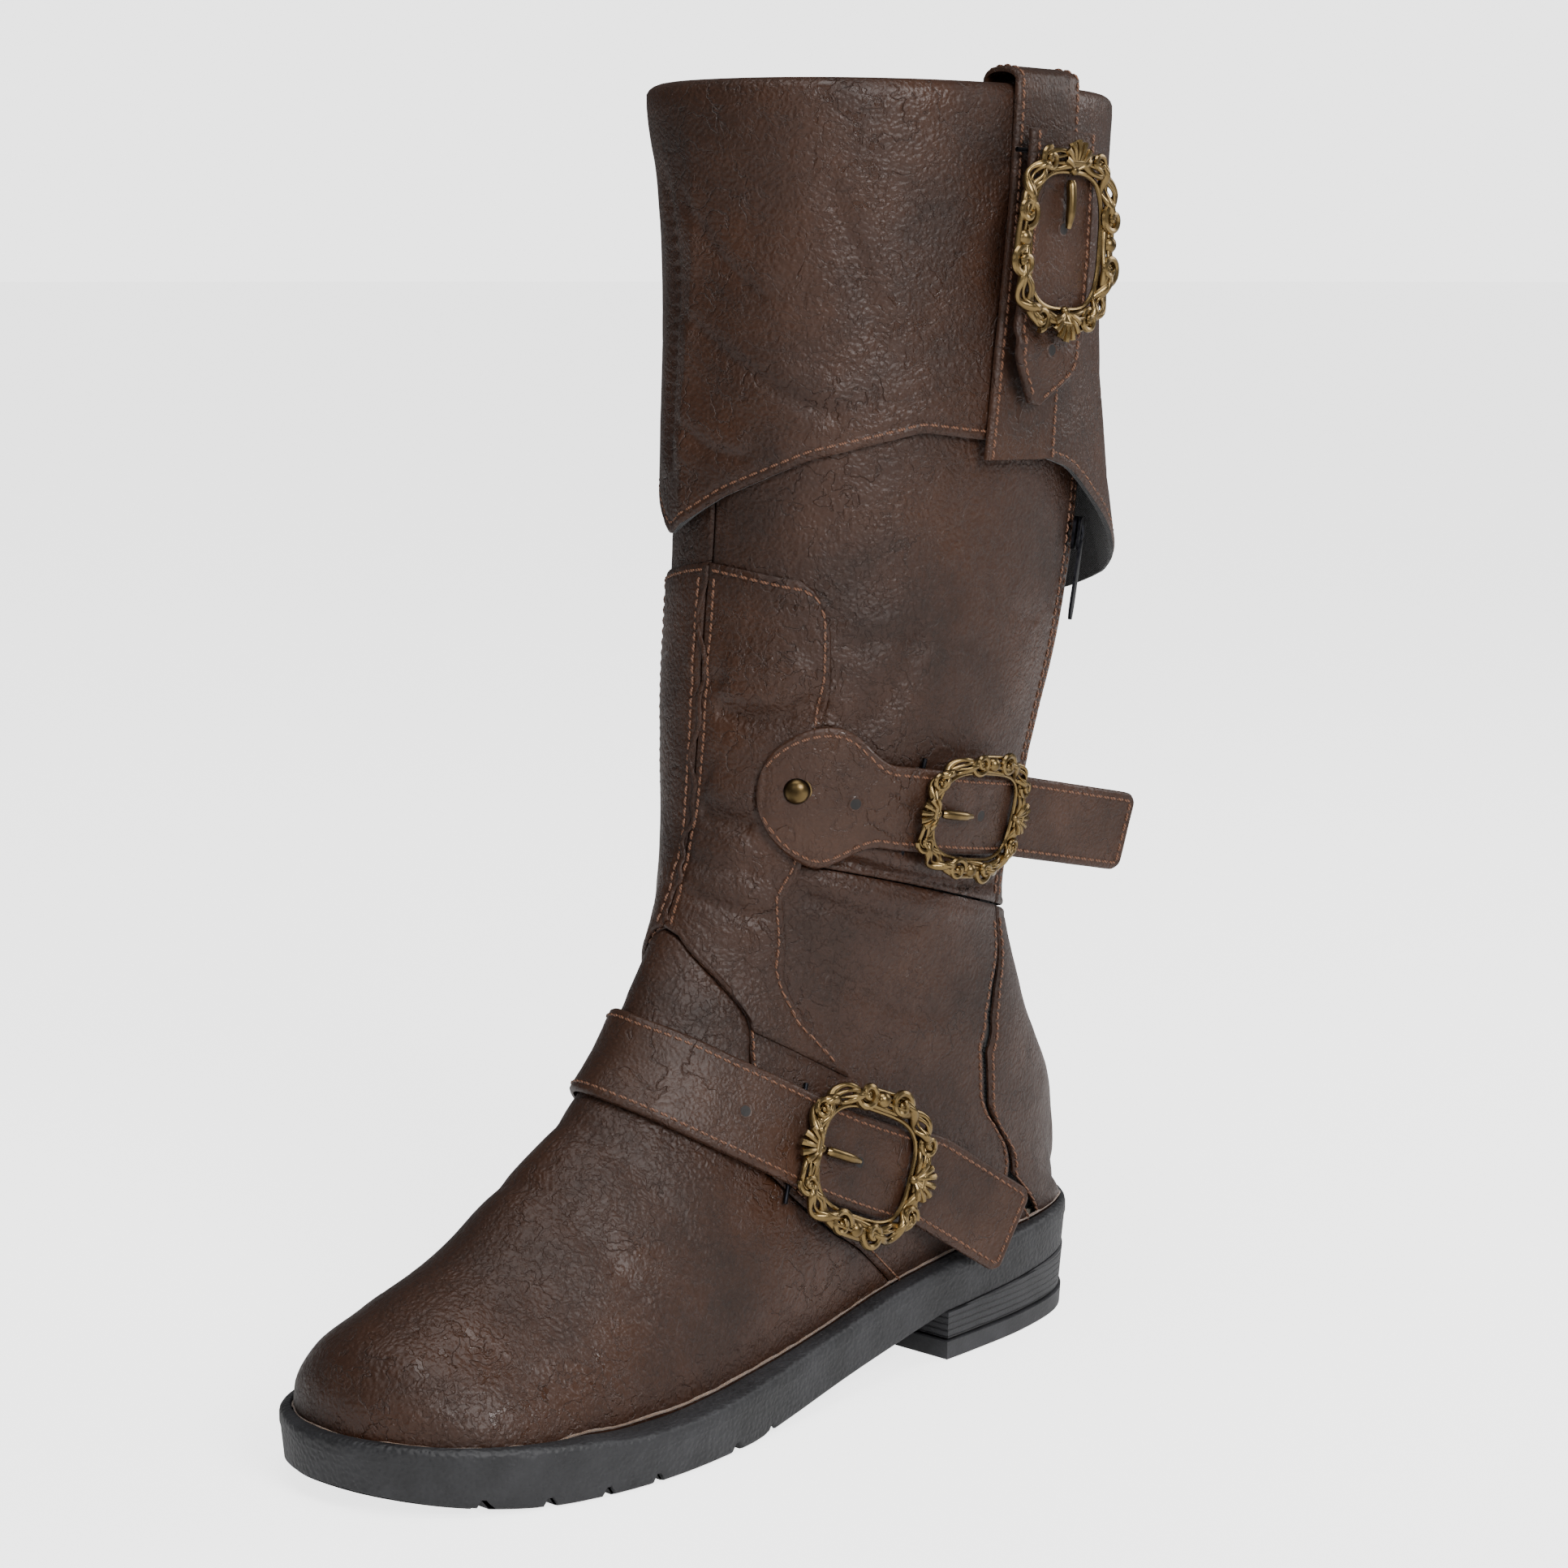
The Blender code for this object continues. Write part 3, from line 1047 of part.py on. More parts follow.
def sole_plate(name, outline, inset, rows, low, high, material, columns=7, taper=None):
    """A plate of the bottom between two heights, which are functions of y. taper narrows its underside."""
    left, right, _, _ = widths_at(rows, outline, inset)
    share = np.linspace(0, 1, columns)[None]
    x = left[:, None] + (right - left)[:, None] * share
    y = np.broadcast_to(rows[:, None], x.shape)
    middle = ((left + right) / 2)[:, None]
    squeeze = 1 - (taper or 0.0)
    under = np.stack([middle + (x - middle) * squeeze, y, np.broadcast_to(low(rows)[:, None], x.shape)], -1)
    over = np.stack([x, y, np.broadcast_to(high(rows)[:, None], x.shape)], -1)
    points, faces = sheet_mesh(under, over)
    return add_object(name, points, faces, material)


def tread_grooves():
    """Centres of the grooves across the tread."""
    count = int(round((GROOVES_TO - GROOVES_FROM) / GROOVE_STEP)) + 1
    return [GROOVES_FROM + GROOVE_STEP * i for i in range(count) if abs(GROOVES_FROM + GROOVE_STEP * i) > 0.006]


def make_bottom():
    outline = sole_outline()
    toe, heel = outline[:, 1].min(), outline[:, 1].max()
    corners = np.array([-0.5, -GROOVE_FLOOR, GROOVE_FLOOR, 0.5]) * TREAD_WIDTH
    grooves = [g + corner for g in tread_grooves() for corner in corners]
    rows = floor_rows(34, toe, heel, grooves + [HEEL_BREAST, TREAD_END])

    def top(y):
        return feather_height(y) - SEAT_GAP

    def under(y):
        base = bottom_height(y)
        for g in tread_grooves():
            depth = np.interp(np.abs(y - g), [GROOVE_FLOOR * TREAD_WIDTH, 0.5 * TREAD_WIDTH], [TREAD_DEPTH, 0.0])
            base = base + depth * (np.abs(y - g) < 0.5 * TREAD_WIDTH)
        return base

    sole_plate("outsole", outline, 0.0, rows, under, top, "rubber", 8, 0.07)

    base = outline
    places, rings = np.meshgrid(np.linspace(-1, 1, 161), np.linspace(0.0, HEEL_LAST_RING + 0.4, 110))
    upper = last_point(places, rings).reshape(-1, 3)
    near = upper[upper[:, 2] < feather_height(upper[:, 1]) + LIP_HEIGHT + 0.001]
    count = len(base)
    ahead = np.roll(base, -1, axis=0) - np.roll(base, 1, axis=0)
    inward = np.stack([-ahead[:, 1], ahead[:, 0]], 1)
    inward /= np.linalg.norm(inward, axis=1, keepdims=True)
    if np.sum(inward * (base.mean(axis=0) - base)) < 0:
        inward = -inward
    ring = []
    for i in range(count):
        gap = np.linalg.norm(near[:, :2] - base[i], axis=1).min() - LIP_CLEAR
        wide = max(0.0016, gap)
        z = feather_height(base[i, 1])
        y = base[i]
        inner = y + inward[i] * wide
        mid = y + inward[i] * wide * 0.25
        ring.append([(*y, z), (*inner, z), (*inner, z + LIP_HEIGHT * 0.9), (*mid, z + LIP_HEIGHT * 0.85),
                     (*(y + inward[i] * 0.0004), z + LIP_HEIGHT * 0.35)])
    points, faces = loop_mesh(np.array(ring))
    add_object("sole_lip", points, faces, "rubber")

    back = heel - 0.0012
    rows = floor_rows(13, 2 * HEEL_BREAST - back, back)
    rows = np.concatenate([[HEEL_BREAST + SEAT_GAP], rows[rows > HEEL_BREAST + 0.003]])
    sole_plate("heel_block", outline, 0.0008, rows, lambda y: HEEL_LIFT + SEAT_GAP + 0 * y,
               lambda y: bottom_height(y) - SEAT_GAP, "rubber", 5, 0.03)
    sole_plate("heel_top_lift", outline, 0.0010, np.minimum(rows, back - 0.001), lambda y: 0 * y,
               lambda y: HEEL_LIFT + 0 * y, "rubber", 5, 0.02)

    wall = LEATHER + MIDDLE_GAP + MIDDLE + WALL_GAP + LINING + INSIDE_CLEAR
    inside = inside_outline(wall)
    start = float(graded(0, SHANK_START, 0)[1])
    rows = floor_rows(24, inside[:, 1].min() + 0.003, 2 * start - inside[:, 1].min())
    layer = SHANK[2]
    sole_plate("forefoot_filler", inside, 0.003, rows[rows < start - 0.001], lambda y: feather_height(y) + SEAT_GAP,
               lambda y: feather_height(y) + SEAT_GAP + layer, "board", 6)
    steps = np.linspace(start, start + SHANK[1], 10)
    half = SHANK[0] / 2
    under = np.array([[(x, y, feather_height(y) + SEAT_GAP) for x in (-half, 0, half)] for y in steps])
    points, faces = sheet_mesh(under, under + np.array([0, 0, layer]))
    add_object("steel_shank", points, faces, "steel")
    low = 2 * SEAT_GAP + layer
    rows = floor_rows(26, inside[:, 1].min(), inside[:, 1].max())
    sole_plate("insole_board", inside, 0.0008, rows, lambda y: feather_height(y) + low,
               lambda y: feather_height(y) + low + BOARD, "board", 7)
    sole_plate("sock_liner", inside, 0.0026, rows, lambda y: feather_height(y) + low + BOARD + SEAT_GAP,
               lambda y: feather_height(y) + low + BOARD + SEAT_GAP + SOCK, "lining", 7)


def inside_outline(wall, samples=72):
    """The outline of the floor inside the upper: the feather line moved in by the wall."""
    rings = np.linspace(0.0, HEEL_LAST_RING, samples // 2)
    outer, inner = last_point(1.0, rings), last_point(-1.0, rings)
    toe = last_point(np.linspace(-1, 1, 25)[1:-1], 0.0)
    order = np.concatenate([toe[:, :2], outer[1:, :2], inner[-2:0:-1, :2]])
    ahead = np.roll(order, -1, axis=0) - np.roll(order, 1, axis=0)
    normal = np.stack([ahead[:, 1], -ahead[:, 0]], 1)
    normal /= np.maximum(np.linalg.norm(normal, axis=1, keepdims=True), 1e-9)
    if np.sum(normal * (order - order.mean(axis=0))) < 0:
        normal = -normal
    return order - normal * wall


def main():
    clear_scene()
    make_upper()
    make_inside()
    make_zip()
    make_zip_slider()
    make_cuff()
    make_bottom()
    leg = Surface(0.0, 16.0, lambda p, r: 0 * p)
    cuff = Surface(13.2, 16.0, cuff_out)
    make_calf_strap(leg)
    make_instep_strap(leg)
    make_top_strap(cuff)


main()
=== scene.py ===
"""Looks of a pirate boot for the left foot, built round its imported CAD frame.

The leather is laid over the same last as the frame: a place goes round a ring of the last and a ring goes up the
boot. Lengths are in metres unless a name says otherwise.
"""

import logging
import math
from collections.abc import Callable, Sequence
from dataclasses import dataclass, field
from enum import Enum

import bmesh
import bpy
import numpy as np
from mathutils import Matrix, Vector
from mathutils.bvhtree import BVHTree


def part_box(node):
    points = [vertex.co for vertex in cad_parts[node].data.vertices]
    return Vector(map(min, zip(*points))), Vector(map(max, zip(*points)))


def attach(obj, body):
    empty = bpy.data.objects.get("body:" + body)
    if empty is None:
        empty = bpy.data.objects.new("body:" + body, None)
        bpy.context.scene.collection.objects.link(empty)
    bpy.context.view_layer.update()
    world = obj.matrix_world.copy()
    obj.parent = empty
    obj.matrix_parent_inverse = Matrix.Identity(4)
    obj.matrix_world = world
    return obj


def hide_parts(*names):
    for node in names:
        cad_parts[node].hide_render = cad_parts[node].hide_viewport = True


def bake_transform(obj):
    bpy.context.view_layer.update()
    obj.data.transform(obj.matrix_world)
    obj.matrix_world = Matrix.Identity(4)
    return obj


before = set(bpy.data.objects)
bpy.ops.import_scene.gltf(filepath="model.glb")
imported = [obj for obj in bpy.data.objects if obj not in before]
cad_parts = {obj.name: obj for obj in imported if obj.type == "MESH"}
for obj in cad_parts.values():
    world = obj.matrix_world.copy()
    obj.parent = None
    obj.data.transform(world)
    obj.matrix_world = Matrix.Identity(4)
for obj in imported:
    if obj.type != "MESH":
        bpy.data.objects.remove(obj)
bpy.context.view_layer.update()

LOG = logging.getLogger("pirate_boot")
MM = 0.001
Array = np.ndarray
Edge = tuple[tuple[float, float], ...]

# ---------------------------------------------------------------- the last

SOLE_LENGTH = 0.294
BALL_WIDTH = 0.100
SHAFT_TOP = 0.374
SHAFT_DEPTH = 0.143
SHAFT_WIDTH = 0.108
PATTERN = {"length": 294.0, "width": 100.0, "top": 377.0, "depth": 143.0, "shaft_width": 108.0}
BALL_Y = -60.0
GROUND_Z = 3.0
ANKLE_Z = 130.0
FOOT_RINGS = (
    (0.0, -141.5, 18.5, -92, 15.0, 44.5, 37.2, 1.00, 0.80, -5.0, 2.05),
    (0.6, -141.0, 30, -84, 14.0, 46.0, 38.2, 0.99, 0.80, -5.0, 2.05),
    (1.2, -135, 41.2, -74, 13.5, 46.2, 38.9, 0.98, 0.80, -4.5, 1.95),
    (2.0, -120.5, 50.0, -60, 13.5, 46.0, 39.6, 0.97, 0.80, -3.5, 1.80),
    (3.0, -98.5, 60, -40, 14.5, 44.0, 38.2, 0.96, 0.79, -2.0, 1.80),
    (4.0, -75.5, 76, -18, 16.5, 41.0, 35.8, 0.93, 0.77, -1.0, 1.80),
    (5.0, -54.3, 91.6, 10, 20.5, 38.5, 33.8, 0.87, 0.73, 0.0, 1.80),
    (6.0, -38.4, 107.4, 45, 26.5, 37.0, 33.2, 0.80, 0.67, 0.0, 1.80),
    (7.0, -30.0, 121.2, 88, 31.0, 36.5, 33.4, 0.80, 0.62, 0.0, 1.80),
)
HEEL_TURN = (88, 144.5, 31.0, 33.5)  # where the feather line starts to turn and ends, and its heights
HEEL_RIDGE = ((-30.0, 121.2), (-21.2, 136.4))
HEEL_RINGS = 5
HEEL_LAST_RING = 8.6
SHAFT_RINGS = (
    (9.4, -15.6, 146, 142.0, 64, 39.0, 36.0, 0.0, 0.55, 0.0, 1.90),
    (10.2, -11.7, 155, 125.0, 100, 41.0, 37.4, 0.0, 0.52, 0.0, 1.90),
    (11.0, -7.9, 166, 111.0, 140, 44.0, 38.8, 0.0, 0.51, 0.0, 1.95),
    (12.0, -5.6, 188, 116.5, 178, 48.0, 42.0, 0.0, 0.50, 0.5, 2.05),
    (13.0, -3, 222, 128.0, 218, 51.0, 44.4, 0.0, 0.50, 1.0, 2.10),
    (14.0, -0.5, 262, 134.0, 260, 53.0, 47.3, 0.0, 0.50, 2.0, 2.10),
    (15.0, -0.5, 310, 138.5, 308, 54.0, 50.0, 0.0, 0.50, 3.0, 2.10),
    (16.0, -1.5, 377, 141.5, 375, 55.0, 52.0, 0.0, 0.50, 4.0, 2.10),
    (16.5, -2, 413, 143.5, 409, 55.5, 53.0, 0.0, 0.50, 4.5, 2.10),
)
RIM = 16.0

VAMP_BACK = ((0.0, 8.95), (0.05, 8.85), (0.14, 8.26), (0.21, 7.72), (0.245, 7.09), (0.30, 6.25),
             (0.36, 5.80), (0.42, 5.78), (0.60, 5.94), (1.0, 6.04))
SHIN_FOOT = ((0.225, 7.5), (0.352, 7.6))  # where the shin panels end under the instep strap
SHIN_BACK = ((7.0, 0.38), (7.7, 0.35), (8.1, 0.28), (9.0, 0.23), (10.2, 0.215),
             (10.74, 0.235), (12.4, 0.225), (12.65, 0.230), (13.35, 0.215))
SHIN_TOP = 13.55
ZIP_LINE = ((7.40, 0.80), (7.62, 0.68), (7.94, 0.63), (8.31, 0.575), (8.85, 0.53), (9.31, 0.525),
            (9.73, 0.555), (10.04, 0.595), (10.5, 0.66), (11.0, 0.69), (12.0, 0.70), (16.6, 0.70))
ZIP_FOOT = 7.95
ZIP_HEAD = 15.6
FOLD = 10.80  # the seam in the ankle fold, between the foot's quarters and the shaft
TOP_OF_WALL = 15.93
LINING_TOP = 8.35  # where the foot lining ends
SHAFT_LINING_FOOT = 8.75

CUFF_HEM = ((-1.0, 13.25), (-0.86, 13.55), (-0.5, 14.38), (-0.36, 14.42), (-0.07, 13.72), (0.03, 14.0),
            (0.17, 14.25), (0.33, 14.42), (0.45, 14.36), (0.60, 14.18), (0.80, 13.62), (1.0, 13.25))
CUFF_FLARE = 0.019  # how far the back point of the cuff stands off the shaft
RIM_FLARE = 0.005  # how far the rim's front corner leans out

GROOVES_FROM, GROOVE_STEP, GROOVES = -0.062, 0.0165, 7
SOLE_RIGHT = ((-4, -146.2), (14, -142.5), (31, -130.5), (43, -112), (50, -90), (52.5, -68), (51, -44), (46, -14),
              (42, 14), (40, 42), (39, 72), (36.5, 100), (29.8, 124.5), (17.5, 140), (1, 146.5))
SOLE_LEFT = ((-15.5, 140.5), (-28.5, 124.5), (-35, 100), (-37, 72), (-37.5, 42), (-39, 12), (-42, -18),
             (-45.5, -48), (-47.5, -74), (-47, -98), (-42.8, -118), (-32.2, -134.4), (-18, -143.4))

LEATHER = 0.0014
LIP_HEIGHT = 0.0042
SEAT_GAP = 0.0005
STRAP = 0.0017
STRAP_GAP = 0.0007
CUFF = 0.0016
CUFF_GAP = 0.0010
WALL = 0.0050  # leather, zip tape and lining together
STITCH_PITCH = 0.0031
INSIDE_CLEAR = 0.0006  # between the wall and what is turned in over it
EDGE_TURN = 0.0011  # how wide the turned edge of a strap is
PRONG_CLEAR = 0.00045
BAR_RADIUS = 0.0007
FRAME_RISE = 0.0019  # from the strap's face to the middle of a buckle's casting
CAST_TUBE = 0.06  # a casting's thickness as a share of its breadth
TOP_ARCH = 0.0025  # how high the top strap's second layer stands in its buckle
BAND_START = 0.004
CREASE_FLOOR = -0.0024  # the leather never sinks deeper than this
STRAP_COLUMNS = (-1, -0.985, -0.95, -0.88, -0.78, -0.66, -0.5, -0.33, -0.16, 0,
                 0.16, 0.33, 0.5, 0.66, 0.78, 0.88, 0.95, 0.985, 1)
STRAP_MIDDLE = STRAP_COLUMNS.index(0)


def curve_through(points: Sequence[Sequence[float]] | Array, samples: int, closed: bool = False) -> Array:
    """A smooth curve through points.

    Args:
        points: The points that the curve passes.
        samples: How many points come back.
        closed: Whether the last point joins the first.

    Returns:
        The curve's points, evenly spread by point number.
    """
    points = np.array(points, float)
    count = len(points)
    spans = count if closed else count - 1
    at = np.linspace(0, spans, samples, endpoint=not closed)
    first = np.minimum(at.astype(int), spans - 1)
    t = (at - first)[:, None]

    def pick(shift: int) -> Array:
        """The point that many places on from the first of each span."""
        index = first + shift
        return points[index % count] if closed else points[np.clip(index, 0, count - 1)]

    a, b, c, d = pick(-1), pick(0), pick(1), pick(2)
    return 0.5 * (2 * b + (c - a) * t + (2 * a - 5 * b + 4 * c - d) * t**2 + (3 * b - 3 * c + d - a) * t**3)


def slopes(x: Array, y: Array) -> Array:
    """Slopes at each row for a smooth curve that never overshoots its rows."""
    h = np.diff(x)[:, None]
    steps = np.diff(y, axis=0) / h
    inner = np.zeros_like(y[1:-1])
    same = steps[:-1] * steps[1:] > 0
    w1, w2 = 2 * h[1:] + h[:-1], h[1:] + 2 * h[:-1]
    with np.errstate(divide="ignore", invalid="ignore"):
        mean = (w1 + w2) / (w1 / steps[:-1] + w2 / steps[1:])
    inner[same] = mean[same]
    return np.vstack([steps[:1], inner, steps[-1:]])


class Table:
    """Rows of numbers read smoothly between their first column's values."""

    def __init__(self, rows: Sequence[Sequence[float]]) -> None:
        """Keeps the rows and works out their slopes."""
        table = np.array(rows, float)
        self.x, self.y = table[:, 0], table[:, 1:]
        self.slope = slopes(self.x, self.y)

    def __call__(self, at: float | Array) -> Array:
        """The row's numbers at one or more values of the first column."""
        at = np.asarray(at, float)
        i = np.clip(np.searchsorted(self.x, at, side="right") - 1, 0, len(self.x) - 2)
        h = (self.x[i + 1] - self.x[i])[..., None]
        t = ((at - self.x[i])[..., None]) / h
        return ((2 * t**3 - 3 * t**2 + 1) * self.y[i] + (t**3 - 2 * t**2 + t) * h * self.slope[i]
                + (3 * t**2 - 2 * t**3) * self.y[i + 1] + (t**3 - t**2) * h * self.slope[i + 1])


def heel_rings() -> tuple[tuple[float, ...], ...]:
    """The rings whose ends follow the half circle of the heel seat."""
    start, end, low, high = HEEL_TURN
    width, keep = FOOT_RINGS[-1][5:7], FOOT_RINGS[-1][7]
    rings = []
    for step in range(1, HEEL_RINGS + 1):
        share = step / HEEL_RINGS
        turn = math.pi / 2 * share
        ridge = [a + (b - a) * share for a, b in zip(*HEEL_RIDGE)]
        rings.append((FOOT_RINGS[-1][0] + (HEEL_LAST_RING - FOOT_RINGS[-1][0]) * share, ridge[0], ridge[1],
                      start + (end - start) * math.sin(turn), low + (high - low) * math.sin(turn),
                      width[0] + share, width[1] + share, keep * math.cos(turn), 0.62 - 0.05 * share, 0.0, 1.85))
    return tuple(rings)


LAST = Table(FOOT_RINGS + heel_rings() + SHAFT_RINGS)


def graded(x: Array, y: Array, z: Array) -> Array:
    """Pattern millimetres to metres in the frame."""
    foot_x = BALL_WIDTH / MM / PATTERN["width"]
    shaft_x = SHAFT_WIDTH / MM / PATTERN["shaft_width"]
    foot_y = SOLE_LENGTH / MM / PATTERN["length"]
    shaft_y = SHAFT_DEPTH / MM / PATTERN["depth"]
    up = (SHAFT_TOP / MM - ANKLE_Z + GROUND_Z) / (PATTERN["top"] - ANKLE_Z)
    rise = np.clip((z - ANKLE_Z) / (PATTERN["top"] - ANKLE_Z), 0, 1)
    middle = 70.0
    along = (y - BALL_Y) * foot_y
    along_shaft = (middle - BALL_Y) * foot_y + (y - middle) * shaft_y
    mix = rise**2 * (3 - 2 * rise)
    new_z = np.where(z > ANKLE_Z, ANKLE_Z + (z - ANKLE_Z) * up, z) - GROUND_Z
    return np.stack([x * (foot_x + (shaft_x - foot_x) * mix), along + (along_shaft - along) * mix, new_z], -1) * MM


def last_point(place: float | Array, ring: float | Array) -> Array:
    """A point of the last's surface.

    Args:
        place: -1 to 1 round the ring, 0 on the front ridge and plus on the outer side.
        ring: 0 at the toe up to 16 at the rim.

    Returns:
        The point or points in the frame.
    """
    place, ring = np.broadcast_arrays(np.asarray(place, float), np.asarray(ring, float))
    ridge_y, ridge_z, end_y, end_z, outer, inner, left, widest, middle, full = np.moveaxis(LAST(ring), -1, 0)
    turn = np.abs(place) * math.pi
    before = turn <= math.pi / 2
    along = np.where(before, widest * (1 - np.cos(np.minimum(turn, math.pi / 2))),
                     widest + (1 - widest) * np.sin(np.maximum(turn, math.pi / 2) - math.pi / 2))
    front = np.maximum(1 - (1 - np.clip(along / widest, 0, 1)) ** full, 0) ** (1 / full)
    rest = np.clip((along - widest) / np.maximum(1 - widest, 1e-6), 0, 1)
    back = left + (1 - left) * np.maximum(1 - rest**full, 0) ** (1 / full)
    width = np.where(place >= 0, outer, -inner) * np.where(before, front, back)
    return graded(middle + width, ridge_y + (end_y - ridge_y) * along, ridge_z + (end_z - ridge_z) * along)


def last_normal(place: float | Array, ring: float | Array) -> Array:
    """The outward direction at points of the last."""
    place, ring = np.broadcast_arrays(np.asarray(place, float), np.asarray(ring, float))
    step_p, step_r = 0.006, 0.04
    across = last_point(np.minimum(place + step_p, 1), ring) - last_point(np.maximum(place - step_p, -1), ring)
    up = last_point(place, np.minimum(ring + step_r, 16.5)) - last_point(place, np.maximum(ring - step_r, 0))
    normal = np.cross(across, up)
    return normal / np.maximum(np.linalg.norm(normal, axis=-1, keepdims=True), 1e-12)


def shell(place: float | Array, ring: float | Array, out: float | Array = 0.0) -> Array:
    """Points at a distance outside the last."""
    return last_point(place, ring) + last_normal(place, ring) * np.asarray(out)[..., None]


def unit(vector: Array) -> Array:
    """The vector or vectors at length one."""
    return vector / np.maximum(np.linalg.norm(vector, axis=-1, keepdims=True), 1e-12)


# ---------------------------------------------------------------- noise and creases

def lattice(cell: Array, seed: int) -> Array:
    """A repeatable value from 0 to 1 for each whole-number cell."""
    cell = cell.astype(np.int64)
    mixed = (cell[..., 0] * 73856093) ^ (cell[..., 1] * 19349663) ^ (cell[..., 2] * 83492791) ^ (seed * 2654435761)
    mixed = (mixed ^ (mixed >> 13)) * 1274126177
    return ((mixed ^ (mixed >> 16)) & 0xFFFF) / 65535.0


def noise(points: Array, size: float, seed: int = 0) -> Array:
    """Smooth noise.

    Args:
        points: Where to read it.
        size: The size of its lumps.
        seed: Which noise.

    Returns:
        Values from -1 to 1.
    """
    scaled = points / size
    base = np.floor(scaled)
    t = scaled - base
    t = t * t * t * (t * (t * 6 - 15) + 10)
    total = np.zeros(points.shape[:-1])
    for corner in np.ndindex(2, 2, 2):
        weight = np.prod(np.where(np.array(corner), t, 1 - t), axis=-1)
        total += weight * lattice(base + np.array(corner), seed)
    return total * 2 - 1


def layered_noise(points: Array, size: float, layers: int, seed: int = 0) -> Array:
    """Noise with finer and finer lumps added."""
    total = np.zeros(points.shape[:-1])
    for layer in range(layers):
        total += noise(points, size / 2**layer, seed + layer) * 0.5**layer
    return total


def creases(points: Array, size: float, sharp: float, seed: int) -> Array:
    """Thin winding crease lines, 1 in a crease and 0 between, at the zero lines of warped noise."""
    bent = points + 0.35 * size * np.stack([noise(points, size * 0.8, seed + k) for k in (11, 12, 13)], -1)
    return np.exp(-((noise(bent, size, seed) / sharp) ** 2))


@dataclass(frozen=True)
class Fold:
    """A fold pressed into the leather by wear.

    Attributes:
        marks: Its line, as places and rings.
        depth: How deep it is.
        width: Half the width of its valley.
        swell: How high the leather stands on its upper side.
        lower_swell: The same on its lower side.
    """

    marks: Edge
    depth: float
    width: float
    swell: float = 0.0
    lower_swell: float = 0.0

    def relief(self, points: Array) -> Array:
        """How far the fold moves each point outwards."""
        line = shell(*np.array(curve_through(self.marks, 28)).T)
        flat = points.reshape(-1, 3)
        box_low, box_high = line.min(axis=0) - 0.03, line.max(axis=0) + 0.03
        near = np.all((flat > box_low) & (flat < box_high), axis=1)
        out = np.zeros(len(flat))
        if not near.any():
            return out.reshape(points.shape[:-1])
        here = flat[near]
        gap = np.linalg.norm(here[:, None] - line[None], axis=2)
        nearest = gap.argmin(axis=1)
        distance = gap[np.arange(len(here)), nearest]
        above = np.where(here[:, 2] > line[nearest, 2], 1.0, 0.0)
        share = nearest / (len(line) - 1)
        fade = np.clip(np.minimum(share, 1 - share) / 0.16, 0, 1)
        fade = fade * fade * (3 - 2 * fade)
        valley = -self.depth * np.exp(-((distance / self.width) ** 2))
        reach = (distance - 2.6 * self.width) / (2.2 * self.width)
        hill = (self.swell * above + self.lower_swell * (1 - above)) * np.exp(-(reach**2))
        out[near] = (valley + hill) * fade
        return out.reshape(points.shape[:-1])


FOLDS = (
    Fold(((0.215, 11.04), (0.30, 10.93), (0.40, 10.86), (0.52, 10.86), (0.68, 10.97)), 0.0034, 0.0021, 0.0027, 0.0009),
    Fold(((0.03, 12.48), (0.10, 12.42), (0.17, 12.46), (0.23, 12.62)), 0.0026, 0.0032, 0.0018, 0.0008),
    Fold(((0.02, 11.42), (0.08, 11.30), (0.14, 11.26)), 0.0018, 0.0030, 0.0012, 0.0006),
    Fold(((0.28, 12.30), (0.34, 12.75), (0.36, 13.2)), 0.0010, 0.0040, 0.0008, 0.0004),
    Fold(((0.24, 10.35), (0.34, 10.30), (0.46, 10.42)), 0.0009, 0.0019, 0.0006, 0.0003),
    Fold(((0.25, 9.35), (0.34, 9.2), (0.46, 9.42)), 0.0006, 0.0022, 0.0004, 0.0003),
    Fold(((-0.22, 10.9), (-0.40, 10.82), (-0.60, 10.9), (-0.82, 11.02)), 0.0020, 0.0018, 0.0014, 0.0006),
    Fold(((-0.25, 10.2), (-0.42, 10.12), (-0.55, 10.25)), 0.0008, 0.0020, 0.0006, 0.0002),
    Fold(((-0.05, 9.9), (0.04, 9.75), (0.15, 9.72), (0.21, 9.9)), 0.0009, 0.0022, 0.0007, 0.0003),
    Fold(((-0.04, 12.62), (0.06, 12.70), (0.16, 12.66), (0.26, 12.78)), 0.0007, 0.0024, 0.0005, 0.0003),
    Fold(((-0.03, 10.55), (0.06, 10.45), (0.17, 10.62)), 0.0008, 0.0024, 0.0006, 0.0002),
    Fold(((0.24, 12.95), (0.34, 13.05), (0.47, 12.92)), 0.0006, 0.0026, 0.0004, 0.0003),
    Fold(((0.62, 13.1), (0.52, 13.25), (0.45, 13.5)), 0.0006, 0.0024, 0.0004, 0.0002),
    Fold(((-0.45, 3.3), (-0.22, 3.9), (0.02, 4.05), (0.25, 3.8), (0.44, 3.3)), 0.0006, 0.0032, 0.0004, 0.0004),
    Fold(((-0.30, 4.9), (-0.05, 4.95), (0.22, 4.75), (0.42, 4.35)), 0.0005, 0.0030, 0.0003, 0.0003),
    Fold(((0.34, 5.1), (0.50, 4.6), (0.66, 4.2)), 0.0004, 0.0024, 0.0003, 0.0002),
    Fold(((0.74, 9.0), (0.84, 8.9), (0.94, 9.05)), 0.0006, 0.0022, 0.0004, 0.0002),
)


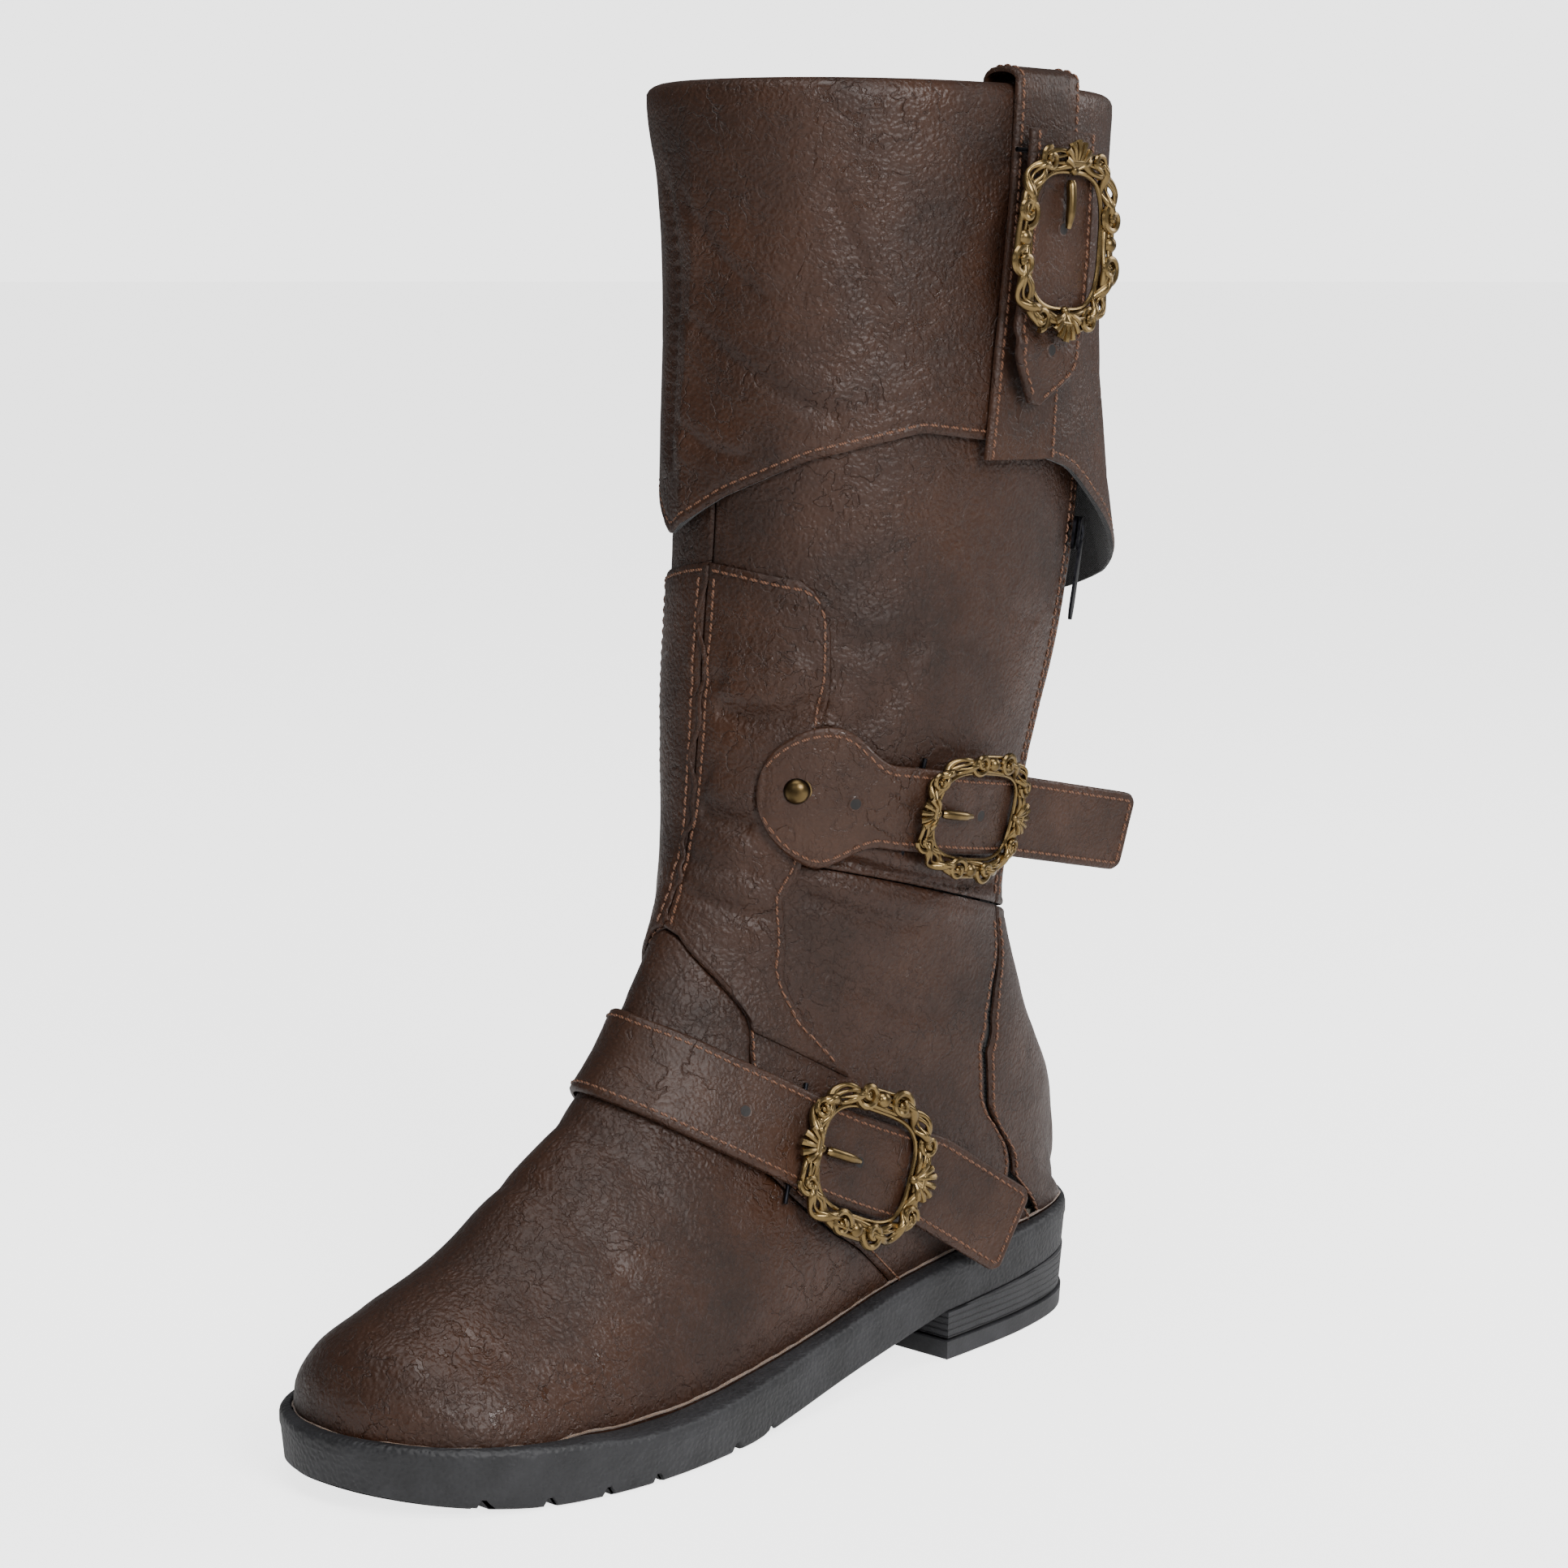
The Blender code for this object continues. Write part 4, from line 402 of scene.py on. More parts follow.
def leg_relief(place: Array, ring: Array) -> Array:
    """How far wear and shaping move the upper's leather outwards at places of the last."""
    points = last_point(place, ring)
    foot = np.clip((6.5 - np.asarray(ring, float)) / 4.0, 0, 1)
    total = 0.00040 * layered_noise(points, 0.034, 3, 3) * (1 - 0.55 * foot)
    patches = np.clip(noise(points, 0.030, 21) * 1.6 + 0.25, 0, 1)
    total = total - 0.00016 * patches * creases(points, 0.0075, 0.10, 31)
    total = total - 0.00010 * np.clip(noise(points, 0.022, 22) * 1.6, 0, 1) * creases(points, 0.0042, 0.12, 41)
    for fold in FOLDS:
        total = total + fold.relief(points)
    return np.maximum(total, CREASE_FLOOR)


# ---------------------------------------------------------------- finishes

def linear(hex_colour: str) -> tuple[float, float, float, float]:
    """Turns an sRGB hex colour to the linear values that a shader takes.

    Args:
        hex_colour: Six hex digits.

    Returns:
        Red, green, blue and 1.
    """
    values = [int(hex_colour[i:i + 2], 16) / 255 for i in (0, 2, 4)]
    r, g, b = (v / 12.92 if v <= 0.04045 else ((v + 0.055) / 1.055) ** 2.4 for v in values)
    return r, g, b, 1.0


def add_node(tree: bpy.types.NodeTree, kind: str, inputs: dict | None = None, **settings: object) -> bpy.types.Node:
    """Adds a node with its settings and its links.

    Args:
        tree: Where it goes.
        kind: The node's type.
        inputs: A value or another node's output for each input, by name or number.
        settings: The node's own settings.

    Returns:
        The node.
    """
    made = tree.nodes.new(kind)
    for name, value in settings.items():
        setattr(made, name, value)
    fill(tree, made, inputs or {})
    return made


def fill(tree: bpy.types.NodeTree, node: bpy.types.Node, inputs: dict) -> None:
    """Links or sets a node's inputs.

    Args:
        tree: Where the node is.
        node: The node.
        inputs: A value or another node's output for each input, by name or number.
    """
    for key, value in inputs.items():
        if isinstance(value, bpy.types.NodeSocket):
            tree.links.new(value, node.inputs[key])
        else:
            node.inputs[key].default_value = value


def own_place(tree: bpy.types.NodeTree) -> bpy.types.NodeSocket:
    """The shaded point in the object's own lengths."""
    return add_node(tree, "ShaderNodeTexCoord").outputs["Object"]


def clouds(tree: bpy.types.NodeTree, place: bpy.types.NodeSocket, scale: float, detail: float,
           **more: float) -> bpy.types.NodeSocket:
    """Soft noise at a place, with any of its other inputs by name."""
    return add_node(tree, "ShaderNodeTexNoise", {"Vector": place, "Scale": scale, "Detail": detail, **more}).outputs[0]


def relief_of(tree: bpy.types.NodeTree, height: bpy.types.NodeSocket, depth: float, strength: float = 1.0,
              **under: bpy.types.NodeSocket) -> bpy.types.NodeSocket:
    """The normal that a height gives, over any normal under it."""
    return add_node(tree, "ShaderNodeBump", {"Strength": strength, "Distance": depth, "Height": height,
                                             **under}).outputs[0]


def ramp(tree: bpy.types.NodeTree, value: bpy.types.NodeSocket,
         stops: Sequence[tuple[float, str]]) -> bpy.types.NodeSocket:
    """A colour read from a value between hex colour stops."""
    made = add_node(tree, "ShaderNodeValToRGB", {0: value})
    bar = made.color_ramp
    for at, _ in stops[2:]:
        bar.elements.new(at)
    for element, (at, colour) in zip(bar.elements, sorted(stops)):
        element.position = at
        element.color = linear(colour)
    return made.outputs[0]


def spread(tree: bpy.types.NodeTree, value: bpy.types.NodeSocket, low: float, high: float,
           to_low: float = 0.0, to_high: float = 1.0) -> bpy.types.NodeSocket:
    """A value's range stretched to another range and kept inside it."""
    keys = {0: value, 1: low, 2: high, 3: to_low, 4: to_high}
    return add_node(tree, "ShaderNodeMapRange", keys, clamp=True).outputs[0]


def combine(tree: bpy.types.NodeTree, kind: str, a: object, b: object) -> bpy.types.NodeSocket:
    """Two values put together by a named sum."""
    return add_node(tree, "ShaderNodeMath", {0: a, 1: b}, operation=kind).outputs[0]


@dataclass(frozen=True)
class Finish:
    """A material made from what the real one is.

    Attributes:
        title: The material's name.
        slot: The record's slot that it stands for. It is not used.
    """

    title: str
    slot: str

    def dress(self, tree: bpy.types.NodeTree, shader: bpy.types.Node) -> None:
        """Adds the finish's own nodes."""
        raise NotImplementedError

    def made(self) -> bpy.types.Material:
        """The material, built when it is first asked for."""
        if self.title in bpy.data.materials:
            return bpy.data.materials[self.title]
        material = bpy.data.materials.new(self.title)
        material.use_nodes = True
        self.dress(material.node_tree, material.node_tree.nodes["Principled BSDF"])
        return material


@dataclass(frozen=True)
class CoatedLeather(Finish):
    """Polyurethane-coated leather with an embossed pebble grain, crumpled and finished by hand-rubbing.

    The grain breaks up the gloss. The colour varies in random patches and carries painted light: painted shade darkens
    the grain's hollows and the creases, and a painted highlight makes the pebbles' tops lighter and warmer.
    """

    # The ramp's ends: the dark one is reached by random patches and by painted shade in the grain's hollows and the
    # creases; the lightest is reached by random patches and by a painted highlight on the pebbles' tops.
    dark: str = "1c100a"
    body: str = "352015"
    rubbed: str = "472d1f"
    grain: float = 1.15  # mm across a pebble
    grain_depth: float = 0.00034
    crease_depth: float = 0.00020
    crease: float = 7.0  # mm between creases
    rough: tuple[float, float] = (0.34, 0.56)

    def dress(self, tree: bpy.types.NodeTree, shader: bpy.types.Node) -> None:
        """Adds grain, creases and a colour of random patches with painted shade and a painted highlight."""
        place = own_place(tree)
        wander = add_node(tree, "ShaderNodeTexNoise", {"Vector": place, "Scale": 110.0, "Detail": 3.0})
        warp = add_node(tree, "ShaderNodeVectorMath", {0: wander.outputs["Color"], 1: (0.5, 0.5, 0.5)},
                        operation="SUBTRACT").outputs[0]
        warp = add_node(tree, "ShaderNodeVectorMath", {0: warp, "Scale": 0.004}, operation="SCALE").outputs[0]
        bent = add_node(tree, "ShaderNodeVectorMath", {0: place, 1: warp}, operation="ADD").outputs[0]
        patch_mask = clouds(tree, place, 46.0, 2.0)
        creased = None
        for size, low, high, amount in ((self.crease, 0.40, 0.60, 1.0), (self.crease * 0.42, 0.62, 0.44, 0.55)):
            field_ = clouds(tree, bent, 1000 / size, 4.0, Distortion=0.25)
            line = combine(tree, "ABSOLUTE", combine(tree, "SUBTRACT", field_, 0.5), 0.0)
            line = spread(tree, line, 0.0, 0.022, amount, 0.0)
            line = combine(tree, "MULTIPLY", line, spread(tree, patch_mask, low, high))
            creased = line if creased is None else combine(tree, "MAXIMUM", creased, line)
        pebble = add_node(tree, "ShaderNodeTexVoronoi", {"Vector": bent, "Scale": 1000 / self.grain},
                          feature="SMOOTH_F1").outputs["Distance"]
        pores, islands = clouds(tree, place, 2600.0, 2.0), clouds(tree, bent, 210.0, 2.0)
        zone = clouds(tree, place, 21.0, 1.0)
        flat = combine(tree, "MULTIPLY", spread(tree, islands, 0.60, 0.63), spread(tree, zone, 0.56, 0.62))
        height = combine(tree, "MULTIPLY", combine(tree, "SUBTRACT", 1.0, pebble), combine(tree, "SUBTRACT", 1.0, flat))
        height = combine(tree, "ADD", height, combine(tree, "MULTIPLY", pores, 0.22))
        deep = relief_of(tree, combine(tree, "SUBTRACT", 1.0, creased), self.crease_depth,
                         Normal=relief_of(tree, height, self.grain_depth))
        cloud = clouds(tree, place, 24.0, 5.0, Roughness=0.62)
        # Painted light: the colour darkens away from each pebble's middle (painted shade in the grain's hollows,
        # painted highlight on its tops) and in the creases (painted shade), over random patches.
        tone = combine(tree, "SUBTRACT", combine(tree, "ADD", cloud, combine(tree, "MULTIPLY", pebble, -0.10)),
                       combine(tree, "MULTIPLY", creased, 0.10))
        colour = ramp(tree, tone, ((0.16, self.dark), (0.74, self.rubbed), (0.44, self.body)))
        gloss = combine(tree, "SUBTRACT", spread(tree, cloud, 0.3, 0.7, self.rough[1], self.rough[0]),
                        combine(tree, "MULTIPLY", flat, 0.16))
        fill(tree, shader, {"Base Color": colour, "Roughness": gloss, "Normal": deep, "IOR": 1.47,
                            "Specular IOR Level": 0.42})


@dataclass(frozen=True)
class MouldedRubber(Finish):
    """Injection-moulded black rubber: satin, with a fine moulded texture and random lighter patches."""

    body: str = "1b1b1d"
    worn: str = "38383b"
    texture: float = 0.9  # mm across a grain of the mould's texture
    depth: float = 0.00008
    ribs: float = 0.0  # mm between the lines of a stacked heel, 0 for none
    rough: float = 0.55

    def dress(self, tree: bpy.types.NodeTree, shader: bpy.types.Node) -> None:
        """Adds the mould's texture and, on a heel, its stack lines, with painted shade darkening their grooves."""
        place = own_place(tree)
        grain = add_node(tree, "ShaderNodeTexVoronoi", {"Vector": place, "Scale": 1000 / self.texture},
                         feature="SMOOTH_F1").outputs["Distance"]
        soft = clouds(tree, place, 60.0, 6.0, Roughness=0.6)
        height = combine(tree, "ADD", grain, combine(tree, "MULTIPLY", soft, 0.5))
        tone = soft
        bump = relief_of(tree, height, self.depth)
        if self.ribs:
            z = add_node(tree, "ShaderNodeSeparateXYZ", {0: place}).outputs[2]
            wave = combine(tree, "ADD", combine(tree, "MULTIPLY", z, 1000 / self.ribs),
                           combine(tree, "MULTIPLY", soft, 0.5))
            wave = combine(tree, "ABSOLUTE", combine(tree, "SUBTRACT", combine(tree, "FRACT", wave, 0.0), 0.5), 0.0)
            line = spread(tree, wave, 0.0, 0.22)
            bump = relief_of(tree, line, 0.00035, Normal=bump)
            # Painted shade: the colour darkens in each stack line's groove, over random patches.
            tone = combine(tree, "ADD", combine(tree, "MULTIPLY", soft, 0.7), combine(tree, "MULTIPLY", line, 0.28))
        fill(tree, shader, {"Base Color": ramp(tree, tone, ((0.32, self.body), (0.85, self.worn))), "Normal": bump,
                            "Roughness": self.rough, "IOR": 1.52})


@dataclass(frozen=True)
class CastMetal(Finish):
    """Zinc casting plated in antique brass: bright warm rubbed tops over near-black recesses."""

    recess: str = "0d0a07"
    body: str = "3a2e1d"
    bright: str = "8a744e"
    rough: tuple[float, float] = (0.26, 0.48)

    def dress(self, tree: bpy.types.NodeTree, shader: bpy.types.Node) -> None:
        """Adds the plating, dark where the casting is hollow."""
        place = own_place(tree)
        hollow = add_node(tree, "ShaderNodeNewGeometry").outputs["Pointiness"]
        grit, patina = clouds(tree, place, 900.0, 4.0), clouds(tree, place, 130.0, 4.0)
        tone = combine(tree, "ADD", spread(tree, hollow, 0.44, 0.58),
                       combine(tree, "MULTIPLY", combine(tree, "SUBTRACT", patina, 0.5), 0.55))
        colour = ramp(tree, tone, ((0.22, self.recess), (0.86, self.bright), (0.50, self.body)))
        fill(tree, shader, {"Base Color": colour, "Normal": relief_of(tree, grit, 0.00008, 0.6), "Metallic": 1.0,
                            "Roughness": spread(tree, tone, 0.2, 0.9, self.rough[1], self.rough[0])})


@dataclass(frozen=True)
class Textile(Finish):
    """A woven or knitted cloth: matt, with threads that cross."""

    dark: str = "0b0b0c"
    light: str = "1c1c1e"
    thread: float = 0.7  # mm between threads, coarser than the real cloth so that it shows
    depth: float = 0.00015
    sheen: float = 0.25

    def dress(self, tree: bpy.types.NodeTree, shader: bpy.types.Node) -> None:
        """Adds crossing threads and a soft nap, with painted shade where the weave sinks between the threads."""
        place = own_place(tree)
        parts = add_node(tree, "ShaderNodeSeparateXYZ", {0: place})
        rate = 2 * math.pi * 1000 / self.thread
        round_way = combine(tree, "ADD", parts.outputs[0], parts.outputs[1])
        warp = combine(tree, "SINE", combine(tree, "MULTIPLY", round_way, rate), 0.0)
        weft = combine(tree, "SINE", combine(tree, "MULTIPLY", parts.outputs[2], rate), 0.0)
        weave = combine(tree, "MULTIPLY", warp, weft)
        height = combine(tree, "ADD", combine(tree, "MULTIPLY", weave, 0.5), clouds(tree, place, 700.0, 4.0))
        # Painted shade: the colour follows the height, darker where the weave sinks between the threads and lighter on
        # their tops, over random mottle.
        fill(tree, shader, {"Base Color": ramp(tree, height, ((0.1, self.dark), (0.95, self.light))),
                            "Normal": relief_of(tree, height, self.depth, 0.8), "Roughness": 0.92,
                            "Sheen Weight": self.sheen})


@dataclass(frozen=True)
class TwistedThread(Finish):
    """Bonded nylon thread: a twisted cord with a dull shine."""

    dark: str = "38241a"
    light: str = "80573f"
    twist: float = 0.9  # mm per turn

    def dress(self, tree: bpy.types.NodeTree, shader: bpy.types.Node) -> None:
        """Adds the twist, with painted shade in its grooves and a painted highlight on its ridges."""
        place = own_place(tree)
        wave = add_node(tree, "ShaderNodeTexWave", {"Vector": place, "Scale": 1000 / self.twist / 2,
                                                    "Distortion": 1.0, "Detail": 1.0}, bands_direction="DIAGONAL")
        twist = wave.outputs["Fac"]
        # Painted shade and highlight: the colour follows the twist's height, dark in its grooves and light on its
        # ridges.
        fill(tree, shader, {"Base Color": ramp(tree, twist, ((0.0, self.dark), (0.8, self.light))),
                            "Normal": relief_of(tree, twist, 0.0001, 0.6), "Roughness": 0.55})


@dataclass(frozen=True)
class Plain(Finish):
    """A hidden or small part's finish: one material with a mottled grain."""

    dark: str = "7c6a52"
    light: str = "a08a6c"
    grain: float = 3.0  # mm
    rough: float = 0.7
    metal: float = 0.0

    def dress(self, tree: bpy.types.NodeTree, shader: bpy.types.Node) -> None:
        """Adds the mottle."""
        place = own_place(tree)
        mottle = clouds(tree, place, 1000 / self.grain, 6.0)
        fill(tree, shader, {"Base Color": ramp(tree, mottle, ((0.3, self.dark), (0.7, self.light))),
                            "Normal": relief_of(tree, mottle, 0.0001, 0.4), "Roughness": self.rough,
                            "Metallic": self.metal})


UPPER_LEATHER = CoatedLeather("coated_leather_pebbled", "leather")
CUFF_LEATHER = CoatedLeather("coated_leather_cuff", "leather", crease=8.5, crease_depth=0.00022, rough=(0.34, 0.52))
STRAP_LEATHER = CoatedLeather("coated_leather_strap", "strap_leather", body="392317", rubbed="4c3224", grain=1.0,
                              grain_depth=0.00022, crease_depth=0.00020, crease=10.0, rough=(0.36, 0.54))
# Painted shade: the near-black dish laid in each punched hole where its depth would be.
HOLE_SHADE = Plain("painted_leather_edge", "strap_leather", "0c0908", "1c1412", 1.5, 0.55)
TAN_THREAD = TwistedThread("bonded_thread_tan", "strap_leather")
BLACK_LINING = Textile("brushed_knit_lining", "lining")
SIDEWALL_RUBBER = MouldedRubber("moulded_rubber_textured", "rubber", body="161618", worn="353538", texture=1.25,
                                depth=0.00042, rough=0.55)
HEEL_RUBBER = MouldedRubber("moulded_rubber_stacked", "rubber", body="19191b", worn="3b3b3e", ribs=2.1, rough=0.58)
LIFT_RUBBER = MouldedRubber("moulded_rubber_top_lift", "rubber", body="232325", worn="434347", rough=0.55)
BRASS = CastMetal("antique_brass_cast", "antique_brass")
DARK_STEEL = Plain("blackened_steel", "steel", "17171a", "2c2c30", 2.0, 0.4, 1.0)
SPRING_STEEL = Plain("tempered_steel", "steel", "6f6f72", "8f8f92", 2.0, 0.35, 1.0)
ZIP_CLOTH = Textile("woven_zip_tape", "zip_tape", "060606", "161617", 0.6)
ZIP_NYLON = Plain("nylon_coil", "zip_coil", "080808", "1a1a1b", 1.0, 0.38)
FIBRE_BOARD = Plain("fibre_board", "board")
STIFFENER = Plain("thermoplastic_stiffener", "stiffener", "8b8478", "b3ab9d")
FUZZ = Textile("frayed_tan_backing", "leather", "4a3324", "a07c5c", 0.5, 0.0003, 0.6)


# ---------------------------------------------------------------- meshes

def grid_faces(rows: int, columns: int, wrap: bool = False, start: int = 0) -> list[tuple[int, ...]]:
    """The faces of a grid of points.

    Args:
        rows: How many rows.
        columns: How many points a row has.
        wrap: Whether the last column joins the first.
        start: The number of its first point.

    Returns:
        Four-sided faces.
    """
    last = columns if wrap else columns - 1
    return [(start + r * columns + c, start + r * columns + (c + 1) % columns,
             start + (r + 1) * columns + (c + 1) % columns, start + (r + 1) * columns + c)
            for r in range(rows - 1) for c in range(last)]


@dataclass
class Piece:
    """Points and faces gathered for one object, with a finish number for each face.

    Attributes:
        points: Lists of points.
        faces: The faces.
        finish: Each face's material number.
        count: How many points there are.
    """

    points: list[Array] = field(default_factory=list)
    faces: list[tuple[int, ...]] = field(default_factory=list)
    finish: list[int] = field(default_factory=list)
    count: int = 0

    def add(self, points: Array, faces: Sequence[tuple[int, ...]], finish: int = 0) -> None:
        """Adds a mesh."""
        points = np.asarray(points, float).reshape(-1, 3)
        self.points.append(points)
        self.faces += [tuple(i + self.count for i in face) for face in faces]
        self.finish += [finish] * len(faces)
        self.count += len(points)

    def add_sheet(self, inner: Array, outer: Array, wrap: bool = False, finish: int = 0) -> None:
        """Adds a sheet between two grids, closed round its edges."""
        rows, columns = outer.shape[:2]
        half = rows * columns
        faces = [face[::-1] for face in grid_faces(rows, columns, wrap)]
        faces += grid_faces(rows, columns, wrap, half)
        last = columns if wrap else columns - 1
        for r in (0, rows - 1):
            for c in range(last):
                a, b = r * columns + c, r * columns + (c + 1) % columns
                faces.append((a, b, half + b, half + a))
        if not wrap:
            for c in (0, columns - 1):
                for r in range(rows - 1):
                    a, b = r * columns + c, (r + 1) * columns + c
                    faces.append((a, half + a, half + b, b))
        self.add(np.concatenate([inner.reshape(-1, 3), outer.reshape(-1, 3)]), faces, finish)

    def add_tube(self, line: Array, radius: float | Array, sides: int = 8, closed: bool = False, finish: int = 0,
                 flat: float = 1.0, out: Array | None = None) -> None:
        """Adds a tube along a line.

        Args:
            line: Its middle line.
            radius: Its radius, or one for each point.
            sides: How many sides it has.
            closed: Whether its end joins its start.
            finish: Material number.
            flat: Its thickness along out as a share of its width.
            out: The direction that counts as its thickness, one or one for each point.
        """
        line = np.asarray(line, float)
        if closed:
            ahead = np.roll(line, -1, axis=0) - np.roll(line, 1, axis=0)
        else:
            ahead = np.gradient(line, axis=0)
        ahead = unit(ahead)
        out = np.broadcast_to(np.array([0.0, 0.0, 1.0]) if out is None else np.asarray(out, float), line.shape)
        lift = unit(out - ahead * np.sum(out * ahead, axis=1, keepdims=True))
        side = np.cross(ahead, lift)
        radius = np.broadcast_to(np.asarray(radius, float), (len(line),))[:, None, None]
        turn = np.linspace(0, 2 * math.pi, sides, endpoint=False)[None, :, None]
        grid = line[:, None] + radius * (np.cos(turn) * side[:, None] + np.sin(turn) * lift[:, None] * flat)
        rows = np.concatenate([grid, grid[:1]]) if closed else grid
        if closed:
            faces = [tuple(i % (len(line) * sides) for i in face) for face in grid_faces(len(rows), sides, True)]
        else:
            faces = grid_faces(len(line), sides, True)
            faces += [tuple(range(sides))[::-1], tuple(range((len(line) - 1) * sides, len(line) * sides))]
        self.add(grid, faces, finish)

    def add_stitches(self, line: Array, normals: Array, pitch: float = STITCH_PITCH, radius: float = 0.00042,
                     finish: int = 0, sink: float = 0.0) -> None:
        """Adds a row of stitches along a line on a surface.

        Args:
            line: The row's points.
            normals: The outward direction at each.
            pitch: From one needle hole to the next.
            radius: Of the thread.
            finish: Material number.
            sink: How far into the surface the thread's middle is.
        """
        length = travelled(line)
        count = max(1, int(length[-1] / pitch))
        step = length[-1] / count
        share = np.array([0.08, 0.2, 0.5, 0.8, 0.92])
        high = np.array([-0.9, 0.15, 0.55, 0.15, -0.9]) * radius
        thick = np.array([0.55, 0.9, 1.0, 0.9, 0.55]) * radius
        for i in range(count):
            at = (i + share) * step
            middle, out = read_line(at, length, line), unit(read_line(at, length, normals))
            self.add_tube(middle + out * (high - sink)[:, None], thick, 6, finish=finish, out=out)

    def make(self, name: str, finishes: Sequence[Finish], body: str | None = "boot", nodes: Sequence[str] = (),
             sharp: float = 42.0) -> bpy.types.Object:
        """Makes the object.

        Args:
            name: The object's name.
            finishes: Its materials, in the order of the numbers.
            body: The body it rides on, or nothing when it is joined to two.
            nodes: The frame's nodes that it stands for.
            sharp: Edges steeper than this many degrees stay sharp.

        Returns:
            The object.
        """
        mesh = bpy.data.meshes.new(name)
        mesh.from_pydata(np.concatenate(self.points).tolist(), [], self.faces)
        mesh.polygons.foreach_set("material_index", self.finish)
        work = bmesh.new()
        work.from_mesh(mesh)
        bmesh.ops.recalc_face_normals(work, faces=work.faces)
        work.to_mesh(mesh)
        work.free()
        mesh.shade_smooth()
        mesh.set_sharp_from_angle(angle=math.radians(sharp))
        for finish in finishes:
            mesh.materials.append(finish.made())
        made = bpy.data.objects.new(name, mesh)
        bpy.context.scene.collection.objects.link(made)
        if body:
            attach(made, body)
        if nodes:
            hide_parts(*nodes)
        LOG.info("made %s with %d faces", name, len(self.faces))
        return made


def shares(length: float, step: float, edge: Sequence[float] = (0.0004, 0.0009, 0.0014, 0.0020, 0.0028)) -> Array:
    """Shares from 0 to 1 along a side, close together near both ends."""
    ends = np.array([0.0, *edge]) / length
    middle = np.linspace(ends[-1], 1 - ends[-1], max(3, int(length * (1 - 2 * ends[-1]) / step)))
    return np.unique(np.concatenate([ends, middle, 1 - ends]))


def patch(left: Edge, right: Edge, bottom: Edge, top: Edge, step: float = 0.0012) -> tuple[Array, Array]:
    """Places and rings of a four-sided patch of the last.

    Args:
        left: Its left side, as rings and places.
        right: Its right side, the same way.
        bottom: Its lower side, as places and rings.
        top: Its upper side.
        step: The size of its cells.

    Returns:
        Grids of places and rings, rows going up.
    """
    sides = [np.array(edge, float) for edge in (left, right, bottom, top)]
    left, right, bottom, top = sides
    high = max(np.linalg.norm(shell(e[-1, 1], e[-1, 0]) - shell(e[0, 1], e[0, 0])) for e in (left, right))
    wide = max(np.linalg.norm(np.diff(shell(*curve_through(e, 30).T), axis=0), axis=1).sum() for e in (bottom, top))
    a, b = shares(wide, step), shares(high, step)

    def side(edge: Array) -> Array:
        """A side's places and rings."""
        ring = edge[0, 0] + (edge[-1, 0] - edge[0, 0]) * b
        return np.stack([np.interp(ring, edge[:, 0], edge[:, 1]), ring], -1)

    def end(edge: Array) -> Array:
        """An end's places and rings."""
        place = edge[0, 0] + (edge[-1, 0] - edge[0, 0]) * a
        return np.stack([place, np.interp(place, edge[:, 0], edge[:, 1])], -1)

    one, two, low, up = side(left), side(right), end(bottom), end(top)
    a, b = a[None, :, None], b[:, None, None]
    grid = (one[:, None] * (1 - a) + two[:, None] * a + low[None] * (1 - b) + up[None] * b
            - (low[0] * (1 - a) * (1 - b) + low[-1] * a * (1 - b) + up[0] * (1 - a) * b + up[-1] * a * b))
    return grid[..., 0], grid[..., 1]


def clip_pairs(pairs: Edge, low: float, high: float) -> Edge:
    """The part of a curve whose first value lies between two values, ends included."""
    array = np.array(sorted(pairs))
    inside = [tuple(p) for p in array if low < p[0] < high]
    ends = [(v, float(np.interp(v, array[:, 0], array[:, 1]))) for v in (low, high)]
    return tuple([ends[0]] + inside + [ends[1]])


def shifted(pairs: Edge, second: float) -> Edge:
    """The pairs with their second value moved."""
    return tuple((a, b + second) for a, b in pairs)


def edge_gap(points: Array) -> Array:
    """How far each point of a grid is from the grid's nearest side."""
    along = np.linalg.norm(np.diff(points, axis=1), axis=2)
    up = np.linalg.norm(np.diff(points, axis=0), axis=2)
    from_left = np.concatenate([np.zeros((len(points), 1)), np.cumsum(along, axis=1)], axis=1)
    from_low = np.concatenate([np.zeros((1, points.shape[1])), np.cumsum(up, axis=0)], axis=0)
    return np.minimum(np.minimum(from_left, from_left[:, -1:] - from_left),
                      np.minimum(from_low, from_low[-1:] - from_low))


def beside(places: Array, rings: Array, sideways: Array | float, out: Array | float) -> Array:
    """Points to the back of a line on the last by a distance, still on it."""
    step = 0.002
    pace = np.linalg.norm(last_point(places + step, rings) - last_point(places, rings), axis=-1) / step
    return shell(places + sideways / pace, rings, out)


def travelled(line: Array) -> Array:
    """The distance along a line at each of its points."""
    return np.concatenate([[0], np.cumsum(np.linalg.norm(np.diff(line, axis=0), axis=1))])


def read_line(at: float | Array, length: Array, line: Array) -> Array:
    """The points of a line at distances along it."""
    return np.stack([np.interp(at, length, line[:, k]) for k in range(3)], -1)


def box_middle(node: str) -> Array:
    """The middle of one of the frame's nodes."""
    low, high = (np.array(v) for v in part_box(node))
    return (low + high) / 2


def eased(line: Array, times: int) -> Array:
    """A closed line or row of values with its bends softened."""
    for _ in range(times):
        line = line * 0.5 + (np.roll(line, 1, axis=0) + np.roll(line, -1, axis=0)) * 0.25
    return line


def resample(points: Array, step: float) -> tuple[Array, Array]:
    """A line's points spread evenly, with their distances along it."""
    points = np.asarray(points, float)
    length = travelled(points)
    at = np.linspace(0, length[-1], max(2, int(round(length[-1] / step)) + 1))
    return read_line(at, length, points), at


# ---------------------------------------------------------------- upper

SEAM = 0.010  # half a seam's gap, in rings
SEAM_ROUND = 0.0014
ZIP_ROUND = 0.0060  # half the zip's opening, round the ring


class Side(Enum):
    """The two sides of the foot."""

    OUTER = 1
    INNER = -1


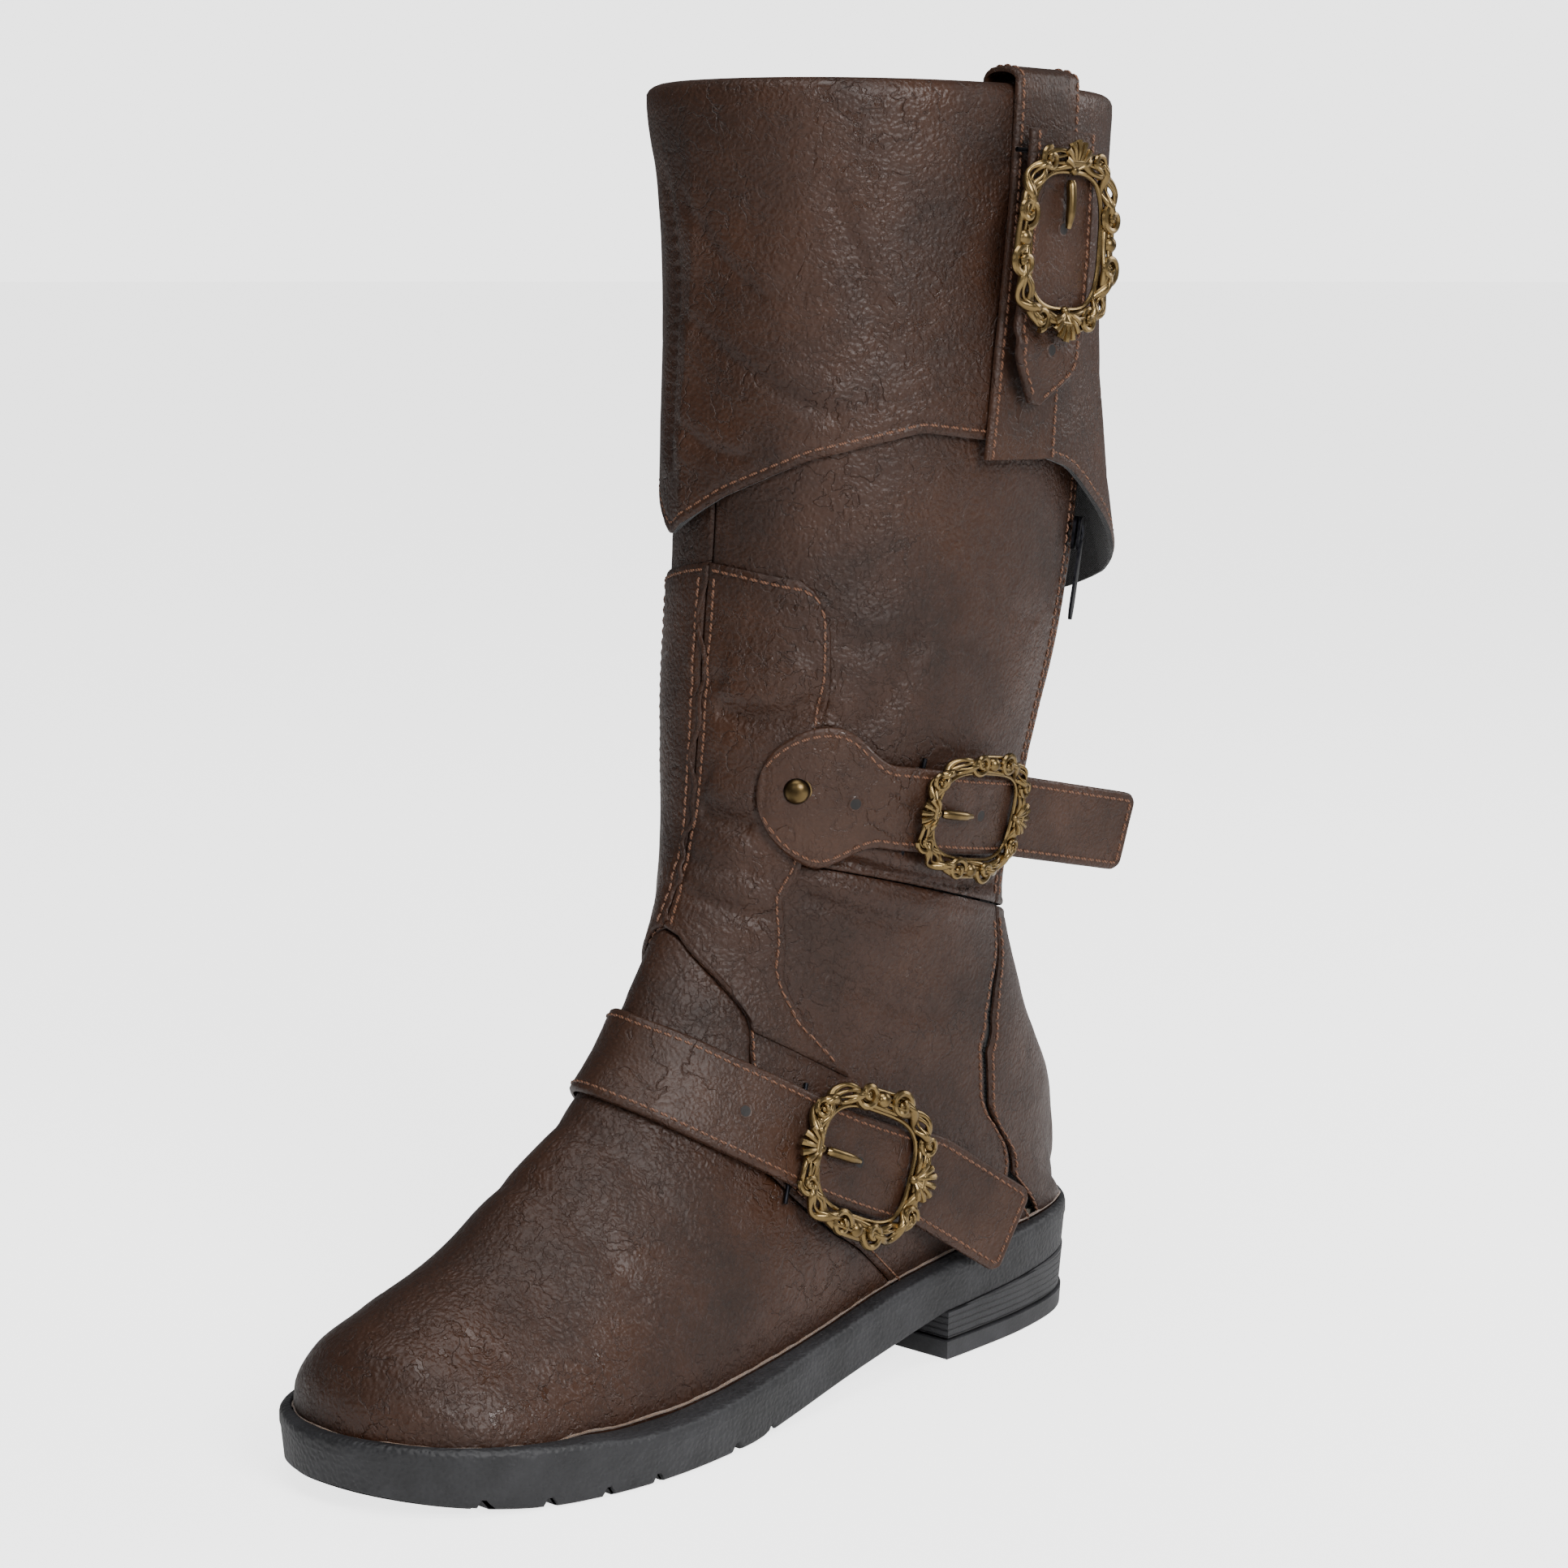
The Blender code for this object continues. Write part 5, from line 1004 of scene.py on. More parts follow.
@dataclass
class Upper:
    """The leather pieces of foot and shaft, and the panels over the shin.

    Attributes:
        step: The size of the mesh's cells.
        edge_roll: How far a folded edge turns in.
    """

    step: float = 0.00125
    edge_roll: float = 0.0007

    def leather(self, name: str, places: Array, rings: Array, outside: float = 0.0, thick: float = LEATHER,
                nodes: Sequence[str] = (), seam_rows: Sequence[str] = ()) -> bpy.types.Object:
        """Makes one piece of leather with worn relief and turned edges.

        Args:
            name: The piece's name.
            places: Grid of places.
            rings: Grid of rings.
            outside: How far its face stands off the last.
            thick: Its thickness.
            nodes: The frame's nodes that it replaces.
            seam_rows: The sides with a row of stitches: left, right, low, high.

        Returns:
            The piece.
        """
        base = shell(places, rings, outside)
        gap = edge_gap(base)
        relief = leg_relief(places, rings) * np.clip(gap / 0.004, 0.25, 1)
        roll = self.edge_roll * np.clip(1 - gap / 0.0016, 0, 1) ** 2.2
        pucker = 0.00022 * np.exp(-(((gap - 0.0024) / 0.0009) ** 2)) if seam_rows else 0.0
        outer = shell(places, rings, outside + relief - roll - pucker)
        inner = shell(places, rings, outside - thick + np.minimum(relief, 0) * 0.8)
        piece = Piece()
        piece.add_sheet(inner, outer)
        normals = last_normal(places, rings)
        for side in seam_rows:
            line, out = self.inset_line(outer, normals, gap, side)
            piece.add_stitches(line, out, finish=1)
        return piece.make(name, (UPPER_LEATHER, TAN_THREAD), "boot", nodes)

    @staticmethod
    def inset_line(outer: Array, normals: Array, gap: Array, side: str) -> tuple[Array, Array]:
        """The grid line about two millimetres inside a side."""
        middle = (outer.shape[0] // 2, outer.shape[1] // 2)
        if side in ("left", "right"):
            row = gap[middle[0]]
            half = row[:middle[1]] if side == "left" else row[middle[1]:][::-1]
            index = int(np.argmin(np.abs(half - 0.0022)))
            column = index if side == "left" else outer.shape[1] - 1 - index
            return outer[5:-5, column], normals[5:-5, column]
        column_gap = gap[:, middle[1]]
        half = column_gap[:middle[0]] if side == "low" else column_gap[middle[0]:][::-1]
        index = int(np.argmin(np.abs(half - 0.0022)))
        row = index if side == "low" else outer.shape[0] - 1 - index
        return outer[row, 5:-5], normals[row, 5:-5]

    def build(self) -> None:
        """Makes every piece."""
        self.build_vamp()
        self.build_quarters()
        self.build_shaft()
        self.build_shin()

    def build_vamp(self) -> None:
        """The vamp, in one piece over the toes."""
        back = np.array(VAMP_BACK)
        half = np.sort(np.concatenate([np.linspace(0, 0.6, 75), np.linspace(0.608, 1.0, 42)]))
        places = np.concatenate([-half[:0:-1], half])
        share = np.concatenate([np.linspace(0, 0.12, 10)[:-1], np.linspace(0.12, 0.985, 120),
                                [0.99, 0.994, 0.997, 1.0]])
        smooth = Table(back)(np.abs(places))[:, 0] - SEAM
        rings = share[:, None] * smooth
        self.leather("vamp_leather", np.broadcast_to(places, rings.shape), rings, nodes=("vamp",))

    def build_quarters(self) -> None:
        """The quarters and the panel behind the zip."""
        front, back_seam, high = SEAM_ROUND, 1.0 - SEAM_ROUND, FOLD - SEAM
        low = shifted(clip_pairs(VAMP_BACK, front, 1.0), SEAM)
        front_edge = ((low[0][1], front), (high, front))
        zip_part = tuple((r, p - ZIP_ROUND) for r, p in clip_pairs(ZIP_LINE, ZIP_LINE[1][0], high))
        zip_edge = ((low[-1][1], 1.0), (ZIP_LINE[0][0] - 0.02, 1.0)) + zip_part
        p, r = patch(front_edge, zip_edge, low, ((front, high), (zip_edge[-1][1], high)), self.step)
        self.leather("quarter_outer", p, r, nodes=("quarter_lateral",), seam_rows=("low", "right"))
        back_edge = ((low[-1][1], 1.0), (8.5, 1.0), (8.8, back_seam), (high, back_seam))
        p, r = patch(front_edge, back_edge, low, ((front, high), (back_seam, high)), self.step * 1.3)
        self.leather("quarter_inner", -p, r, nodes=("quarter_medial",), seam_rows=("low", "right"))
        start = ZIP_LINE[0][0] + 0.12
        zip_edge = ((start, 0.93),) + tuple((r, p + ZIP_ROUND) for r, p in clip_pairs(ZIP_LINE, 7.80, high))
        p, r = patch(zip_edge, ((start, 1.0),) + back_edge[1:], ((0.93, start), (1.0, start)),
                     ((zip_edge[-1][1], high), (back_seam, high)), self.step)
        self.leather("heel_panel", p, r, nodes=("heel_panel_lateral",), seam_rows=("left", "right"))

    def build_shaft(self) -> None:
        """The three pieces of the shaft."""
        low, high, front, back_seam = FOLD + SEAM, TOP_OF_WALL, SEAM_ROUND, 1.0 - SEAM_ROUND
        front_edge, back_edge = ((low, front), (high, front)), ((low, back_seam), (high, back_seam))
        near = tuple((r, p - ZIP_ROUND) for r, p in clip_pairs(ZIP_LINE, low, high))
        far = tuple((r, p + ZIP_ROUND) for r, p in clip_pairs(ZIP_LINE, low, high))
        for name, node, sign, left, right, rows in (
                ("shaft_outer", "shaft_lateral", 1, front_edge, near, ("right",)),
                ("shaft_inner", "shaft_medial", -1, front_edge, back_edge, ("right",)),
                ("shaft_rear", "shaft_back", 1, far, back_edge, ("left", "right"))):
            p, r = patch(left, right, ((left[0][1], low), (right[0][1], low)),
                         ((left[-1][1], high), (right[-1][1], high)), self.step * 1.1)
            self.leather(name, sign * p, r, nodes=(node,), seam_rows=rows)

    shin_top: Edge = ((0.06, 13.52), (0.12, 13.48), (0.165, 13.45), (0.188, 13.39), (0.200, 13.28))

    def build_shin(self) -> None:
        """The two panels laid over the shin, which meet in the front seam."""
        front = SEAM_ROUND
        low = shifted(clip_pairs(VAMP_BACK, front, SHIN_FOOT[0][0]), SEAM) + SHIN_FOOT[1:]
        left = ((low[0][1], front), (SHIN_TOP, front))
        end_place, end_ring = self.shin_top[-1]
        right = clip_pairs(SHIN_BACK, low[-1][1], 13.1) + ((end_ring, end_place),)
        low = low[:-1] + ((right[0][1], low[-1][1]),)
        p, r = patch(left, right, low, ((front, SHIN_TOP),) + self.shin_top, self.step)
        for side in Side:
            name = side.name.lower()
            node = "shin_panel_lateral" if side is Side.OUTER else "shin_panel_medial"
            self.leather(f"shin_{name}", side.value * p, r, 0.0016, 0.0013, (node,), ("right", "high", "left"))
        self.build_seam_piping(left[0][0])

    def build_seam_piping(self, low: float) -> None:
        """The raised, slightly wavy closing of the front seam."""
        rings = np.linspace(low + 0.1, SHIN_TOP - 0.02, 200)
        wander = 0.010 * np.sin(rings * 5.1) + 0.006 * np.sin(rings * 11.3 + 1)
        line = shell(wander, rings, 0.0013 + leg_relief(wander, rings))
        piece = Piece()
        piece.add_tube(line, 0.0009, 8, flat=0.55, out=last_normal(wander, rings))
        piece.make("front_seam", (UPPER_LEATHER,))


@dataclass
class Linings:
    """The black textile inside the shaft and the foot."""

    outside: float = -0.0039
    thick: float = 0.0011

    def build(self) -> None:
        """Makes the linings."""
        around = np.linspace(-1, 1, 181)[:-1]
        rings = np.linspace(SHAFT_LINING_FOOT, TOP_OF_WALL, 130)[:, None] + 0 * around
        places = np.broadcast_to(around, rings.shape)
        relief = 0.0006 * layered_noise(last_point(places, rings), 0.03, 3, 61)
        relief = np.clip(relief, -0.0010, 0.0004)
        shaft = Piece()
        shaft.add_sheet(shell(places, rings, self.outside - self.thick + relief),
                        shell(places, rings, self.outside + relief), wrap=True)
        shaft.make("lining_of_shaft", (BLACK_LINING,), nodes=("shaft_lining",))
        half = 0.985 * np.sin(np.linspace(0, math.pi / 2, 46)) ** 0.9
        around = np.concatenate([-half[:0:-1], half])
        rings = np.linspace(0.05, LINING_TOP, 80)[:, None] + 0 * around
        places = np.broadcast_to(around, rings.shape)
        foot = Piece()
        foot.add_sheet(shell(places, rings, self.outside - self.thick), shell(places, rings, self.outside))
        foot.make("lining_of_foot", (BLACK_LINING,), nodes=("foot_lining",))


# ---------------------------------------------------------------- zip

@dataclass
class Zip:
    """The zip behind the ankle: tapes, coils, slider and pull.

    Attributes:
        low: The ring where it starts.
        high: The ring where it ends under the cuff.
        pitch: From one coil turn to the next.
        behind: How far the tape lies inside the leather's face.
    """

    low: float = ZIP_FOOT
    high: float = ZIP_HEAD
    pitch: float = 0.0016
    behind: float = -0.0023

    def line(self, count: int, sideways: float, out: float) -> tuple[Array, Array]:
        """A line beside the zip's middle, with its outward directions."""
        rings = np.linspace(self.low, self.high, count)
        places = Table(ZIP_LINE)(rings)[:, 0]
        return beside(places, rings, sideways, out), last_normal(places, rings)

    def build(self) -> None:
        """Makes the zip."""
        for side, sign in (("front", -1), ("back", 1)):
            tape, coil = Piece(), Piece()
            spread_out = [sign * s for s in (0.0016, 0.004, 0.007, 0.0105)]
            outer = np.stack([self.line(160, s, self.behind)[0] for s in spread_out], 1)
            inner = np.stack([self.line(160, s, self.behind - 0.0007)[0] for s in spread_out], 1)
            tape.add_sheet(inner, outer)
            tape.make(f"zip_tape_cloth_{side}", (ZIP_CLOTH,), nodes=(f"zip_tape_{side}",))
            middle, normal = self.line(1500, sign * 0.0009, self.behind - 0.0002)
            ahead = unit(np.gradient(middle, axis=0))
            across = np.cross(ahead, normal)
            turn = travelled(middle) / self.pitch * 2 * math.pi
            wire = middle + 0.00085 * np.cos(turn)[:, None] * across + 0.00055 * np.sin(turn)[:, None] * normal
            coil.add_tube(wire, 0.00034, 5, out=normal)
            coil.make(f"zip_coil_wire_{side}", (ZIP_NYLON,), nodes=(f"zip_coil_{side}",))
        self.build_slider()

    def build_slider(self) -> None:
        """The slider's body and its pull, cast with rounded edges."""
        at = box_middle("zip_slider")
        ring = 13.72
        place = float(Table(ZIP_LINE)(ring)[0])
        up = shell(float(Table(ZIP_LINE)(ring + 0.1)[0]), ring + 0.1) - shell(
            float(Table(ZIP_LINE)(ring - 0.6)[0]), ring - 0.6)
        up = unit(up)
        out = last_normal(place, ring)
        out = unit(out - up * np.dot(out, up))
        across = np.cross(up, out)
        slider = Piece()
        for level, thick in ((-0.0006, 0.0009), (0.0009, 0.0007)):
            rows = []
            for t in np.linspace(-0.5, 0.5, 9):
                half = 0.0033 * (1 + 0.20 * t) * math.sqrt(max(0.12, 1 - (abs(t) * 1.86) ** 6))
                rows.append([at + up * 0.0098 * t + across * half * s + out * level for s in np.linspace(-1, 1, 7)])
            grid = np.array(rows)
            slider.add_sheet(grid - out * thick / 2, grid + out * thick / 2)
        slider.add_tube(np.array([at + out * 0.001 + up * s * 0.0026 + out * 0.0005 * (1 - abs(s))
                                  for s in np.linspace(-1, 1, 7)]), 0.0007, 8, out=out)
        slider.make("zip_slider_body", (DARK_STEEL,), "zip_slider", ("zip_slider",))
        centre = box_middle("zip_pull")
        pull = Piece()
        rows = []
        for t in np.linspace(-0.5, 0.5, 21):
            half = 0.0024 * (0.72 + 0.28 * math.cos(math.pi * (t + 0.28)))
            half *= math.sqrt(max(0.1, 1 - (abs(t) * 1.94) ** 8))
            rows.append([centre + up * 0.0235 * t + across * half * s
                         + out * 0.00025 * (1 - s * s) for s in np.linspace(-1, 1, 9)])
        grid = np.array(rows)
        pull.add_sheet(grid - out * 0.00045, grid + out * 0.0003)
        pull.make("zip_pull_tab", (DARK_STEEL,), "zip_pull", ("zip_pull",))


# ---------------------------------------------------------------- cuff

def cuff_out(place: float | Array, ring: float | Array) -> Array:
    """How far the cuff's outside stands off the last: it flares towards its two points."""
    place, ring = np.broadcast_arrays(np.asarray(place, float), np.asarray(ring, float))
    down = np.clip((15.2 - ring) / 1.8, 0, 1) ** 1.25
    behind = np.clip((np.abs(place) - 0.46) / 0.44, 0, 1)
    ahead = np.exp(-((place + 0.06) / 0.10) ** 2)
    rim = np.exp(-((place + 0.13) / 0.12) ** 2) * np.exp(-((16.0 - ring) / 0.35) ** 2) * RIM_FLARE
    late = np.clip((14.75 - ring) / 1.45, 0, 1) ** 1.35
    return CUFF_GAP + CUFF + rim + late * CUFF_FLARE * behind + down * (0.0035 * ahead + 0.0012)


def cuff_relief(place: Array, ring: Array) -> Array:
    """The cuff's crumples: soft waves, diagonal drag lines from the front fold and crushed places."""
    points = last_point(place, ring)
    total = 0.0007 * layered_noise(points, 0.045, 3, 71)
    crease = np.exp(-np.abs(place + 0.035 + 0.01 * np.sin(ring * 2.3)) / 0.022)
    total = total + 0.0016 * crease * np.clip((15.9 - ring) / 0.5, 0.2, 1)
    lines = (
        Fold(((-0.10, 15.7), (-0.085, 15.2), (-0.09, 14.6), (-0.08, 14.1)), 0.0012, 0.0022, 0.0006, 0.0006),
        Fold(((-0.06, 15.6), (0.02, 15.3), (0.10, 15.1)), 0.0008, 0.0020, 0.0005, 0.0002),
        Fold(((-0.07, 15.1), (0.03, 14.85), (0.14, 14.62), (0.22, 14.5)), 0.0009, 0.0022, 0.0006, 0.0003),
        Fold(((-0.07, 14.5), (0.01, 14.3), (0.08, 14.25)), 0.0008, 0.0018, 0.0005, 0.0002),
        Fold(((0.18, 15.65), (0.24, 15.2), (0.27, 14.8)), 0.0006, 0.0030, 0.0004, 0.0002),
        Fold(((0.62, 15.7), (0.66, 15.1), (0.72, 14.5), (0.80, 13.9)), 0.0008, 0.0026, 0.0005, 0.0003),
        Fold(((-0.3, 15.6), (-0.36, 15.1), (-0.40, 14.7)), 0.0008, 0.0026, 0.0005, 0.0003),
        Fold(((-0.6, 15.5), (-0.66, 15.0), (-0.62, 14.6)), 0.0008, 0.0026, 0.0005, 0.0003),
        Fold(((-0.9, 15.4), (-0.84, 14.8), (-0.9, 14.2)), 0.0008, 0.0026, 0.0005, 0.0003),
    )
    for fold in lines:
        total = total + fold.relief(points)
    total = total - 0.00016 * np.clip(noise(points, 0.03, 81) * 1.8, 0, 1) * creases(points, 0.0065, 0.11, 82)
    return np.clip(total, -0.0018, 0.0026)


@dataclass
class Cuff:
    """The cuff: turned over the rim, hemmed below and lined with black textile."""

    columns: int = 420
    rows: int = 110

    def build(self) -> None:
        """Makes the cuff's leather, its lining and the hem's stitches."""
        places = np.linspace(-1, 1, self.columns + 1)[:-1]
        table = np.array(CUFF_HEM)
        wide = np.concatenate([table[:-1] - (2, 0), table, table[1:] + (2, 0)])
        raw = np.interp(np.linspace(-1.06, 1.06, 900), wide[:, 0], wide[:, 1])
        hem = np.array([np.mean(raw[np.abs(np.linspace(-1.06, 1.06, 900) - p) < 0.012]) for p in places])
        share = np.concatenate([[0, 0.004, 0.009, 0.016, 0.024, 0.034], np.linspace(0.045, 1, self.rows)])[:, None]
        rings = hem + (15.91 - hem) * share
        place_grid = np.broadcast_to(places, rings.shape)
        down = np.linalg.norm(shell(place_grid, rings) - shell(places, hem), axis=-1)
        fade = np.clip((16.0 - rings) / 0.25, 0.15, 1)
        relief = cuff_relief(place_grid, rings) * fade
        roll = 0.0007 * np.clip(1 - down / 0.0016, 0, 1) ** 2
        crush = 0.00035 * np.exp(-(((down - 0.0032) / 0.0011) ** 2))
        base = cuff_out(place_grid, rings)
        outer = shell(place_grid, rings, base + relief - roll - crush)
        inner = shell(place_grid, rings, base - CUFF + np.minimum(relief, 0) * 0.3)
        turn = np.linspace(0, math.pi, 12)[1:-1]
        inside = -WALL - INSIDE_CLEAR - CUFF * 0.6
        rim_out = cuff_out(places, 15.97 + 0 * places)
        bead = []
        for t in turn:
            reach = (rim_out + inside) / 2 + (rim_out - inside) / 2 * math.cos(t)
            ring = 15.93 + 0.075 * math.sin(t) ** 0.7
            bead.append(shell(places, ring + 0 * places, reach + cuff_relief(places, ring + 0 * places) * 0.2))
        down_inside = [shell(places, ring + 0 * places, inside + 0 * places) for ring in (15.9, 15.86, 15.82)]
        back = [shell(places, ring + 0 * places, inside + 0.0008 + 0 * places) for ring in (15.82, 15.9)]
        section = np.concatenate([outer, np.array(bead), np.array(down_inside), np.array(back), inner[::-1]])
        piece = Piece()
        count = len(section)
        closed = np.concatenate([section, section[:1]])
        faces = [tuple(i % (count * self.columns) for i in face)
                 for face in grid_faces(len(closed), self.columns, True)]
        edge_row = len(outer) + len(bead) + 5
        finish = [int(number // self.columns >= edge_row + 2) for number in range(len(faces))]
        piece.points.append(section.reshape(-1, 3))
        piece.count += section.shape[0] * section.shape[1]
        piece.faces += faces
        piece.finish += finish
        normals = last_normal(place_grid, rings)
        row = int(np.argmin(np.abs(down[:, 0] - 0.0036)))
        closed_line = np.concatenate([outer[row], outer[row][:1]])
        closed_normals = np.concatenate([normals[row], normals[row][:1]])
        piece.add_stitches(closed_line, closed_normals, 0.0034, finish=2, sink=0.0002)
        piece.make("cuff_leather", (CUFF_LEATHER, BLACK_LINING, TAN_THREAD), nodes=("cuff",))


# ---------------------------------------------------------------- straps

class Surface:
    """A surface to lay straps on, which gives the nearest point and its outward direction."""

    def __init__(self, low: float, high: float, out: Callable[[Array, Array], Array]) -> None:
        """Builds the surface between two rings at a distance outside the last."""
        places, rings = np.meshgrid(np.linspace(-1, 1, 161), np.linspace(low, high, 120))
        grid = shell(places, rings, out(places, rings))
        self.out = out
        self.tree = BVHTree.FromPolygons([tuple(p) for p in grid.reshape(-1, 3)], grid_faces(120, 161))

    def snap(self, point: Array, height: float) -> tuple[Array, Array]:
        """The nearest point at a height, and the outward direction."""
        at, normal, _, _ = self.tree.find_nearest(Vector(point))
        return np.array(at) + np.array(normal) * height, np.array(normal)

    def at(self, place: float | Array, ring: float | Array) -> Array:
        """A point of the surface."""
        return shell(place, ring, self.out(np.asarray(place, float), np.asarray(ring, float)))


@dataclass
class Strap:
    """A strap laid on a surface, through its buckle, with its loose tail.

    Attributes:
        name: The strap's name in the frame.
        surface: What it lies on.
        marks: Its middle line, as places and rings.
        buckle_mark: The middle of its buckle.
        width: Its width.
        buckle_length: Its buckle's length along it.
        lift: Height of its underside at the buckle.
        tail_length: Length of its tail.
        turn: How the tail turns away.
        dip: How much lower it lies away from the buckle.
        tab: Half height and length of the round shield at its start, or nothing.
        pointed: Whether its tail ends in a point.
        start: Where along its line it starts.
    """

    name: str
    surface: Surface
    marks: Edge
    buckle_mark: tuple[float, float]
    width: float
    buckle_length: float
    lift: float
    tail_length: float
    turn: tuple[float, float, float]
    dip: float = 0.0
    tab: tuple[float, float] | None = None
    pointed: bool = False
    start: float = 0.0
    holes: tuple[float, ...] = ()
    clear: float = 0.0025
    rise: float = 0.0009
    middle: float = 0.0
    split: float = 0.0
    direction: Array = field(default_factory=lambda: np.zeros(3))

    def height(self, s: float) -> float:
        """The height of its underside at a distance along it."""
        away = float(np.clip((self.middle - self.buckle_length / 2 - 0.004 - s) / 0.022, 0, 1))
        return self.lift - self.dip * away**2 * (3 - 2 * away)

    def half_width(self, s: float) -> float:
        """Half its width at a distance along it."""
        half = self.width / 2
        end = self.split + self.tail_length
        if self.pointed:
            return max(0.0006, min(half, 0.002 + (end - s) * 0.95))
        corner = 0.004
        if self.tab and s < self.tab[1]:
            tall, length = self.tab
            round_end = math.sqrt(max(0.0, 1 - (1 - min(s, tall) / tall) ** 2))
            neck = 0.5 * (1 + math.cos(math.pi * max(0.0, (s - tall * 0.9) / (length - tall * 0.9))))
            return max(0.0008, (half * 0.96 + (tall - half * 0.96) * neck) * round_end)
        left = end - s
        return half - (corner - math.sqrt(max(0.0, corner**2 - (corner - min(left, corner)) ** 2)))

    def frames(self) -> tuple[Array, Array, Array, Array]:
        """Rows along the strap: the underside's grid of points, their normals, distances and half widths."""
        smooth = curve_through(self.marks, 40 * len(self.marks))
        line, at = resample(np.stack([self.surface.at(p, r) for p, r in smooth]), 0.0012)
        i = int(np.argmin(np.linalg.norm(line - self.surface.at(*self.buckle_mark), axis=1)))
        self.middle = at[i]
        self.direction = unit(line[i + 4] - line[i - 4])
        self.split = self.middle + self.buckle_length / 2 + self.clear
        keep = at < self.split
        body, body_at = line[keep], at[keep]
        along = unit(unit(body[-1] - body[-6]) + np.array(self.turn))
        root, normal = self.surface.snap(body[-1], self.lift + self.rise)
        flat_out = unit(normal - along * np.dot(normal, along))
        tail_at = np.concatenate([np.arange(self.split, self.split + self.tail_length - 0.004, 0.0012),
                                  self.split + self.tail_length - np.linspace(0.004, 0, 12)])
        body_at = np.concatenate([np.linspace(self.start, self.start + 0.004, 12),
                                  body_at[body_at > self.start + 0.004]])
        distances = np.concatenate([body_at, tail_at])
        columns, few_at = np.array(STRAP_COLUMNS), (-1, -0.5, 0, 0.5, 1)
        under, normals = [], []
        for s in distances:
            half = self.half_width(float(s))
            if s < self.split:
                point = read_line(s, at, line)
                ahead = read_line(min(s + 0.002, at[-1]), at, line) - point
                if s > body_at[-1] - 0.0009:
                    ahead = along
                _, out = self.surface.snap(point, 0)
                across = unit(np.cross(out, ahead))
                few = [self.surface.snap(point + across * c * half, self.height(float(s))) for c in few_at]
                base, outs = (np.array(values) for values in zip(*few))
                under.append(read_line(columns, few_at, base))
                normals.append(unit(read_line(columns, few_at, outs)))
            else:
                across = unit(np.cross(flat_out, along))
                point = root + along * (s - self.split)
                under.append(point + across * columns[:, None] * half)
                normals.append(np.broadcast_to(flat_out, (len(columns), 3)))
        under, normals = np.array(under), np.array(normals)
        for _ in range(5):
            under[1:-1] = under[1:-1] * 0.5 + (under[:-2] + under[2:]) * 0.25
            normals[1:-1] = unit(normals[1:-1] * 0.5 + (normals[:-2] + normals[2:]) * 0.25)
        halves = np.array([self.half_width(float(s)) for s in distances])
        return under, normals, distances, halves

    def build(self) -> None:
        """Makes the strap with its stitches and holes, and joins its tail to it."""
        under, normals, distances, halves = self.frames()
        share = np.array(STRAP_COLUMNS)
        from_side = (1 - np.abs(share))[None] * halves[:, None]
        end = distances[-1] - distances[:, None] + 0 * share
        first = distances[:, None] - distances[0] + 0 * share
        gap = np.minimum(np.minimum(from_side, end), first if self.tab else first + 0.01)
        thick = STRAP + 0.0002 - 0.0009 * np.clip(1 - gap / 0.0011, 0, 1) ** 2
        thick = thick - 0.00022 * np.exp(-(((gap - 0.0022) / 0.0006) ** 2))
        thick = thick + 0.00012 * layered_noise(under, 0.012, 3, 91)
        outer = under + normals * thick[..., None]
        piece = Piece()
        piece.add_sheet(under, outer)
        self.stitch(piece, outer, normals, halves, distances)
        self.punch(piece, outer, normals, distances)
        made = piece.make(f"{self.name}_leather", (STRAP_LEATHER, TAN_THREAD, HOLE_SHADE), None,
                          (self.name, f"{self.name}_tail"))
        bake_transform(made)

    def stitch(self, piece: Piece, outer: Array, normals: Array, halves: Array, distances: Array) -> None:
        """Adds the row of stitches round the strap, two millimetres in from its edge."""
        inset = 0.0023

        def at(row: int, side: float) -> tuple[Array, Array]:
            """The point and direction of a row inset from one side."""
            where = side * max(0.0, 1 - inset / max(halves[row], 1e-6))
            return read_line(where, STRAP_COLUMNS, outer[row]), unit(read_line(where, STRAP_COLUMNS, normals[row]))

        rows = [r for r in range(len(distances)) if distances[r] < distances[-1] - inset
                and (not self.tab or distances[r] > distances[0] + inset * 0.8) and halves[r] > inset * 0.9]
        for side in (-1.0, 1.0):
            line, out = (np.array(values) for values in zip(*[at(r, side) for r in rows]))
            piece.add_stitches(line, out, finish=1, sink=0.0001)
        last = rows[-1]
        if not self.pointed:
            ends = [at(last, side) for side in (-1.0, 1.0)]
            line = np.linspace(ends[0][0], ends[1][0], 12)
            piece.add_stitches(line, np.broadcast_to(ends[0][1], line.shape), finish=1, sink=0.0001)

    def punch(self, piece: Piece, outer: Array, normals: Array, distances: Array) -> None:
        """Adds the punched holes: a pressed rim round a shallow near-black dish, painted shade laid where the hole's
        depth would be.
        """
        for s in self.holes:
            row = int(np.argmin(np.abs(distances - (self.middle + s))))
            centre, out = outer[row, STRAP_MIDDLE], normals[row, STRAP_MIDDLE]
            ahead = unit(outer[min(row + 2, len(outer) - 1), STRAP_MIDDLE] - outer[row - 2, STRAP_MIDDLE])
            side = np.cross(out, ahead)
            turn = np.linspace(0, 2 * math.pi, 20, endpoint=False)[:, None]
            circle = np.cos(turn) * ahead + np.sin(turn) * side
            rings = [centre + circle * 0.0024 - out * 0.00002, centre + circle * 0.0020 + out * 0.00022,
                     centre + circle * 0.0016 + out * 0.00012, centre + circle * 0.0015 - out * 0.0009]
            piece.add(np.concatenate(rings[:3]), grid_faces(3, 20, True), 0)
            # The dark dish is painted shade: a nearly flat cap laid where the hole's depth would be.
            piece.add(np.concatenate(rings[2:] + [centre[None] + out * 0.00006]),
                      [(k, (k + 1) % 20, 40) for k in range(20)], 2)


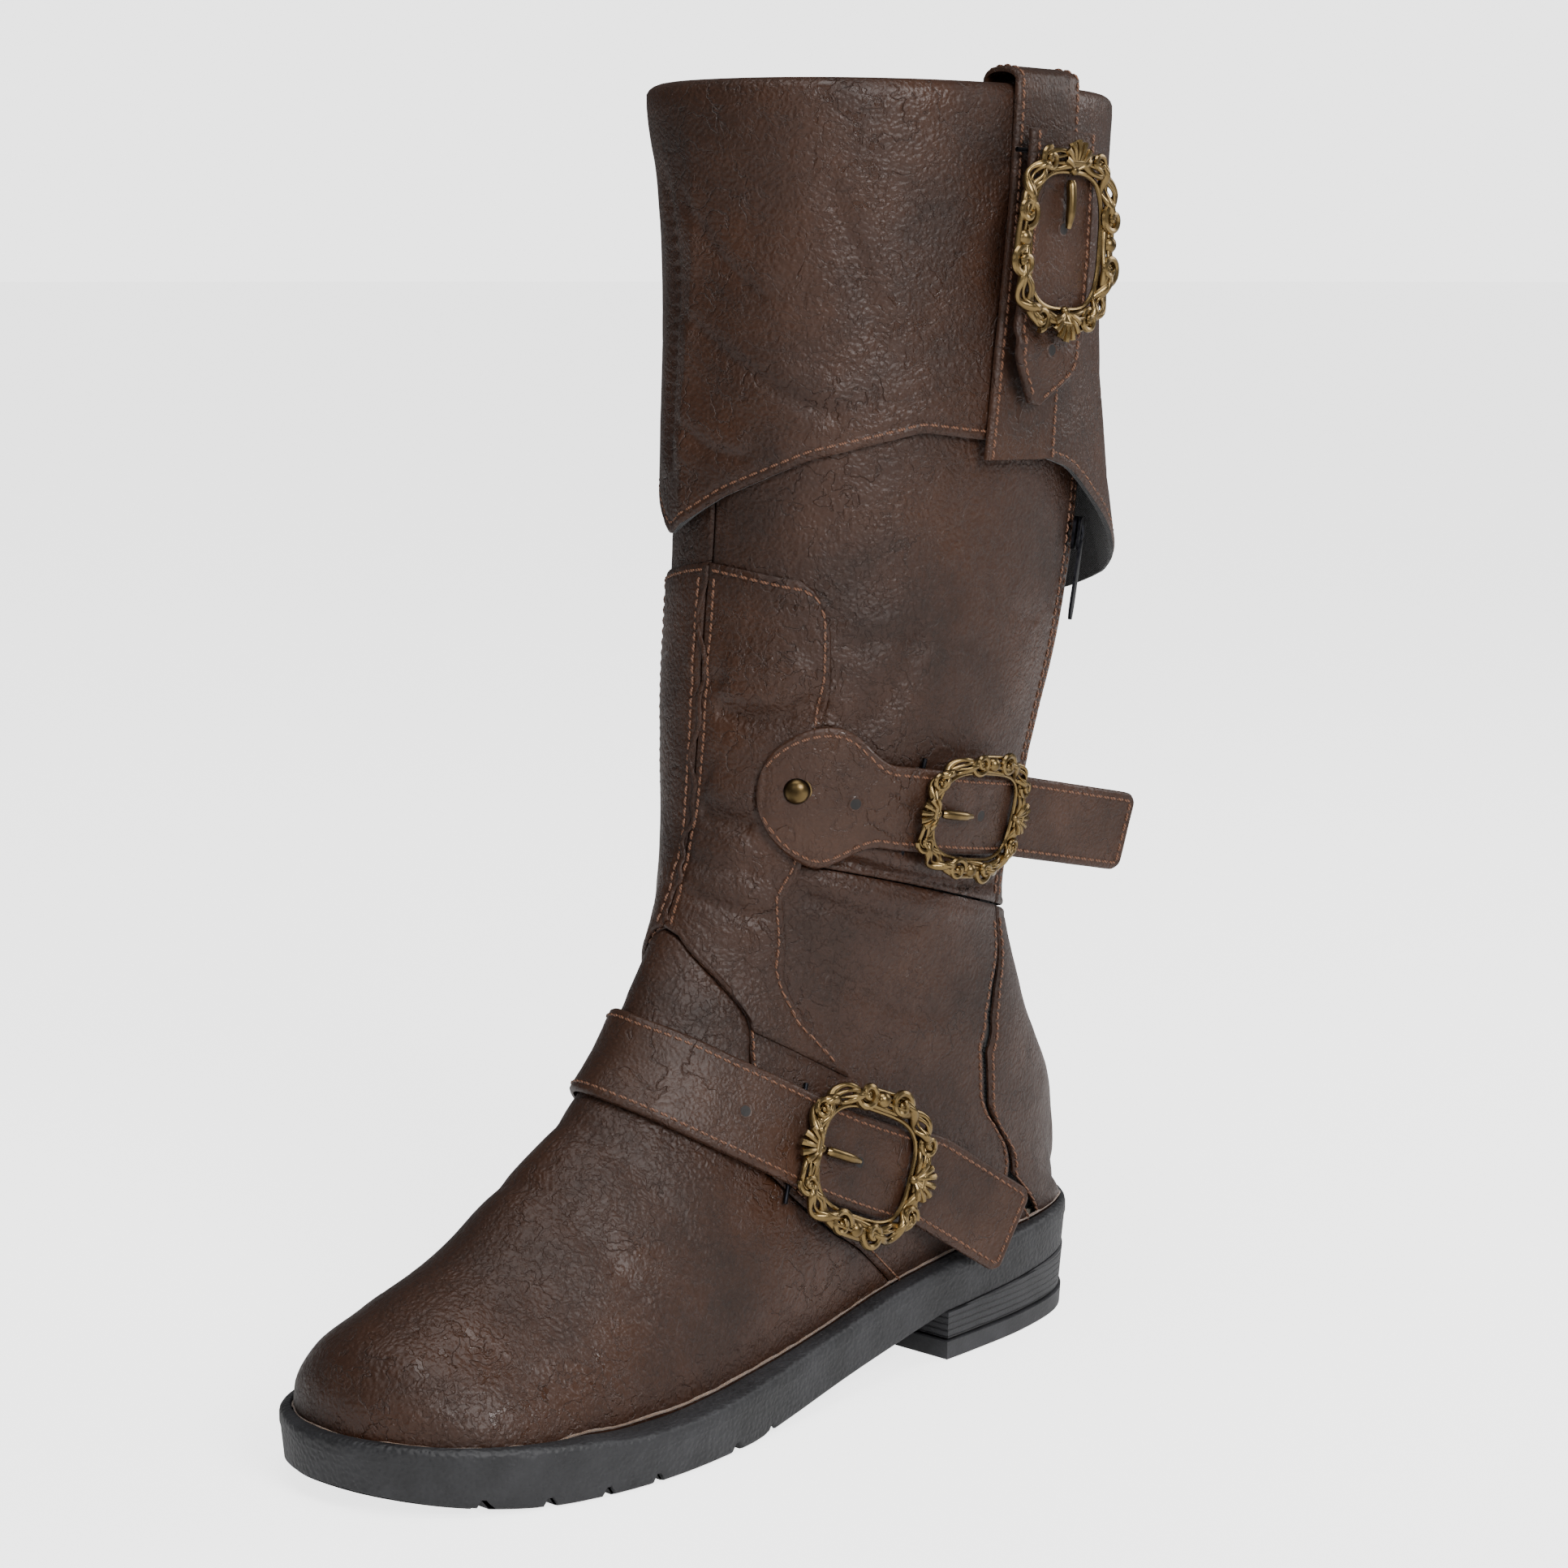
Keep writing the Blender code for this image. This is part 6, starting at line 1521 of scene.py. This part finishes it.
@dataclass
class Buckle:
    """A cast buckle of twining vines: frame with scrolls and two shell crests, its bar and a short prong.

    Attributes:
        name: Its name in the frame.
        strap: The strap that it is on.
        breadth: Its size across the strap.
    """

    name: str
    strap: Strap
    breadth: float

    def settle(self) -> None:
        """Finds its middle and directions on the strap."""
        s = self.strap
        self.length = s.buckle_length
        self.top = s.lift + STRAP
        self.centre, self.out = s.surface.snap(s.surface.at(*s.buckle_mark), 0)
        self.across = unit(np.cross(self.out, s.direction))
        self.along = np.cross(self.across, self.out)

    def place(self, a: float, b: float, h: float) -> Array:
        """A point from its distances along, across and out."""
        return self.centre + self.along * a + self.across * b + self.out * h

    def under(self, a: float, b: float) -> float:
        """The height of the surface under a point, from the buckle's own plane."""
        on, _ = self.strap.surface.snap(self.place(a, b, 0), 0)
        return float(np.dot(on - self.centre, self.out))

    def plane(self, a: float, b: float) -> float:
        """The height of the rigid frame's middle: it bends less than the surface under it."""
        height, middle = self.under(a, b), self.under(a, 0.0)
        return middle + (height - middle) * (0.45 if height < middle else 1.0) + self.top + PRONG_CLEAR + FRAME_RISE

    def line(self, flat: Array, lift: float | Array = 0.0) -> Array:
        """A line of the buckle's own plane, as distances along and across, brought onto it."""
        lift = np.broadcast_to(np.asarray(lift, float), (len(flat),))
        return np.array([self.place(a, b, self.plane(a, b) + h) for (a, b), h in zip(flat, lift)])

    def outline(self, count: int, inset: float) -> Array:
        """The frame's rounded outline moved in."""
        turn = np.linspace(0, 2 * math.pi, count, endpoint=False)
        c, s = np.cos(turn), np.sin(turn)
        power = 2 / 3.2
        a = np.sign(c) * np.abs(c) ** power * (self.length / 2 - inset)
        b = np.sign(s) * np.abs(s) ** power * (self.breadth / 2 - inset)
        return np.stack([a, b], 1)

    def build(self) -> None:
        """Makes the frame, bar and prong."""
        self.settle()
        self.build_frame()
        scale = self.breadth / 0.046
        bar = Piece()
        at = -self.length / 2 + 0.0025
        half = self.breadth / 2 - CAST_TUBE * self.breadth * 2.0
        height = self.top - STRAP - PRONG_CLEAR - BAR_RADIUS
        line = np.array([self.place(at, b, self.under(at, b) + height) for b in np.linspace(-half, half, 9)])
        bar.add_tube(line, BAR_RADIUS, 10, out=self.out)
        bar.make(f"{self.name}_pin", (DARK_STEEL,), self.name, (f"{self.name}_bar",))
        tube = CAST_TUBE * self.breadth
        root = -self.length / 2 + tube * 1.55 * 2.05 + 0.0011 + PRONG_CLEAR
        reach = 0.24 * self.length
        prong = Piece()
        steps = np.linspace(-0.0006, reach, 16)
        points = np.array([self.place(root + t, 0, self.under(root + t, 0) + self.top + PRONG_CLEAR + 0.0011 + 0.0004
                                      + 0.0006 * math.sin(math.pi * np.clip(t / reach, 0, 1))) for t in steps])
        radius = np.interp(steps, (-0.0006, 0.0004, reach * 0.7, reach), (0.0010, 0.00150, 0.00140, 0.00080))
        prong.add_tube(points, radius * (0.85 + 0.15 * scale), 12, out=self.out)
        prong.make(f"{self.name}_tongue", (BRASS,), f"{self.name.replace('_buckle', '')}_prong",
                   (f"{self.name}_prong",))

    def build_frame(self) -> None:
        """The frame: a base band with a rolled rim, twining vines, paired scrolls and shell crests."""
        piece = Piece()
        w = 0.092 * self.breadth  # half the vines' width
        crest = 0.078 * self.breadth
        piece.add_tube(self.line(self.outline(200, w * 1.76), -0.0006), w * 0.17, 8, closed=True, out=self.out)
        waves = 5
        phase = np.linspace(0, 2 * math.pi * waves, 560, endpoint=False)
        base = self.outline(560, w * 0.98)
        ahead = unit(np.roll(base, -1, axis=0) - np.roll(base, 1, axis=0))
        side = np.stack([ahead[:, 1], -ahead[:, 0]], 1)
        for shift in (0.0, math.pi):
            for weight, reach, lift in ((0.34, 0.60, 0.0), (0.22, 0.22, 0.0006)):
                twine = base + side * (w * reach * np.sin(phase + shift + (1 - reach)))[:, None]
                height = lift + 0.0008 * np.cos(phase * 2 + shift * 1.5)
                thick = w * weight * (0.82 + 0.28 * np.cos(phase * 2 + 1))
                piece.add_tube(self.line(twine, height), thick, 9, closed=True, out=self.out)
        for end in (-1, 1):
            self.add_crest(piece, end, crest)
            for hand in (-1, 1):
                self.add_scroll(piece, (end * self.length * 0.13, hand * (self.breadth / 2 - w * 0.95)), w * 1.02,
                                end * hand)
                self.add_scroll(piece, (end * (self.length / 2 - w * 1.1), hand * self.breadth * 0.235), w * 0.80,
                                -end * hand)
        for hand in (-1, 1):
            self.add_bead(piece, (0.0, hand * (self.breadth / 2 - w * 0.95)), w * 0.62, 0.0011)
        piece.make(f"{self.name}_casting", (BRASS,), self.name, (f"{self.name}_frame",))

    def add_scroll(self, piece: Piece, at: tuple[float, float], size: float, hand: int) -> None:
        """Adds a spiral that rises towards its eye."""
        t = np.linspace(0, 1, 64)
        turn = 2 * math.pi * 1.3 * t
        radius = size * (1 - 0.80 * t)
        flat = np.stack([at[0] + radius * np.cos(turn * hand) * hand, at[1] + radius * np.sin(turn * hand)], 1)
        piece.add_tube(self.line(flat, 0.0006 + 0.0009 * t), size * (0.27 - 0.05 * t), 8, out=self.out)
        self.add_bead(piece, at, size * 0.26, 0.0014)

    def add_bead(self, piece: Piece, at: tuple[float, float], radius: float, lift: float) -> None:
        """Adds a domed bead."""
        rows, turn = [], np.linspace(0, 2 * math.pi, 14, endpoint=False)
        height = self.plane(*at) + lift - radius * 0.5
        for tilt in np.linspace(0, math.pi / 2 * 0.94, 6):
            rows.append([self.place(at[0] + radius * math.cos(tilt) * math.cos(t),
                                    at[1] + radius * math.cos(tilt) * math.sin(t),
                                    height + radius * math.sin(tilt)) for t in turn])
        grid = np.array(rows)
        faces = grid_faces(6, 14, True) + [tuple(range(14))[::-1], tuple(range(70, 84))]
        piece.add(grid, faces)

    def add_crest(self, piece: Piece, end: int, w: float) -> None:
        """Adds a fluted shell at one end of the frame."""
        foot = (end * (self.length / 2 - w * 1.95), 0.0)
        ribs, reach = 7, w * 2.3
        for k in range(ribs):
            tilt = (k - (ribs - 1) / 2) / (ribs - 1) * 2.15
            long = reach * (1.0 - 0.30 * abs(tilt / 1.075) ** 2)
            t = np.linspace(0.10, 1, 16)
            flat = np.stack([foot[0] + end * long * t * math.cos(tilt), foot[1] + long * t * math.sin(tilt)], 1)
            lift = 0.0004 + 0.0013 * np.sin(t * math.pi * 0.75)
            piece.add_tube(self.line(flat, lift), w * (0.10 + 0.24 * t), 8, out=self.out)
        self.add_bead(piece, foot, w * 0.42, 0.0010)


@dataclass
class TopBand:
    """The band that comes out of the boot, stands in a loop over the rim and runs down over the cuff."""

    width: float = 0.027
    marks: Edge = ((0.512, 16.2), (0.508, 15.6), (0.500, 15.2), (0.494, 14.9), (0.486, 14.25))
    rise: float = 0.0025

    def place_of(self, ring: float) -> float:
        """Its middle's place at a ring."""
        band = np.array(self.marks)
        return float(np.interp(-ring, -band[:, 1], band[:, 0]))

    def build(self) -> None:
        """Makes the band with its stitches."""
        rim_place = self.marks[0][0]
        inside = -WALL - INSIDE_CLEAR - CUFF - 0.0016
        rim = float(shell(rim_place, RIM, 0.0)[2])
        route = [(inside, rim - 0.034 + 0.003 * k) for k in range(11)] + [(inside, rim - 0.001)]
        half = (cuff_out(rim_place, RIM) + STRAP_GAP - inside) / 2
        for turn in np.linspace(0.06, 0.94, 15) * math.pi:
            route.append((inside + half - half * math.cos(turn), rim + 0.001 + self.rise * math.sin(turn)))
        scale = np.linspace(13.5, 16.5, 61)
        tops = np.array([shell(rim_place, r, 0.0)[2] for r in scale])
        share = np.array([-1, -0.985, -0.95, -0.88, -0.76, -0.5, 0, 0.5, 0.76, 0.88, 0.95, 0.985, 1])
        route = np.array(route)
        lead = unit(np.gradient(route, axis=0))
        away = np.stack([-lead[:, 1], lead[:, 0]], 1)

        def thickness(c: float) -> float:
            """How thick the band is at a share of its half width: less where its edge is turned."""
            return STRAP - 0.0008 * max(0.0, 1 - (1 - abs(c)) * self.width / 2 / EDGE_TURN) ** 2

        def looped(step: tuple[Array, Array], c: float, move: float) -> Array:
            """A point where the band stands in its loop."""
            (out, z), (step_out, step_z) = step
            thick = move * thickness(c)
            ring = float(np.interp(z + step_z * thick, tops, scale))
            return beside(self.place_of(ring), ring, c * self.width / 2, out + step_out * thick)

        def laid(ring: float, c: float, move: float) -> Array:
            """A point where the band lies on the cuff."""
            place = self.place_of(ring)
            base = float(np.maximum(cuff_out(place + c * self.width / 2 / 0.19, ring), cuff_out(place, ring)))
            return beside(place, ring, c * self.width / 2, base + STRAP_GAP + move * thickness(c))

        rings = np.linspace(RIM - 0.06, self.marks[-1][1], 70)
        under, over = (np.array([[looped(step, c, move) for c in share] for step in zip(route, away)]
                                + [[laid(ring, c, move) for c in share] for ring in rings]) for move in (0.0, 1.0))
        piece = Piece()
        piece.add_sheet(under, over)
        normals = unit(over - under)
        for column in (3, 9):
            where = over[:, column] * 0.9 + over[:, column + (1 if column == 3 else 0)] * 0.1
            piece.add_stitches(where, normals[:, column], finish=1, sink=0.0001)
        piece.make("top_band_leather", (STRAP_LEATHER, TAN_THREAD), nodes=("top_strap_base",))


# ---------------------------------------------------------------- sole

HEEL_BREAST = float(graded(0, 60.0, 0)[1])
TREAD_END = float(graded(0, -32.0, 0)[1])
SIDEWALL = 0.0105
HEEL_LIFT = 0.0058
TOE_SPRING = 0.0070


def sole_outline(samples: int = 480) -> Array:
    """The rubber's outline on the ground plane, toe tip first."""
    points = curve_through(SOLE_RIGHT + SOLE_LEFT, samples, closed=True)
    return graded(points[:, 0], points[:, 1], 0 * points[:, 0])[:, :2]


def feather_height(y: float | Array) -> Array:
    """Height of the line where the upper meets the sole."""
    ends = last_point(1.0, np.linspace(0, HEEL_LAST_RING, 60))
    order = np.argsort(ends[:, 1])
    start = last_point(0.0, 0.0)
    ys = np.concatenate([[start[1]], ends[order, 1]])
    return np.interp(y, ys, np.concatenate([[start[2]], ends[order, 2]]))


def bottom_height(y: float | Array) -> Array:
    """Height of the rubber's underside."""
    y = np.asarray(y, float)
    toe, spring_end = (graded(0, at, 0)[1] for at in (-151.0, -98.0))
    lift = TOE_SPRING * np.clip((spring_end - y) / (spring_end - toe), 0, 1) ** 1.7
    waist = np.clip((y - TREAD_END) / (HEEL_BREAST - TREAD_END), 0, 1)
    heel_end = graded(0, 147.0, 0)[1]
    seat = np.clip((y - HEEL_BREAST) / (heel_end - HEEL_BREAST), 0, 1)
    breast = feather_height(HEEL_BREAST) - SIDEWALL
    return lift + breast * waist**1.25 + seat * (feather_height(heel_end) - SIDEWALL - breast)


@dataclass
class SoleUnit:
    """The rubber: a lip over a pebbled sidewall, a grooved tread and a stacked heel.

    Attributes:
        groove_step: From one groove of the tread to the next.
        groove_wide: A groove's width.
        groove_deep: Its depth.
    """

    groove_step: float = GROOVE_STEP
    groove_wide: float = 0.0034
    groove_deep: float = 0.0022

    def build(self) -> None:
        """Makes the sole's pieces."""
        self.outline = sole_outline()
        ahead = np.roll(self.outline, -1, axis=0) - np.roll(self.outline, 1, axis=0)
        self.inward = unit(np.stack([-ahead[:, 1], ahead[:, 0]], 1))
        if np.sum(self.inward * (self.outline.mean(axis=0) - self.outline)) < 0:
            self.inward = -self.inward
        self.build_sidewall()
        self.build_lip()
        self.build_heel()
        self.build_feather()

    def ring(self, inset: float | Array, height: Array) -> Array:
        """A closed line round the sole."""
        flat = self.outline + self.inward * np.broadcast_to(np.asarray(inset, float), (len(self.outline),))[:, None]
        return np.concatenate([flat, height[:, None]], 1)

    def build_sidewall(self) -> None:
        """The sidewall and the tread under it."""
        y = self.outline[:, 1]
        top, low = feather_height(y), self.tread(y)
        rows = [self.ring(0.006, top), self.ring(0.0, top)]
        for t in np.linspace(0.06, 0.94, 14):
            rows.append(self.ring(0.0010 * t + 0.0002, top + (low - top) * t))
        rows.append(self.ring(0.0016, low + 0.0002))
        rows.append(self.ring(0.0024, low))
        wall = np.array(rows)
        piece = Piece()
        count = len(y)
        piece.add(wall, grid_faces(len(wall), count, True))
        self.add_plate(piece, self.tread, 0.0024, 300)
        self.add_plate(piece, lambda v: feather_height(v) - SEAT_GAP - 0.0002, 0.0058, 80)
        piece.make("sidewall_and_tread", (SIDEWALL_RUBBER,), nodes=("outsole",))

    def tread(self, y: Array) -> Array:
        """The tread's height with its grooves."""
        y = np.asarray(y, float)
        height = bottom_height(y)
        for k in range(GROOVES):
            groove = GROOVES_FROM + self.groove_step * k
            if abs(groove) > 0.006:
                inside = np.abs(y - groove)
                height = height + np.interp(inside, [0.28 * self.groove_wide, 0.5 * self.groove_wide],
                                            [self.groove_deep, 0.0])
        return height

    def add_plate(self, piece: Piece, height: Callable[[Array], Array], inset: float, rows: int) -> None:
        """Adds a flat cover inside the outline at a height for each y."""
        flat = self.outline + self.inward * inset
        toe, heel = int(np.argmin(flat[:, 1])), int(np.argmax(flat[:, 1]))
        roll = np.roll(flat, -toe, axis=0)
        turn = (heel - toe) % len(flat)
        one, two = roll[:turn + 1], np.concatenate([roll[turn:], roll[:1]])
        low = flat[:, 1].min()
        ys = low + (flat[:, 1].max() - low) * (1 - np.cos(np.linspace(0.012, math.pi - 0.012, rows))) / 2
        ends = []
        for line in (one, two):
            order = np.argsort(line[:, 1])
            ends.append(np.interp(ys, line[order, 1], line[order, 0]))
        share = np.linspace(0, 1, 25)[None]
        x = ends[0][:, None] + (ends[1] - ends[0])[:, None] * share
        z = height(ys)
        grid = np.stack([x, np.broadcast_to(ys[:, None], x.shape), np.broadcast_to(z[:, None], x.shape)], -1)
        piece.add_sheet(grid - (0, 0, 0.0001), grid + (0, 0, 0.0001))

    def build_lip(self) -> None:
        """The lip that hugs the upper."""
        places, rings = np.meshgrid(np.linspace(-1, 1, 201), np.linspace(0.0, HEEL_LAST_RING + 0.4, 140))
        upper = last_point(places, rings).reshape(-1, 3)
        near = upper[upper[:, 2] < feather_height(upper[:, 1]) + LIP_HEIGHT + 0.001]
        gap = np.array([np.linalg.norm(near[:, :2] - p, axis=1).min() for p in self.outline]) - 0.0004
        wide = np.maximum(0.0016, eased(gap, 12))
        z = feather_height(self.outline[:, 1])
        steps = ((-0.0003, -0.06), (-0.0003, 0.25), (-0.0003, 0.50), (-0.0001, 0.70), (0.0003, 0.84), (0.0011, 0.94))
        rows = [self.ring(0.004, z - 0.0003)]
        rows += [self.ring(np.minimum(inset + 0.0003, wide), z + LIP_HEIGHT * up) for inset, up in steps]
        rows += [self.ring(wide * 0.8 + 0.0003, z + LIP_HEIGHT * 0.97), self.ring(wide, z + LIP_HEIGHT * 0.9),
                 self.ring(wide, z + 0.0002)]
        piece = Piece()
        piece.add(np.array(rows + rows[:1]), grid_faces(len(rows) + 1, len(z), True))
        piece.make("lip_of_sole", (SIDEWALL_RUBBER,), nodes=("sole_lip",))

    def build_heel(self) -> None:
        """The stacked heel and its top lift."""
        for name, node, finish, low, high, inset, taper in (
                ("heel_stack", "heel_block", HEEL_RUBBER, lambda v: HEEL_LIFT + SEAT_GAP + 0 * v,
                 lambda v: bottom_height(v) - 0.0001, 0.0008, 0.0012),
                ("heel_tip", "heel_top_lift", LIFT_RUBBER, lambda v: 0 * v,
                 lambda v: HEEL_LIFT + 0 * v, 0.0012, 0.0004)):
            flat = self.outline + self.inward * inset
            keep = flat[:, 1] > HEEL_BREAST + SEAT_GAP
            first = int(np.argmax(keep & ~np.roll(keep, 1)))
            order = np.roll(np.arange(len(flat)), -first)
            line = flat[order][keep[order]]
            middle = (line[0] + line[-1]) / 2
            breast = np.linspace(line[-1], line[0], 40)[1:-1]
            ring = np.concatenate([line, breast])
            inward = unit(middle + (0, 0.03) - ring)
            piece, rows = Piece(), []
            z_low, z_high = low(ring[:, 1]), high(ring[:, 1])
            for t in (0.0, 0.03, 0.1, 0.3, 0.5, 0.7, 0.9, 0.97, 1.0):
                edge = 0.0006 * (1 if t in (0.0, 1.0) else 0)
                at = ring + inward * (taper * (1 - t) + edge)
                rows.append(np.concatenate([at, (z_low + (z_high - z_low) * t)[:, None]], 1))
            grid = np.array(rows)
            piece.add(grid, grid_faces(len(rows), len(ring), True))
            for row in (grid[0], grid[-1]):
                centre = row.mean(axis=0)
                fan = [(k, (k + 1) % len(row), len(row)) for k in range(len(row))]
                piece.add(np.concatenate([row, centre[None]]), fan)
            piece.make(name, (finish,), nodes=(node,))

    def build_feather(self) -> None:
        """The frayed tan line where the upper meets the rubber."""
        line = self.ring(0.0, feather_height(self.outline[:, 1]) + LIP_HEIGHT * 0.98)
        places, rings = np.meshgrid(np.linspace(-1, 1, 401), np.linspace(0.0, HEEL_LAST_RING + 0.4, 200))
        upper = last_point(places, rings).reshape(-1, 3)
        height = feather_height(upper[:, 1]) + LIP_HEIGHT * 0.96
        near = upper[np.abs(upper[:, 2] - height) < 0.0008]
        points = np.array([near[np.argmin(np.linalg.norm(near[:, :2] - p[:2], axis=1))] for p in line])
        points = eased(points, 6)
        wobble = 0.00025 * layered_noise(points, 0.004, 2, 95)
        piece = Piece()
        piece.add_tube(points + wobble[:, None], 0.00042, 6, closed=True)
        piece.make("feather_thread", (FUZZ,))


# ---------------------------------------------------------------- the boot

@dataclass
class Rivet:
    """The domed rivet on the calf strap's shield."""

    radius: float = 0.0044

    def build(self) -> None:
        """Makes the rivet with a rolled rim."""
        out = unit(last_normal(0.20, 11.76))
        up = unit(np.array([0.0, 0.0, 1.0]) - out * out[2])
        across = np.cross(up, out)
        centre = box_middle("calf_stud") - out * 0.0019
        profile = ((1.0, 0.0), (1.02, 0.10), (0.98, 0.20), (0.90, 0.22), (0.86, 0.20), (0.80, 0.36), (0.66, 0.52),
                   (0.46, 0.65), (0.24, 0.72), (0.05, 0.74))
        turn = np.linspace(0, 2 * math.pi, 32, endpoint=False)
        grid = np.array([[centre + self.radius * r * (math.cos(t) * across + math.sin(t) * up)
                          + out * self.radius * h for t in turn] for r, h in profile])
        piece = Piece()
        last = len(profile) - 1
        piece.add(grid, grid_faces(len(profile), 32, True)
                  + [tuple(range(32))[::-1], tuple(range(last * 32, (last + 1) * 32))])
        piece.make("rivet_head", (BRASS,), nodes=("calf_stud",))


@dataclass
class Boot:
    """The whole boot."""

    top_strap_width: float = 0.027
    calf_strap_width: float = 0.024
    instep_strap_width: float = 0.027
    big: tuple[float, float] = (0.053, 0.019)
    small: tuple[float, float] = (0.048, 0.014)

    def build(self) -> None:
        """Builds and dresses every sub-assembly."""
        Upper().build()
        Linings().build()
        Zip().build()
        Cuff().build()
        SoleUnit().build()
        self.build_straps()
        self.dress_hidden()

    def build_straps(self) -> None:
        """The three straps with their buckles, the band and the rivet."""
        leg = Surface(0.0, 16.0, lambda p, r: 0 * p)
        cuff = Surface(13.2, 16.0, cuff_out)
        calf = Strap("calf_strap", leg, ((0.135, 11.72), (0.24, 11.70), (0.36, 11.64), (0.50, 11.60), (0.60, 11.585),
                                         (0.70, 11.57), (0.80, 11.56)), (0.515, 11.60), self.calf_strap_width,
                     self.small[0], 0.0024, 0.048, (0.45, 0.35, -0.12), tab=(0.0205, 0.037), holes=(-0.041, 0.002))
        instep = Strap("instep_strap", leg, ((-0.66, 6.95), (-0.58, 6.86), (-0.48, 6.70), (-0.28, 6.28), (0.0, 5.92),
                                             (0.18, 6.02), (0.36, 6.36), (0.475, 6.74), (0.58, 7.25), (0.68, 7.75)),
                       (0.445, 6.62), self.instep_strap_width, self.big[0], 0.0024, 0.042, (0.12, 0.0, -0.42),
                       dip=0.001, holes=(-0.043, -0.001))
        shift = 0.504 - float(np.interp(15.39, (14.62, 14.9, 15.2, 15.6, 15.88), (0.490, 0.498, 0.507, 0.512, 0.514)))
        marks = tuple((p + shift, r) for p, r in ((0.514, 15.88), (0.512, 15.6), (0.507, 15.2), (0.498, 14.9),
                                                  (0.490, 14.62)))
        over_bar = 2 * BAR_RADIUS + 2 * PRONG_CLEAR
        top = Strap("top_strap", cuff, marks, (0.504, 15.39), self.top_strap_width, self.big[0],
                    STRAP_GAP + STRAP + over_bar + TOP_ARCH, 0.0175, (-0.16, -0.06, 0.0), dip=0.0025, pointed=True,
                    start=BAND_START, holes=(-0.004, 0.030))
        for strap, wide in ((calf, self.calf_strap_width + self.small[1]),
                            (instep, self.instep_strap_width + self.big[1]),
                            (top, self.top_strap_width + self.big[1])):
            strap.build()
            Buckle(strap.name.replace("strap", "buckle"), strap, wide).build()
        TopBand().build()
        Rivet().build()

    def dress_hidden(self) -> None:
        """Gives the frame's own pieces that stay their materials."""
        kept = {"toe_puff": STIFFENER, "heel_counter_lateral": STIFFENER, "heel_counter_medial": STIFFENER,
                "forefoot_filler": FIBRE_BOARD, "insole_board": FIBRE_BOARD, "steel_shank": SPRING_STEEL,
                "sock_liner": BLACK_LINING}
        for node, finish in kept.items():
            mesh = bpy.data.objects[node].data
            if not mesh.materials:
                mesh.materials.append(None)
            for index in range(len(mesh.materials)):
                mesh.materials[index] = finish.made()
            LOG.info("dressed %s", node)


@dataclass
class Studio:
    """The pale floor, the lights and the camera.

    Attributes:
        at: Where the camera stands.
        azimuth: Which way it looks, 0 along +Y.
        down: How far it looks down.
        lens: Its focal length in millimetres.
        paper_glow: How brightly the floor's paper shines back.
        sky: How strongly the room lights the boot.
        backdrop: How bright the room itself looks.
    """

    at: tuple[float, float, float] = (0.694, -0.641, 0.324)
    azimuth: float = 43.5
    down: float = 8.5
    lens: float = 80.1
    sky: float = 0.13
    backdrop: float = 3.0
    paper_glow: float = 2.6

    def build(self) -> None:
        """Sets the stage."""
        bpy.ops.mesh.primitive_circle_add(vertices=96, radius=60.0, fill_type="NGON", location=(0, 0, -0.0002))
        floor = bpy.context.object
        floor.name = "floor"
        paper = Plain("seamless_paper", "board", "f4f4f3", "ffffff", 400.0, 0.9).made()
        tree = paper.node_tree
        glow = tree.nodes["Principled BSDF"]
        glow.inputs["Emission Color"].default_value = (1, 1, 1, 1)
        seen = add_node(tree, "ShaderNodeLightPath").outputs["Is Camera Ray"]
        tree.links.new(spread(tree, seen, 0.0, 1.0, self.sky, self.paper_glow), glow.inputs["Emission Strength"])
        floor.data.materials.append(paper)
        camera = bpy.data.objects.new("camera", bpy.data.cameras.new("camera"))
        camera.data.lens = self.lens
        camera.data.sensor_width = 36.0
        camera.location = self.at
        camera.rotation_euler = (math.radians(90 - self.down), 0, math.radians(self.azimuth))
        bpy.context.scene.collection.objects.link(camera)
        bpy.context.scene.camera = camera
        for name, place, size, power in (
                ("key", (1.35, -0.30, 0.95), 0.6, 20.0), ("front", (0.75, -1.5, 0.9), 0.8, 4.5),
                ("top", (0.3, -0.3, 2.2), 1.2, 22.0), ("rear", (0.6, 1.5, 0.9), 0.8, 9.0)):
            lamp = bpy.data.objects.new(name, bpy.data.lights.new(name, "AREA"))
            lamp.data.size = size
            lamp.data.energy = power
            lamp.location = place
            aim = Vector((0, 0.06, 0.18)) - Vector(place)
            lamp.rotation_euler = aim.to_track_quat("-Z", "Y").to_euler()
            bpy.context.scene.collection.objects.link(lamp)
        world = bpy.data.worlds.new("studio")
        world.use_nodes = True
        shade = world.node_tree.nodes["Background"]
        shade.inputs["Color"].default_value = (1, 1, 1, 1)
        seen = add_node(world.node_tree, "ShaderNodeLightPath").outputs["Is Camera Ray"]
        world.node_tree.links.new(spread(world.node_tree, seen, 0.0, 1.0, self.sky, self.backdrop),
                                  shade.inputs["Strength"])
        bpy.context.scene.world = world


def main() -> None:
    """Builds the boot and its studio."""
    logging.basicConfig(level=logging.INFO, format="%(name)s: %(message)s")
    Studio().build()
    Boot().build()


if __name__ == "__main__":
    main()
